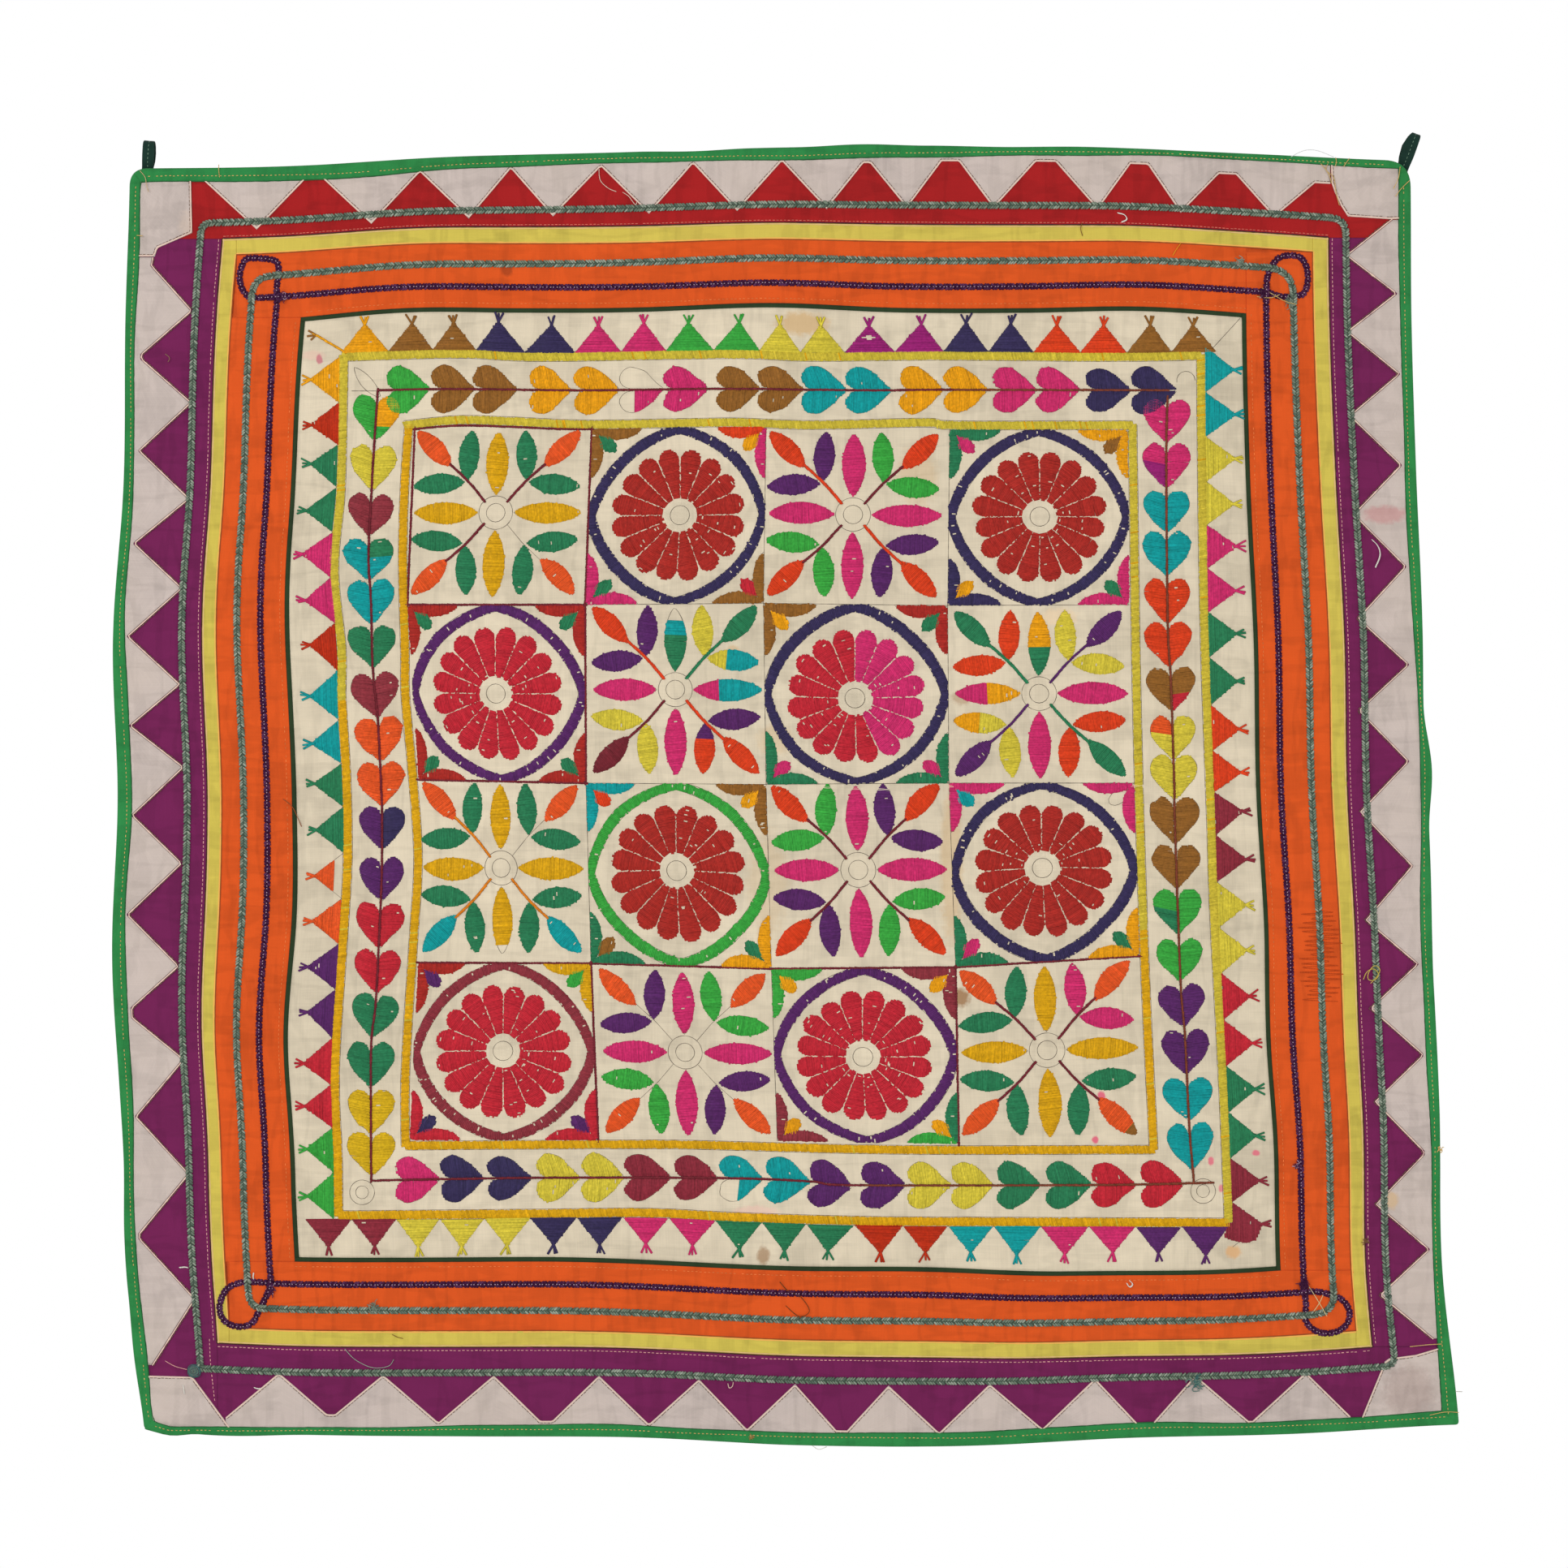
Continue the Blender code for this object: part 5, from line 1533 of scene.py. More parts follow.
class Needlework:
    """Stitches gathered for one mesh, in mm on the cloth's plane."""

    def __init__(self):
        self.starts, self.ends, self.dyes, self.backs = [], [], [], []

    def lay(self, starts, ends, colour, lift=0.0, vary=0.06, gaps=0.0):
        """Adds stitches in one colour, each a little lighter or darker than the next."""
        if len(starts) == 0:
            return
        starts, ends = np.asarray(starts, float), np.asarray(ends, float)
        if gaps:
            starts, ends = broken(starts, ends, gaps)
        tone = 1 + chance.normal(0, vary, len(starts))[:, None]
        slow = 1 + 0.03 * np.sin(np.arange(len(starts)) * 0.8 + chance.uniform(0, 6))[:, None]
        level = LAYER + lift + cleared(starts, ends)
        self.starts.append(seat(starts, level))
        self.ends.append(seat(ends, level))
        self.dyes.append(np.clip(np.array(DYES[colour])[None] * tone * slow, 0, 1))
        if lift < 0.2 and len(starts) > 3:
            self.backs.append((ends[:-1:3], ends[1::3][:len(ends[:-1:3])], DYES[colour]))

    def fill(self, outline, way, colours, pitch=PITCH, lift=0.0, reach=0.12, gaps=0.02):
        """Fills an outline with stitches; colours are a name, or (share of the way across, name) pairs."""
        outline, way = np.asarray(outline, float), np.asarray(way, float)
        way = way / np.linalg.norm(way)
        side = np.array([-way[1], way[0]])
        across, along = outline @ side, outline @ way
        low, high = across.min(), across.max()
        rows = np.arange(low + pitch * 0.4, high - pitch * 0.2, pitch)
        if isinstance(colours, str):
            colours = ((1.0, colours),)
        if len(rows) == 0:
            return
        level = rows[:, None] + chance.normal(0, 0.05, len(rows))[:, None]
        a0, a1 = across[None], np.roll(across, -1)[None]
        b0, b1 = along[None], np.roll(along, -1)[None]
        crossed = (a0 <= level) != (a1 <= level)
        run = (level - a0) / np.where(np.abs(a1 - a0) < 1e-9, 1e-9, a1 - a0)
        meets = np.sort(np.where(crossed, b0 + run * (b1 - b0), 1e9), axis=1)
        for k in (0, 2):
            if meets.shape[1] < k + 2:
                break
            good = (meets[:, k + 1] < 1e8) & (meets[:, k + 1] - meets[:, k] > 0.7)
            first = meets[good, k] - reach - np.abs(chance.normal(0, 0.42, good.sum()))
            last = meets[good, k + 1] + reach + np.abs(chance.normal(0, 0.42, good.sum()))
            tilt = chance.normal(0, 0.10, good.sum())
            place = level[good, 0]
            starts = first[:, None] * way + (place - tilt)[:, None] * side
            ends = last[:, None] * way + (place + tilt)[:, None] * side
            share = (place - low) / (high - low)
            before = -1.0
            for limit, colour in colours:
                chosen = (share > before) & (share <= limit)
                before = limit
                if colour:
                    self.lay(starts[chosen], ends[chosen], colour, lift, gaps=gaps)

    def rope(self, line, colour, pitch=2.1, length=3.6, lift=0.28, lean=0.22):
        """A stem: short stitches overlapping along a line, each leaning across it."""
        line = even(line, pitch)
        way, left = normals_of(line, closed=False)
        wobble = left * chance.normal(0, 0.08, len(line))[:, None]
        starts = line - way * length / 2 + left * lean + wobble
        ends = line + way * length / 2 - left * lean + wobble
        self.lay(starts, ends, colour, lift, 0.10)

    def sewn(self, name):
        return sew(name, np.concatenate(self.starts), np.concatenate(self.ends), np.concatenate(self.dyes),
                   FLOSS, STITCH, FLOSS_WIDE, FLOSS_HIGH)


class Drawing:
    """Ink lines gathered for one flat mesh."""

    def __init__(self):
        self.places, self.faces, self.count = [], [], 0

    def line(self, points, width=0.38, height=0.05, closed=False, step=2.8):
        points = np.asarray(points, float)
        if closed:
            points = np.concatenate([points, points[:1]])
        points = even(points, step)
        _, left = normals_of(points, closed=False)
        swell = width / 2 * (1 + chance.normal(0, 0.18, len(points)))[:, None]
        pair = np.stack([points - left * swell, points + left * swell], axis=1).reshape(-1, 2)
        self.places.append(seat(pair, LAYER + height))
        k = self.count + 2 * np.arange(len(points) - 1)
        self.faces.append(np.stack([k, k + 1, k + 3, k + 2], axis=1))
        self.count += len(pair)

    def made(self, name, colour):
        places, faces = np.concatenate(self.places), np.concatenate(self.faces)
        mesh = bpy.data.meshes.new(name)
        mesh.from_pydata(places.tolist(), [], faces.tolist())
        if mesh.polygons[0].normal.y > 0:
            mesh.flip_normals()
        mesh.materials.append(flat_colour_finish(name + "_ink", colour))
        made = put(name, mesh)
        print(name, len(faces), "faces")
        return made


# A flat colour, for ink lines and for strips of painted highlight and painted shadow.
def flat_colour_finish(name, colour):
    graph = Graph(name)
    graph.feed("Base Color", (*colour, 1.0))
    graph.feed("Roughness", 0.9)
    return graph.material


def soft_line(places, step=1.0):
    """A smooth line through given points."""
    return even(smooth_open(np.asarray(places, float)), step)


ink = Drawing()

# %% [markdown]
# ### The two satin bands and the stems
#
# Two bands of satin stitch frame the work: olive yellow at the top and upper right, changing to
# gold where the first skein ran out. Between them runs a stem with hearts on it.

# %% Bands
# Each band's centre line, as points in x and z.
OUTER_BAND = {
    "top": ((-334, -159), (-247, -156.5), (-183, -159), (-42, -157), (20, -159), (123, -158), (250, -159),
            (317.5, -158)),
    "right": ((317.5, -158), (319.5, -344.5), (325, -504.5), (327.5, -585), (334.5, -720.5),
              (338.5, -816.5)),
    "bottom": ((-338, -811.5), (-197, -810.5), (-106, -809.5), (-40, -812.5), (50, -815.5), (140, -816.5),
               (338.5, -817)),
    "left": ((-334, -158), (-336, -258), (-341, -319.5), (-335.5, -381.5), (-335.5, -418.5), (-332, -480),
             (-331, -541.5), (-334.5, -603.5), (-340.5, -702), (-338.5, -764), (-338, -811.5)),
}
INNER_BAND = {
    "top": ((-288, -211), (-247, -207), (-207, -208), (-146, -210.5), (-42, -209), (20, -211),
            (108, -209), (132, -211), (265.5, -211)),
    "right": ((265.5, -211), (268.5, -412), (274.5, -616), (281.5, -761.5)),
    "bottom": ((-287, -758.5), (-106, -757.5), (-40, -758.5), (50, -761), (140.5, -762), (281.5, -761.5)),
    "left": ((-284.5, -211), (-285.5, -224), (-288, -264), (-289, -319.5), (-287.5, -381.5),
             (-287, -418.5), (-281.5, -480), (-277.5, -541.5), (-281, -603.5), (-287, -702),
             (-287, -758.5)),
}
# How far down each upright band changes from olive to gold.
GOLD_BELOW = {
    ("outer", "left"): -420, ("outer", "right"): -900, ("inner", "left"): -100, ("inner", "right"): -595,
}
bands_work = Needlework()
band_lines = {}


def lay_band_stitches(kind, table, width):
    for side, places in table.items():
        line = soft_line(places, PITCH * 0.97)
        band_lines[kind, side] = soft_line(places)
        way, left = normals_of(line, closed=False)
        slant = 0.28 if side in ("top", "bottom") else 0.16
        half = width / 2 + chance.normal(0, 0.16, (2, len(line)))
        starts = line + left * half[0][:, None] - way * slant * half[0][:, None]
        ends = line - left * half[1][:, None] + way * slant * half[1][:, None]
        gold = np.full(len(line), side == "bottom") | (line[:, 1] < GOLD_BELOW.get((kind, side), -1e9))
        mixed = chance.uniform(size=len(line)) < 0.02
        for chosen, colour in ((gold ^ mixed, "gold"), (~(gold ^ mixed), "olive")):
            bands_work.lay(starts[chosen], ends[chosen], colour, vary=0.08)
        for edge in (1, -1):
            ink.line(line + left * edge * (width / 2 + 0.35), width=0.3)


lay_band_stitches("outer", OUTER_BAND, 6.5)
lay_band_stitches("inner", INNER_BAND, 6.2)

# %% [markdown]
# ### Hearts
#
# A heart is two lobes either side of the stem. In each lobe the stitches run from the stem to
# the edge, square to it on one side and slanted on the other. A few hearts changed colour half
# way, where a thread ran out, and a few were never finished.

# %% Hearts
LOBE = ((0.24, 0.03), (0.12, 0.12), (0.04, 0.28), (0, 0.5), (0.03, 0.72), (0.12, 0.9), (0.26, 1.0),
        (0.42, 0.95), (0.58, 0.78), (0.74, 0.52), (0.88, 0.25), (1.0, 0.03))
HEART_LONG, HEART_WIDE = 33.0, 35.0


def one_by_one(table):
    """From rows of a colour and its places to rows of a place and its colour."""
    return {side: [(place, colour) for colour, *places in row for place in places]
            for side, row in table.items()}


# Each colour in turn, with the middles of its hearts along their side.
HEARTS = one_by_one({
    "top": (("bright green", -285), ("brown", -251, -219), ("orange-yellow", -177, -142),
            ("pink", -108, -74), ("brown", -34, -2), ("turquoise", 31, 65), ("orange-yellow", 105, 139),
            ("pink", 176, 208.5), ("navy", 247, 281.5)),
    "right": (("pink", -207.5, -242), ("turquoise", -276.5, -308.5), ("orange-red", -344.5, -377.5),
              ("brown", -412), ("yellow", -448.5, -479), ("brown", -511.5, -546.5),
              ("bright green", -581, -617.5), ("purple", -652, -687.5), ("turquoise", -723, -759)),
    "bottom": (("pink", -277.5), ("navy", -243.5, -207.5), ("yellow", -171, -137), ("wine", -102.5, -66),
               ("turquoise", -31.5, 3), ("purple", 36, 75.5), ("yellow", 110.5, 144),
               ("dark green", 179, 216.5), ("crimson", 251, 287.5)),
    "left": (("bright green", -205.5), ("yellow", -243), ("maroon", -279), ("turquoise", -313, -345),
             ("dark green", -379), ("maroon", -416), ("orange", -450.5, -484.5),
             ("purple", -517.5, -556.5), ("crimson", -591.5, -626.5), ("dark green", -660, -697),
             ("corn", -732.5, -764.5)),
})
# Lobes that differ: (side, place, lobe) and shares down the heart; lobe 0 is the upper or left one.
ODD_LOBES = {
    ("left", -205.5, 1): ((0.72, "orange-yellow"), (1, "bright green")),
    ("left", -313, 1): ((0.42, "dark green"), (1, "turquoise")),
    ("left", -517.5, 1): ((1, "navy"),),
    ("top", -108, 0): ((1, None),),
    ("top", -108, 1): ((0.35, None), (1, "pink")),
    ("right", -242, 0): ((0.45, "pink"), (1, "magenta")),
    ("right", -412, 1): ((0.6, "brown"), (1, "crimson")),
    ("right", -448.5, 0): ((0.4, "orange"), (1, "yellow")),
    ("right", -581, 0): ((0.45, "bright green"), (1, "dark green")),
    ("bottom", -31.5, 1): ((0.45, None), (1, "turquoise")),
}
STEMS = {
    "top": ((-307, -184.5), (-250, -183.5), (-150, -184.5), (-50, -183.5), (60, -184.5), (130, -184),
            (292, -184.5)),
    "right": ((292, -190), (291, -240.5), (292, -359), (294.5, -406), (297, -477), (297.5, -509),
              (299, -556), (302, -638.5), (305, -674), (308.5, -744.5), (312, -786)),
    "bottom": ((-311, -785), (-190, -783), (-46, -783), (20, -785.5), (55, -788.5), (234, -788.5),
               (326, -786.5)),
    "left": ((-308, -184.5), (-311, -229), (-313.5, -276), (-315, -311.5), (-313, -347), (-312, -394),
             (-308.5, -429.5), (-306.5, -465), (-305, -503), (-305, -544), (-306, -579.5), (-309.5, -650),
             (-313, -685.5), (-313, -785)),
}
STEM_COLOURS = {"top": ("stem", "rust", 130), "right": ("rust", "rust", 0), "bottom": ("stem", "rust", 60),
                "left": ("stem", "stem", 0)}
hearts_work, stems_work = Needlework(), Needlework()


def lay_heart(side, place, colour):
    line = soft_line(STEMS[side])
    along = 0 if side in ("top", "bottom") else 1
    at = line[np.abs(line[:, along] - place).argmin()]
    ahead = line[np.abs(line[:, along] - place - (12 if along == 0 else -12)).argmin()]
    behind = line[np.abs(line[:, along] - place + (12 if along == 0 else -12)).argmin()]
    axis = (ahead - behind) / np.linalg.norm(ahead - behind)
    long, wide = (HEART_LONG, HEART_WIDE) * (1 + chance.normal(0, 0.025, 2))
    for lobe, hand in enumerate((1, -1)):
        out = np.array([-axis[1], axis[0]]) * hand
        if along == 1:
            out = -out
        shape = smooth_open(np.array(LOBE) + chance.normal(0, 0.012, (len(LOBE), 2)))[::3]
        outline = at + (shape[:, :1] - 0.5) * long * axis + shape[:, 1:] * wide / 2 * out
        outline = np.concatenate([outline, outline[:1] * 0.02 + outline[-1:] * 0.98])
        ink.line(outline[:-1] + out * 0.25, width=0.32)
        slant = chance.uniform(0.0, 0.12) if lobe else chance.uniform(0.12, 0.3)
        way = out - axis * slant
        colours = ODD_LOBES.get((side, place, lobe), ((1, colour),))
        if np.dot((-way[1], way[0]), axis) < 0:
            way = -way
        hearts_work.fill(outline, way, colours, lift=0.15 if side == "top" else 0.0)


for side, row in HEARTS.items():
    for place, colour in row:
        lay_heart(side, place, colour)
    early, late, change = STEM_COLOURS[side]
    line = soft_line(STEMS[side])
    first = line[:, 0] < change if side in ("top", "bottom") else np.ones(len(line), bool)
    stems_work.rope(line[first], early, lift=0.5)
    if (~first).any():
        stems_work.rope(line[~first], late, lift=0.5, length=3.2)

# %% [markdown]
# ### Triangles
#
# A row of triangles stands on the outer band, their bases touching. The stitches run with the
# band and shorten to a point, where the last few threads are left crossing as a small tuft.

# %% Triangles
TRIANGLES = one_by_one({
    "top": (("orange-yellow", -318), ("brown", -282, -250.5), ("navy", -216.5, -176),
            ("pink", -140.5, -106), ("bright green", -72, -33.5), ("yellow", -2.5, 28.5),
            ("magenta", 65, 105), ("navy", 139, 173), ("orange-red", 208, 243.5), ("brown", 279, 311.5)),
    "right": (("turquoise", -169, -203), ("yellow", -236.5, -271), ("pink", -303, -337),
              ("dark green", -369.5, -405.5), ("orange-red", -442, -475), ("wine", -504.5, -541),
              ("yellow", -575.5, -610), ("crimson", -645, -680.5), ("dark green", -715.5, -751),
              ("wine", -785, -818)),
    "bottom": (("wine", -345.5, -310.5), ("yellow", -277.5, -244.5, -210), ("navy", -174.5, -139.5),
               ("pink", -104.5, -69), ("dark green", -33.5, 1, 34), ("brick red", 74, 108),
               ("turquoise", 142.5, 177.5), ("pink", 214, 250.5), ("purple", 285, 321)),
    "left": (("orange-yellow", -176.5), ("brick red", -211), ("dark green", -240.5, -276),
             ("pink", -309, -344.5), ("brick red", -378), ("turquoise", -417, -453),
             ("dark green", -483.5, -518.5), ("orange", -553.5, -588), ("purple", -622.5, -657),
             ("crimson", -696, -728.5), ("bright green", -761, -797)),
})
# The last one on the right was worked to a rounded foot, past its drawn line. One on the left was
# left short of the band, and one at the top has a gap in its middle.
ROUNDED_TRIANGLE = ((359.5, -829.5), (352.5, -832.5), (344, -831.5), (335.5, -828), (337, -818),
                    (341.5, -817))
SHORT_TRIANGLE = ("left", -553.5)
GAPPED_TRIANGLE = ("top", 65)
HALF_BASE = 17.5     # of the first and the last triangle of a row
BASE_OUT = 3.0       # the bases stand this far out from the band's centre line
TRIANGLE_HIGH = 21.9
triangles_work = Needlework()


def lay_triangles(side, row):
    line = band_lines["outer", side]
    along = 0 if side in ("top", "bottom") else 1
    outward = SIDES[side]["outward"] * np.eye(2)[1 - along]
    places = [p for p, _ in row]
    way_on = np.sign(places[-1] - places[0])
    order = line[:, along].argsort()

    def on_band(place):
        across = np.interp(place, line[order, along], line[order, 1 - along])
        spot = np.array([place, across]) if along == 0 else np.array([across, place])
        return spot + outward * BASE_OUT

    for k, (place, colour) in enumerate(row):
        before, after = place - way_on * HALF_BASE, place + way_on * HALF_BASE
        if k:
            before = (place + places[k - 1]) / 2
        if k + 1 < len(row):
            after = (place + places[k + 1]) / 2
        a, b = on_band(before), on_band(after)
        high = TRIANGLE_HIGH + chance.normal(0, 0.8)
        tip = on_band(place) + outward * high
        base = b - a
        colours = ((1, colour),)
        shape = (a, b, tip)
        if side == "right" and k == len(row) - 1:
            shape = np.concatenate([(a, tip), ROUNDED_TRIANGLE])
        if (side, place) == SHORT_TRIANGLE:
            colours = ((0.69, colour), (1, None))
        if (side, place) == GAPPED_TRIANGLE:
            gap = tip - outward * 9.5
            above, below = gap + outward * 1.9, gap - outward * 1.9
            shape = (a, b, tip, above, gap + (6.5, 0), below, gap - (6.5, 0), above, tip)
        triangles_work.fill(shape, base, colours)
        ink.line((a, tip, b), width=0.3)
        way = base / np.linalg.norm(base)
        for lean in (-0.55, 0.0, 0.5):
            lean, far = lean + chance.normal(0, 0.12), chance.uniform(5.2, 7.2)
            start = tip - outward * 3.0 - way * lean * 1.6
            end = tip + outward * far + way * lean * far
            triangles_work.lay([start], [end], colour, lift=chance.uniform(0.2, 0.5))


for side, row in TRIANGLES.items():
    lay_triangles(side, row)
triangles_work.rope(((-334, -155), (-344, -149), (-356, -142)), "orange-yellow", length=5.0)
for tip in ((-361, -139), (-362, -143.5), (-359, -146.5)):
    triangles_work.lay([(-355, -142.5)], [tip], "brown", lift=0.3)

# %% [markdown]
# ### Panels
#
# The centre is four by four panels, eight with a star of leaves and eight with a round flower in
# a ring. None is quite square, so each motif is drawn in its own square and stretched into the
# panel's four corners. In the flowers the petals are filled across, and slivers of cloth show
# where a stitch was caught down on its way.

# %% Lattice of the panels
LATTICE = (
    ((-280, -213.5), (-145.5, -213.5), (-13, -212), (126.5, -214), (262, -214.5)),
    ((-285.5, -347.5), (-150.5, -347.5), (-15, -346.5), (125, -348), (263, -347.5)),
    ((-277.5, -480.5), (-150, -483), (-13, -484), (126, -483), (267, -483)),
    ((-277.5, -619.5), (-146, -620), (-9, -624), (131, -623), (271, -614.5)),
    ((-284, -754.5), (-140.5, -754.5), (-4.5, -755), (133.5, -757.5), (277.5, -757.5)),
)
CENTRES = (
    ((-218.5, -277.5), (-78.5, -279.5), (53, -279), (195, -280.5)),
    ((-218.5, -415), (-82, -412), (54.5, -418.5), (194.5, -415)),
    ((-214.5, -547.5), (-81, -549.5), (57, -549), (197, -547.5)),
    ((-213, -686.5), (-74.5, -687.5), (60.5, -691), (200.5, -686)),
)
HALF_PANEL = 67.0
nodes = np.array(LATTICE)


def panel_place(row, column, edges_held=True):
    """A function from a motif's own square, in mm from its middle, to the cloth."""
    top_left, top_right = nodes[row, column], nodes[row, column + 1]
    low_left, low_right = nodes[row + 1, column], nodes[row + 1, column + 1]
    middle = (top_left + top_right + low_left + low_right) / 4
    shift = np.array(CENTRES[row][column]) - middle

    def place(points):
        points = np.asarray(points, float)
        u, v = points[..., :1] / HALF_PANEL, points[..., 1:] / HALF_PANEL
        spot = ((1 - u) * (1 + v) * top_left + (1 + u) * (1 + v) * top_right
                + (1 - u) * (1 - v) * low_left + (1 + u) * (1 - v) * low_right) / 4
        far = np.clip(np.maximum(np.abs(u), np.abs(v)), 0, 1)
        return spot + shift * (1 - far**2 if edges_held else 1)

    return place


def leaf_outline(foot, tip, width, full=0.85):
    """A leaf from foot to tip: two curves meeting at a point."""
    foot, tip = np.array(foot, float), np.array(tip, float)
    axis = tip - foot
    side = np.array([-axis[1], axis[0]]) / np.linalg.norm(axis)
    t = np.linspace(0, 1, 15)
    half = width / 2 * (4 * t * (1 - t)) ** full
    bend = chance.normal(0, 0.5) * np.sin(np.pi * t)
    spine = foot + axis * t[:, None] + side * bend[:, None]
    return np.concatenate([spine + side * half[:, None], (spine - side * half[:, None])[-2:0:-1]])


def circle(radius, count=28, middle=(0, 0)):
    angles = np.linspace(0, 2 * np.pi, count + 1)[:-1]
    return np.stack([np.cos(angles), np.sin(angles)], axis=1) * radius + np.array(middle)


def lay_leaf(work, place, foot, tip, width, colours):
    outline = place(leaf_outline(foot, tip, width))
    axis = place(tip) - place(foot)
    way = np.array([axis[1], -axis[0]]) + axis * chance.normal(0, 0.05)
    ink.line(outline, closed=True, width=0.34)
    work.fill(outline, way, colours)


# %% Leaf stars
QUARTERS = {"north_west": (-1, 1), "north_east": (1, 1), "south_west": (-1, -1), "south_east": (1, -1)}
AXIAL = {"north": ((0, 13.8), (0, 61.5)), "east": ((13.8, 0), (65, 0)), "south": ((0, -13.8), (0, -64)),
         "west": ((-13.8, 0), (-61.5, 0))}
# The leaves of one quarter: foot, tip and width.
QUARTER_LEAVES = (("corner", (35.5, 35.5), (61.5, 62), 14.4), ("upright", (22.5, 25), (20, 62.7), 15.2),
                  ("level", (24.5, 23.3), (63, 20), 15.2))
STAR_RINGS = (7.1, 12.8)


def star(axial, sides, corners, stems, **changes):
    """One star's colours: a name for all its leaves of a kind, or changes by leaf."""
    plan = dict.fromkeys(AXIAL, axial)
    for i, quarter in enumerate(QUARTERS):
        side, corner, stem = (pick(given, i) for given in (sides, corners, stems))
        plan[quarter] = {"upright": side, "level": side, "corner": corner, "stem": stem}
    for key, value in changes.items():
        quarter, _, leaf = key.partition("__")
        if leaf:
            plan[quarter][leaf] = value
        else:
            plan[key] = value
    return plan


def pick(value, i):
    return value if isinstance(value, (str, type(None))) else value[i]


# Four values in a row are for north-west, north-east, south-west and south-east.
STARS = {
    (0, 0): star("gold", "dark green", "orange", "stem", south_east__stem=None),
    (0, 2): star("pink", ("purple", "bright green", "bright green", "purple"), "orange-red",
                 ("orange-red", "stem", "stem", "orange-red")),
    (1, 1): star("pink", ("purple", "yellow", "yellow", "purple"),
                 ("orange-red", "dark green", "stem", "orange-red"),
                 ("orange-red", "dark green", "stem", "orange-red"),
                 north=((0.57, "dark green"), (0.8, "turquoise"), (1, None)),
                 east=((0.36, "pink"), (1, "turquoise")),
                 north_east__level=((0.35, "yellow"), (1, "turquoise")),
                 south_east__upright=((0.3, "purple"), (1, "orange-red"))),
    (1, 3): star("pink", ("orange-red", "yellow", "yellow", "orange-red"),
                 ("dark green", "purple", "purple", "dark green"),
                 ("dark green", "purple", "purple", "dark green"),
                 north=((0.45, "dark green"), (1, "orange-yellow")),
                 west=((0.5, "orange-yellow"), (1, "pink")),
                 south_west__level=((0.5, "yellow"), (1, "orange-yellow"))),
    (2, 0): star("gold", "dark green", ("orange", "orange", "turquoise", "turquoise"),
                 ("golden orange", None, "golden orange", "golden orange"),
                 south=((0.86, "gold"), (1, None))),
    (2, 2): star("pink", ("bright green", "purple", "purple", "bright green"), "orange-red", "stem"),
    (3, 1): star("pink", ("purple", "bright green", "bright green", "purple"), "orange", None),
    (3, 3): star("gold", ("dark green", "pink", "dark green", "dark green"), "orange", "stem",
                 south_east__corner=((0.8, "orange"), (1, "brown"))),
}


def lay_star(work, place, plan):
    for leaf, (foot, tip) in AXIAL.items():
        lay_leaf(work, place, foot, tip, 16.0 + chance.normal(0, 0.4), plan[leaf])
    for quarter, (right, up) in QUARTERS.items():
        colours, turned = plan[quarter], np.array([right, up])
        for leaf, foot, tip, width in QUARTER_LEAVES:
            lay_leaf(work, place, np.array(foot) * turned, np.array(tip) * turned, width, colours[leaf])
        stem = place(np.array([(9.2, 9.2), (21, 23), (35, 36)]) * turned)
        if colours["stem"]:
            thick = 0.4 if colours["stem"] in ("orange-red", "dark green") else 0.15
            for beside in (-thick, thick):
                work.rope(soft_line(stem + np.array([beside, 0])), colours["stem"], lift=0.35)
        else:
            ink.line(stem, width=0.3)
    for radius in STAR_RINGS:
        ink.line(place(circle(radius)), closed=True)


# %% Round flowers in rings
# Each corner has two half leaves, along the level edge and down the upright one, and a small leaf.
FLOWERS = {
    (0, 1): ("navy", "red", (("brown", "brown", "dark green"), ("orange-red", "pink", "orange-yellow"),
                             ("pink", "pink", "dark green"), ("brown", "brown", "crimson"))),
    (0, 3): ("navy", "red", (("dark green", "dark green", "pink"),
                             ("orange-yellow", "orange-yellow", "brown"),
                             ("navy", "navy", "orange-yellow"), ("pink", "pink", "dark green"))),
    (1, 0): ("purple", "crimson", (("red", "red", "dark green"),) * 4),
    (1, 2): ("navy", ("crimson", "pink"), (("brown", "brown", "orange-yellow"), ("red", "red", "dark green"),
                                          ("dark green", "dark green", "pink"),
                                          ("dark green", "dark green", "pink"))),
    (2, 1): ("bright green", "red", (("turquoise", "turquoise", "orange-red"),
                                     ("brown", "brown", "orange-yellow"),
                                     ("dark green", "dark green", "brown"),
                                     ("orange-yellow", "orange-yellow", "dark green"))),
    (2, 3): ("navy", "red", (("pink", "pink", "turquoise"), ("pink", "pink", None),
                             ("dark green", "dark green", "pink"),
                             ("orange-yellow", "orange-yellow", "dark green"))),
    (3, 0): ("maroon", "crimson", (("red", "red", "purple"), ("gold", "gold", "bright green"),
                                   ("crimson", "crimson", "navy"), ("crimson", "crimson", "purple"))),
    (3, 2): ("purple", "crimson", (("bright green", "bright green", "orange-yellow"),
                                   ("maroon", "maroon", "orange-yellow"),
                                   ("maroon", "maroon", "orange-yellow"),
                                   ("bright green", "dark green", "orange-yellow"))),
}
PETALS = 16
FLOWER_EYE = 7.4
# The ring round a flower, from and to this far from its middle; it bends outwards to its corners.
RING_INNER, RING_OUTER = 56.0, 64.2
KITE = ((61.5, 61.5), (52.3, 60), (48.5, 54), (49, 49), (54, 48.5), (60, 52.3))


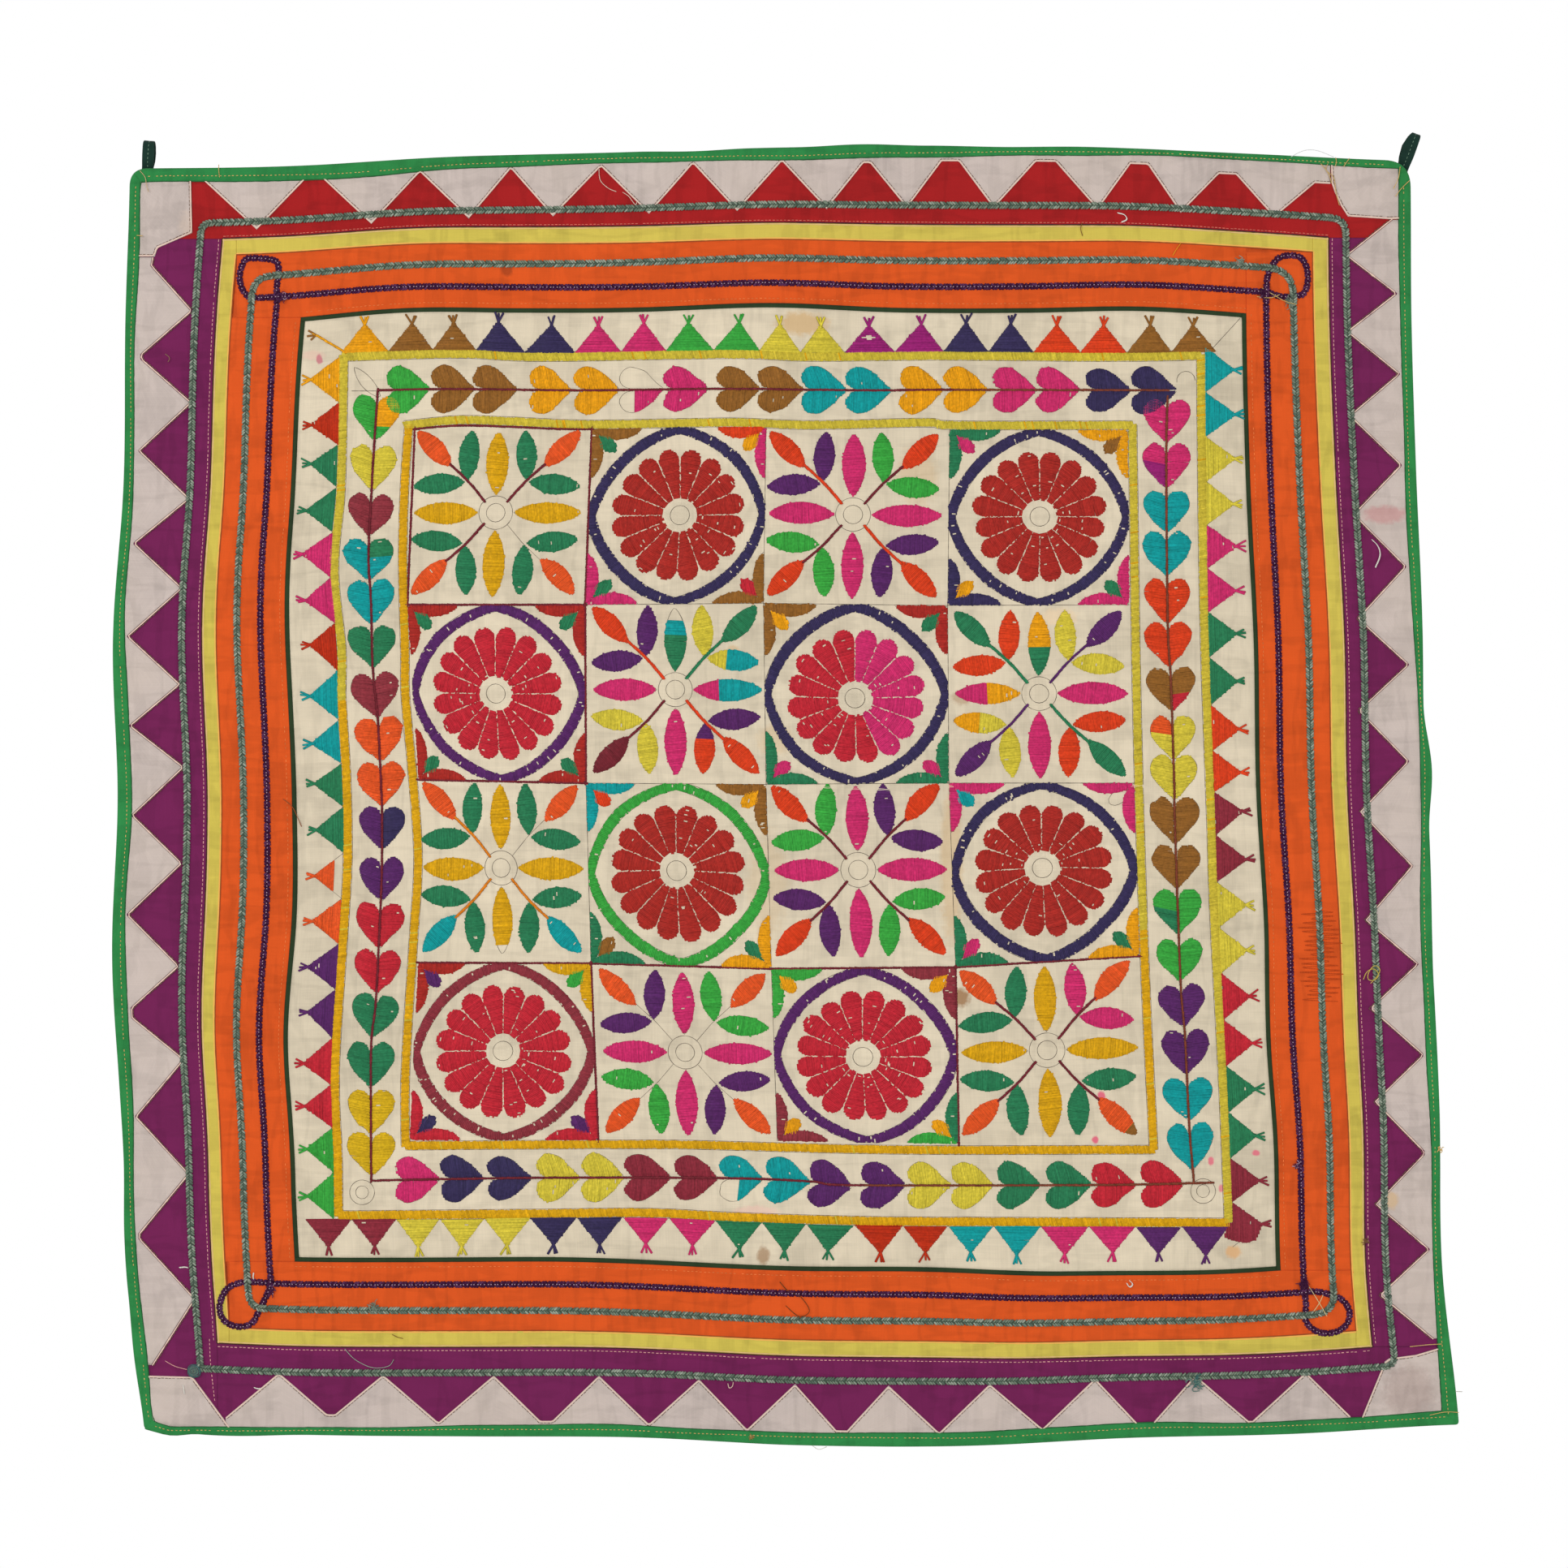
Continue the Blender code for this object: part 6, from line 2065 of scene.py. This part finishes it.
def petal_outline(angle):
    half = math.pi / PETALS
    inner, shoulder = 13.6, 42.2 + chance.normal(0, 0.5)
    left = [(r * math.cos(half), r * math.sin(half)) for r in (inner, 27, shoulder)]
    wide = shoulder * math.sin(half)
    rise = 8.7 + chance.normal(0, 0.3)
    cap = [(shoulder * math.cos(half) + rise * math.sin(t) ** 0.8, wide * math.cos(t))
           for t in np.linspace(0.15, math.pi - 0.15, 9)]
    right = [(x, -y) for x, y in left[::-1]]
    inner_curve = [(inner - 1.0, 0.0)]
    shape = np.array(left + cap + right + inner_curve)
    c, s = math.cos(angle), math.sin(angle)
    return shape @ np.array([[c, s], [-s, c]])


def lay_flower(work, place, ring, petals, corners):
    for k in range(PETALS):
        angle = (k + 0.5) * 2 * math.pi / PETALS
        outline = place(petal_outline(angle))
        colour = petals if isinstance(petals, str) else petals[int(math.cos(angle - 0.2) > 0.28)]
        way = place(np.array([-math.sin(angle), math.cos(angle)])) - place(np.zeros(2))
        work.fill(outline, way + chance.normal(0, 0.04, 2), colour, reach=-0.5, gaps=0.05)
    ink.line(place(circle(FLOWER_EYE)), closed=True)
    for quarter in range(4):
        angle = quarter * math.pi / 2
        c, s = math.cos(angle), math.sin(angle)
        turned = np.array([[c, s], [-s, c]])
        t = np.linspace(0, math.pi / 2, round(96 / PITCH))
        off = np.abs(t - math.pi / 4) / (math.pi / 4)
        ray = np.stack([np.cos(t), np.sin(t)], axis=1)
        outer = np.minimum(ray * (RING_OUTER + 4.6 * off**2)[:, None], HALF_PANEL)
        inner = ray * (RING_INNER + 6.0 * off**2)[:, None]
        rough = chance.normal(0, 0.36, (2, len(t), 1)) * ray
        starts, ends = place((inner + rough[0]) @ turned), place((outer + rough[1]) @ turned)
        work.lay(starts, ends, ring, gaps=0.05)
        ink.line(place(outer @ turned), width=0.3)
        ink.line(place(inner @ turned), width=0.3)
    for (right, up), (level, upright, leaf) in zip(QUARTERS.values(), corners):
        turned = np.array([right, up])
        t = np.linspace(0, 1, 10)[:, None]
        edge = np.array([66.5, 66.5])
        for first, colour in ((0, level), (1, upright)):
            far, depth = 38.0 + chance.normal(0, 1.0), 8.2
            straight = edge - t * np.eye(2)[first] * far
            curve = straight - np.eye(2)[1 - first] * depth * (4 * t * (1 - t)) ** 0.8
            outline = place(np.concatenate([straight, curve[-2:0:-1]]) * turned)
            work.fill(outline, np.eye(2)[1 - first], colour)
            ink.line(place(curve * turned), width=0.3)
        kite = place(np.array(KITE) * turned)
        ink.line(kite, closed=True, width=0.34)
        if leaf:
            work.fill(kite, kite[1] - kite[3] + chance.normal(0, 0.3, 2), leaf)


stars_work, flowers_work = Needlework(), Needlework()
for spot, plan in STARS.items():
    lay_star(stars_work, panel_place(*spot, edges_held=False), plan)
for spot, (ring, petals, corners) in FLOWERS.items():
    lay_flower(flowers_work, panel_place(*spot), ring, petals, corners)

# %% Lines between the panels
# Sides of panels worked in stem stitch: the row or column line, from where to where.
LEVEL_ROPES = ((0, 0, 1), (1, 0, 1), (2, 0, 1), (3, 0, 1), (3, 1, 3), (3, 3, 4))
UPRIGHT_ROPES = ((0, 0, 1), (1, 0, 2), (1, 3, 4), (3, 3, 4))
TOP_ROPE = ((-280, -214), (-262, -212.2), (-240, -211.2), (-207, -212.2), (-170, -213.8), (-145.5, -214))
for row in range(5):
    for column in range(4):
        line = (nodes[row, column], nodes[row, column + 1])
        if any(row == r and a <= column < b for r, a, b in LEVEL_ROPES):
            stems_work.rope(line if row else soft_line(TOP_ROPE), "stem", lift=0.1)
        elif 0 < row < 4:
            ink.line(line)
for column in range(5):
    for row in range(4):
        line = (nodes[row, column], nodes[row + 1, column])
        if any(column == c and a <= row < b for c, a, b in UPRIGHT_ROPES):
            stems_work.rope(line, "stem", lift=0.1)
        elif 0 < column < 4:
            ink.line(line)

# %% Odd ink marks in the corners of the heart border
ink.line(leaf_outline((-326, -167), (-306, -190), 9.0), closed=True)
ink.line(((-328, -185), (-306, -185)))
for radius in (5.0, 9.5):
    ink.line(circle(radius, middle=(-320, -794)), closed=True)
    ink.line(circle(radius, middle=(319, -793)), closed=True)
ink.line(((325, -154), (347, -130)))
ink.line(circle(7.0, middle=(306, -177))[:16])

# %% Make the embroidery meshes
ALL_WORK = {"bands": bands_work, "hearts": hearts_work, "stems": stems_work,
            "triangles": triangles_work, "stars": stars_work, "flowers": flowers_work}
made_work = {}
for name, work in ALL_WORK.items():
    made_work[name] = work.sewn(f"{name}_stitches")
    register(made_work[name], [])
drawn = ink.made("ink_lines", INK)
register(drawn, [])

# %% [markdown]
# ## Sewing that shows
#
# The seams were sewn by machine and by hand in whatever thread was to hand, so the stitching
# reads against every colour: tan on the binding, pale pink beside the purple and red seams,
# brown inside the folded edges of the white teeth. Each run is a row of short threads. The
# light on the turned edge of a fold is painted on as a pale strip of painted highlight, and the
# shadow in its seam as a dark strip of painted shadow.

# %% Runs of sewing
# The peach, straw and pale pink edge colours are painted highlight on turned edges, and the pale pink is also
# the colour of some loose threads; the dark seam and rust colours are painted shadow in the seams.
TAN, PALE_PINK, OLD_ROSE = srgb(206, 174, 108), srgb(220, 160, 158), srgb(210, 112, 98)
PEACH_HIGHLIGHT, STRAW_HIGHLIGHT, EDGE_PINK_THREAD_AND_HIGHLIGHT = srgb(232, 172, 82), srgb(212, 178, 116), srgb(224, 194, 178)
SEAM_BROWN, SEAM_SHADOW_DARK, RUST_SHADE = srgb(112, 88, 72), srgb(66, 14, 32), srgb(150, 66, 14)
WHITE_THREAD, GREY_THREAD = srgb(226, 222, 214), srgb(150, 158, 148)


def offset_line(points, distance):
    """A polyline moved sideways, its corners mitred; positive is to the left of its way."""
    points = np.asarray(points, float)
    ways = np.diff(points, axis=0)
    keep = np.concatenate([[True], np.linalg.norm(ways, axis=1) > 0.05])
    points = points[keep]
    ways = np.diff(points, axis=0)
    ways = ways / np.linalg.norm(ways, axis=1)[:, None]
    sides = np.stack([-ways[:, 1], ways[:, 0]], axis=1)
    before, after = np.concatenate([sides[:1], sides]), np.concatenate([sides, sides[-1:]])
    share = before + after
    scale = 1 / np.maximum(0.25, (share * before).sum(axis=1))
    return points + share * scale[:, None] * distance


class Sewing:
    """Rows of sewing and loose threads, each point with its own height above the cloth."""

    def __init__(self):
        self.starts, self.ends, self.dyes = [], [], []

    def row(self, line, colour, height, length=2.2, gap=1.2, wander=0.08, missing=0.03):
        """Dashes along a line at one height."""
        spots = even(line, 0.2)
        pitch = length + gap
        first = np.arange(0.5, (len(spots) - 1) * 0.2 - length, pitch)
        first = first + chance.normal(0, 0.12, len(first))
        first = first[chance.uniform(size=len(first)) > missing]
        a = np.clip(np.round(first / 0.2).astype(int), 0, len(spots) - 1)
        b = np.clip(a + round(length / 0.2), 0, len(spots) - 1)
        shift = chance.normal(0, wander, (len(a), 2))
        self.starts.append(seat(spots[a] + shift, height))
        self.ends.append(seat(spots[b] + shift, height))
        tone = 1 + chance.normal(0, 0.1, len(a))[:, None]
        self.dyes.append(np.clip(np.array(colour)[None] * tone, 0, 1))

    def thread(self, places, colour, height, rise=0.0, step=1.3):
        """A loose thread lying along a soft curve, lifted in its middle by rise."""
        line = even(smooth_open(np.asarray(places, float)), step)
        lift = height + rise * np.sin(np.linspace(0, np.pi, len(line)))
        way, _ = normals_of(line, closed=False)
        spots = seat(line, lift)
        past = np.stack([way[:, 0], np.zeros(len(way)), way[:, 1]], axis=1) * 0.28 * MM
        self.starts.append(spots[:-1] - past[:-1])
        self.ends.append(spots[1:] + past[1:])
        self.dyes.append(np.tile(colour, (len(line) - 1, 1)))

    def tuft(self, middle, size, colours, count, height):
        """A knot or fray: short threads every way round a middle."""
        middle = np.array(middle, float)
        for _ in range(count):
            angle, reach = chance.uniform(0, 2 * np.pi), size * chance.uniform(0.35, 1.0)
            inner = middle + chance.normal(0, size * 0.25, 2)
            turn = np.array([math.cos(angle), math.sin(angle)])
            bend = np.array([-turn[1], turn[0]]) * chance.normal(0, size * 0.3)
            colour = colours[chance.integers(0, len(colours))]
            self.thread((inner, inner + turn * reach * 0.5 + bend, inner + turn * reach), colour,
                        height + chance.uniform(0, 0.9), rise=chance.uniform(0, 0.5), step=max(0.8, size / 4))

    def knot(self, middle, size, colours, height):
        """A rounded lump of yarn: coils laid one on another, smaller and higher inwards."""
        turn = np.linspace(0, 2 * np.pi, 15)
        for radius in np.arange(size, 0.3, -0.7):
            uneven = 1 + chance.normal(0, 0.06, (len(turn), 1))
            ring = np.stack([np.cos(turn), np.sin(turn)], axis=1) * radius * uneven
            colour = colours[chance.integers(0, len(colours))]
            dome = height + 1.6 * math.sqrt(1 - (radius / (size + 0.4)) ** 2)
            self.thread(np.array(middle) + ring, colour, dome, rise=chance.uniform(0, 0.3))

    def sewn(self, name, width, height, shape=STITCH):
        return sew(name, np.concatenate(self.starts), np.concatenate(self.ends), np.concatenate(self.dyes),
                   SEWING, shape, width, height)


class Edging(Drawing):
    """Narrow strips of painted highlight on a turned edge, or of painted shadow in a seam."""

    def strip(self, line, width, height):
        self.line(line, width=width, height=height - LAYER, step=3.0)


fine, heavy = Sewing(), Sewing()
edgings = {name: Edging() for name in ("pale_fold", "peach_fold", "straw_fold", "seam_shadow",
                                       "orange_shadow", "fold_shadow")}

# %% Binding and strip seams
for side in CLOCKWISE:
    inner, outer = binding_edges[side]
    ahead = 6
    wander = 0.34 + 0.05 * np.sin(np.arange(len(inner)) / 9)[:, None]
    line = (inner + (outer - inner) * wander)[ahead:-ahead]
    fine.row(line, TAN, 3.0, length=1.7, gap=1.5, missing=0.05)
    edgings["fold_shadow"].strip(inner + (inner - outer) * 0.03, 0.7, 2.02)

OUT_OF = {"top": (0, 1), "right": (1, 0), "bottom": (0, -1), "left": (-1, 0)}
for side in CLOCKWISE:
    out = np.array(OUT_OF[side])
    purple_line = course_line("outer_seam", side, 4.0)
    orange_line = course_line("yellow_seam", side, 4.0)
    fine.row(purple_line + out * (1.9 if side == "top" else 2.7), OLD_ROSE if side == "top" else PALE_PINK,
             LAYER + 0.1, length=2.0, gap=0.9 if side == "top" else 1.2, missing=0.01)
    # Painted shadow at each seam, and painted highlight along the yellow strip's turned edges.
    edgings["seam_shadow"].strip(purple_line + out * 0.45, 0.9, LAYER + 0.06)
    edgings["straw_fold"].strip(purple_line - out * 0.9, 0.9, LAYER + 0.02)
    edgings["peach_fold"].strip(orange_line + out * 0.7, 0.9, LAYER + 0.02)
    edgings["orange_shadow"].strip(orange_line - out * 0.3, 0.8, LAYER + 0.04)
    piping_line = course_line("orange_seam", side, 4.0)
    fine.row(piping_line + out * 3.6, srgb(228, 122, 66), LAYER + 0.08, length=1.8, gap=1.4, missing=0.1)

# %% Folded edges of the white teeth and patches
# Each tooth and patch gets a pale strip of painted highlight just inside its folded edge.
for side, line in bands.items():
    hand = 1 if side in ("top", "left") else -1
    step_in = offset_line(line, hand * 0.6)
    edgings["pale_fold"].strip(step_in, 0.8, 2.1)
    fine.row(offset_line(line, hand * 1.65), SEAM_BROWN, 1.86, length=2.3, gap=0.5, missing=0.02)
for corner in CORNER_ORDER:
    inner_points = patch_folds[corner]
    middle = np.array(CORNERS[corner])
    way = inner_points[1] - inner_points[0]
    left_side = np.array([-way[1], way[0]])
    hand = 1 if left_side @ (middle - inner_points[0]) > 0 else -1
    edgings["pale_fold"].strip(offset_line(inner_points, hand * 0.6), 0.8, 2.2)
    fine.row(offset_line(inner_points, hand * 1.65), SEAM_BROWN, 1.95, length=2.3, gap=0.5, missing=0.02)

# %% [markdown]
# ### Knots, frays and loose threads
#
# Ends were knotted where a braid began, and every repair left a thread or two. They are the
# marks of handling that tell this cloth from a new one.

# %% Knots and frays
GREY_YARN, PURPLE_YARN = GREYS[:5], [*PURPLES, LILAC]
TEAL_YARN = [srgb(60, 104, 104), srgb(84, 120, 116), srgb(110, 134, 122)]
TUFTS = (
    # middle, size, colours, count, height
    ((385.5, -118), 5.0, GREY_YARN, 26, 2.0), ((-311, -881.5), 5.0, GREY_YARN, 24, 2.0),
    ((314, -938), 6.0, TEAL_YARN, 34, 2.4),
    ((-380, -114), 4.0, PURPLE_YARN, 22, 2.4), ((365, -111.5), 4.0, PURPLE_YARN, 12, 2.6),
    ((390.5, -773.5), 4.0, PURPLE_YARN, 16, 1.8), ((-388.5, -868), 5.0, PURPLE_YARN, 22, 2.0),
    ((347, -87.5), 4.0, [srgb(214, 150, 132), *GREY_YARN], 20, 2.0),
    ((395.5, -864), 4.5, PURPLE_YARN, 16, 2.6),
    ((442.5, -831.5), 3.0, [srgb(120, 84, 60)], 14, 1.8),
    ((-24, -979.5), 2.0, [TAN, srgb(150, 120, 70)], 14, 2.6),
    ((499.5, -761), 2.6, [TAN], 12, 2.8), ((-494, -131), 2.5, [srgb(30, 96, 60)], 10, 1.4),
)
for middle, size, colours, count, height in TUFTS:
    fine.tuft(middle, size, colours, count, height)
heavy.knot((-447.5, -929.5), 5.2, TEAL_YARN, 2.0)
for middle in ((365, -111.5), (-382.5, -113.8), (395.5, -864.5)):
    heavy.knot(middle, 3.4, PURPLES, 2.6)

# The lower left knot's seam goes on over the purple strip.
fine.row(((-436, -905), (-435, -925), (-431.5, -955)), PALE_PINK, LAYER + 0.12, length=1.8, gap=1.2)

# %% Loose threads
LOOSE = (
    # colour, height, rise, points
    (WHITE_THREAD, 1.5, 0.6, ((-459, -851), (-455, -850.5), (-452.5, -851))),
    (WHITE_THREAD, 2.2, 0.6, ((-456, -940), (-455.5, -943), (-455, -946.5))),
    (WHITE_THREAD, 1.5, 0.5, ((-402, -942), (-399, -942.8), (-396, -942.5))),
    (WHITE_THREAD, 1.5, 0.5, ((-402.5, -855), (-403, -858), (-402.5, -860))),
    (PALE_PINK, 1.5, 0.4, ((-469.5, -922), (-462, -926), (-453, -928.5))),
    (GREY_THREAD, 1.5, 1.2, ((-333, -913), (-325, -921), (-312, -927), (-300, -926), (-296, -921))),
    (srgb(126, 84, 44), 1.5, 0.5, ((-297, -902), (-293, -904), (-289, -905))),
    (srgb(126, 84, 44), 1.5, 0.8, ((227, -57.5), (226, -62), (227.5, -67))),
    (srgb(228, 160, 40), 1.5, 0.6, ((302, -73), (299, -77), (296, -82))),
    (WHITE_THREAD, 1.5, 0.8, ((254, -49.5), (259, -51), (261, -54.5), (257, -56.5))),
    (WHITE_THREAD, 2.2, 0.6, ((447, -298), (451.5, -303), (453, -310), (449.5, -319))),
    (WHITE_THREAD, 1.5, 0.8, ((263, -861), (265.5, -863.5), (263, -866), (261, -863))),
    (srgb(206, 184, 84), 3.2, 0.8,
     ((440.5, -632), (443, -626.5), (448, -624), (452, -628), (449, -632.5), (444, -632),
      (444.5, -626.5), (449, -621.5), (453, -624.5), (451, -629.5), (446, -635))),
    (srgb(96, 62, 34), 1.5, 0.9, ((-2.5, -862), (4, -869), (13, -873), (20, -884), (12, -888), (2, -880))),
    (srgb(150, 84, 50), 1.6, 0.8, ((-380, -495), (-373, -501), (-369, -509), (-366, -516))),
    (srgb(140, 108, 84), 2.2, 0.6, ((-469.5, -157), (-466, -160), (-467.5, -163))),
    (EDGE_PINK_THREAD_AND_HIGHLIGHT, 2.0, 0.6, ((-42, -939), (-41, -942.5), (-38.5, -941), (-38, -938))),
    (EDGE_PINK_THREAD_AND_HIGHLIGHT, 1.5, 0.7, ((-140, -16), (-139, -25), (-133, -31), (-127, -33.5))),
    (EDGE_PINK_THREAD_AND_HIGHLIGHT, 1.5, 0.7, ((-122, -34), (-117.5, -37), (-114.5, -41), (-112, -44), (-111, -40.5))),
    (srgb(224, 226, 228), 2.6, 1.0, ((385.5, -7.5), (394, -3.2), (401, -2.2), (408, -3.5), (418, -7.5))),
    (TAN, 2.2, 0.7, ((416, -9), (412, -17), (418, -23), (420, -35), (422.5, -44))),
    (TAN, 2.3, 0.7, ((408, -12), (414, -20), (416.5, -27))),
    (TAN, 3.4, 0.3, ((419.5, -8), (420, -11.5), (419, -15))),
    (TAN, 3.4, 0.3, ((430, -8.5), (427.5, -12), (425.5, -15))),
    (TAN, 3.5, 0.3, ((468.5, -15), (467, -24), (463.5, -31.5))),
    (TAN, 3.4, 0.3, ((475.5, -25.5), (469, -32), (465, -37.5))),
    (srgb(198, 172, 128), 3.4, 0.3, ((-488.5, -18), (-484.5, -23), (-483.5, -29), (-482, -34))),
    (TAN, 3.4, 0.2, ((-428.5, -13.5), (-428.5, -18), (-428, -23))),
    (TAN, 3.3, 0.3, ((-491, -67), (-486.5, -67.5))),
    (TAN, 3.4, 0.3, ((476, -911), (490, -909.5), (500, -909))),
    (TAN, 3.4, 0.3, ((491, -963), (503, -960.5), (513, -961))),
    (srgb(214, 198, 146), 2.8, 0.8, ((399, -865), (406, -876), (413, -888))),
    (srgb(214, 198, 146), 2.8, 0.8, ((403, -884), (407, -878), (410, -872))),
    (TAN, 2.8, 0.8, ((364, -107), (372, -112), (381, -117), (390, -119.5))),
    (TAN, 2.8, 0.8, ((360, -113.5), (370, -114.5), (377, -112))),
    (srgb(190, 186, 176), 1.2, 0.6, ((499, -944), (508, -945), (516, -945.5))),
    (srgb(214, 212, 204), 1.6, 0.6, ((22, -986), (27, -989), (33, -987))),
)
for colour, height, rise, places in LOOSE:
    heavy.thread(places, colour, height, rise)
    if colour is WHITE_THREAD:
        heavy.thread(np.array(places) + (0.4, -0.4), colour, height, rise)

# Darning: an area of dark orange thread worked to and fro over a worn place.
scribble = [(408 + 15 * math.sin(k * 2.4) + chance.normal(0, 2.5), -580 - k * 1.3) for k in range(54)]
fine.thread(scribble, srgb(186, 72, 28), LAYER + 0.1, rise=0.1, step=2.2)

# %% [markdown]
# ## The wrong side
#
# Satin stitch that saves thread leaves only small dashes at the edges of a motif on the back,
# so the wrong side shows dotted outlines in the same colours.

# %% Stitches on the back
back_starts, back_ends, back_dyes = [], [], []
for work in (bands_work, hearts_work, triangles_work, stars_work, flowers_work):
    for a, b, dye in work.backs:
        way = b - a
        long = np.linalg.norm(way, axis=1)
        near = (long < 4) & (long > 0.2)
        back_starts.append(a[near])
        back_ends.append(b[near])
        back_dyes.append(np.tile(dye, (near.sum(), 1)))
back_starts, back_ends = np.concatenate(back_starts), np.concatenate(back_ends)
back_height = LAYER - SHEET
back = sew("stitches_at_the_back", seat(back_starts, back_height), seat(back_ends, back_height),
           np.concatenate(back_dyes), FLOSS, STITCH, width=0.9, height=0.4, out=(0, 1, 0), seed=8)

# %% Make the sewing meshes
# Colours of the strips of painted highlight and painted shadow.
finishes = {"pale_fold": EDGE_PINK_THREAD_AND_HIGHLIGHT, "peach_fold": PEACH_HIGHLIGHT, "straw_fold": STRAW_HIGHLIGHT, "seam_shadow": SEAM_SHADOW_DARK,
            "orange_shadow": RUST_SHADE, "fold_shadow": srgb(20, 84, 42)}
trims = [edging.made(name, finishes[name]) for name, edging in edgings.items()]
trims.append(fine.sewn("fine_sewing", 0.58, 0.3))
trims.append(heavy.sewn("loose_threads", 0.62, 0.55, STRAND))
for trim in trims:
    register(trim, [])
register(back, [])

# %% Piping, ground and ending
for made in pipings:
    register(made, [made.name.replace("_roll", "")])
register(ground, ["centre_cloth"], flat=(0.757, 0.737))
for shape in (STITCH, STRAND):
    bpy.data.objects.remove(shape)
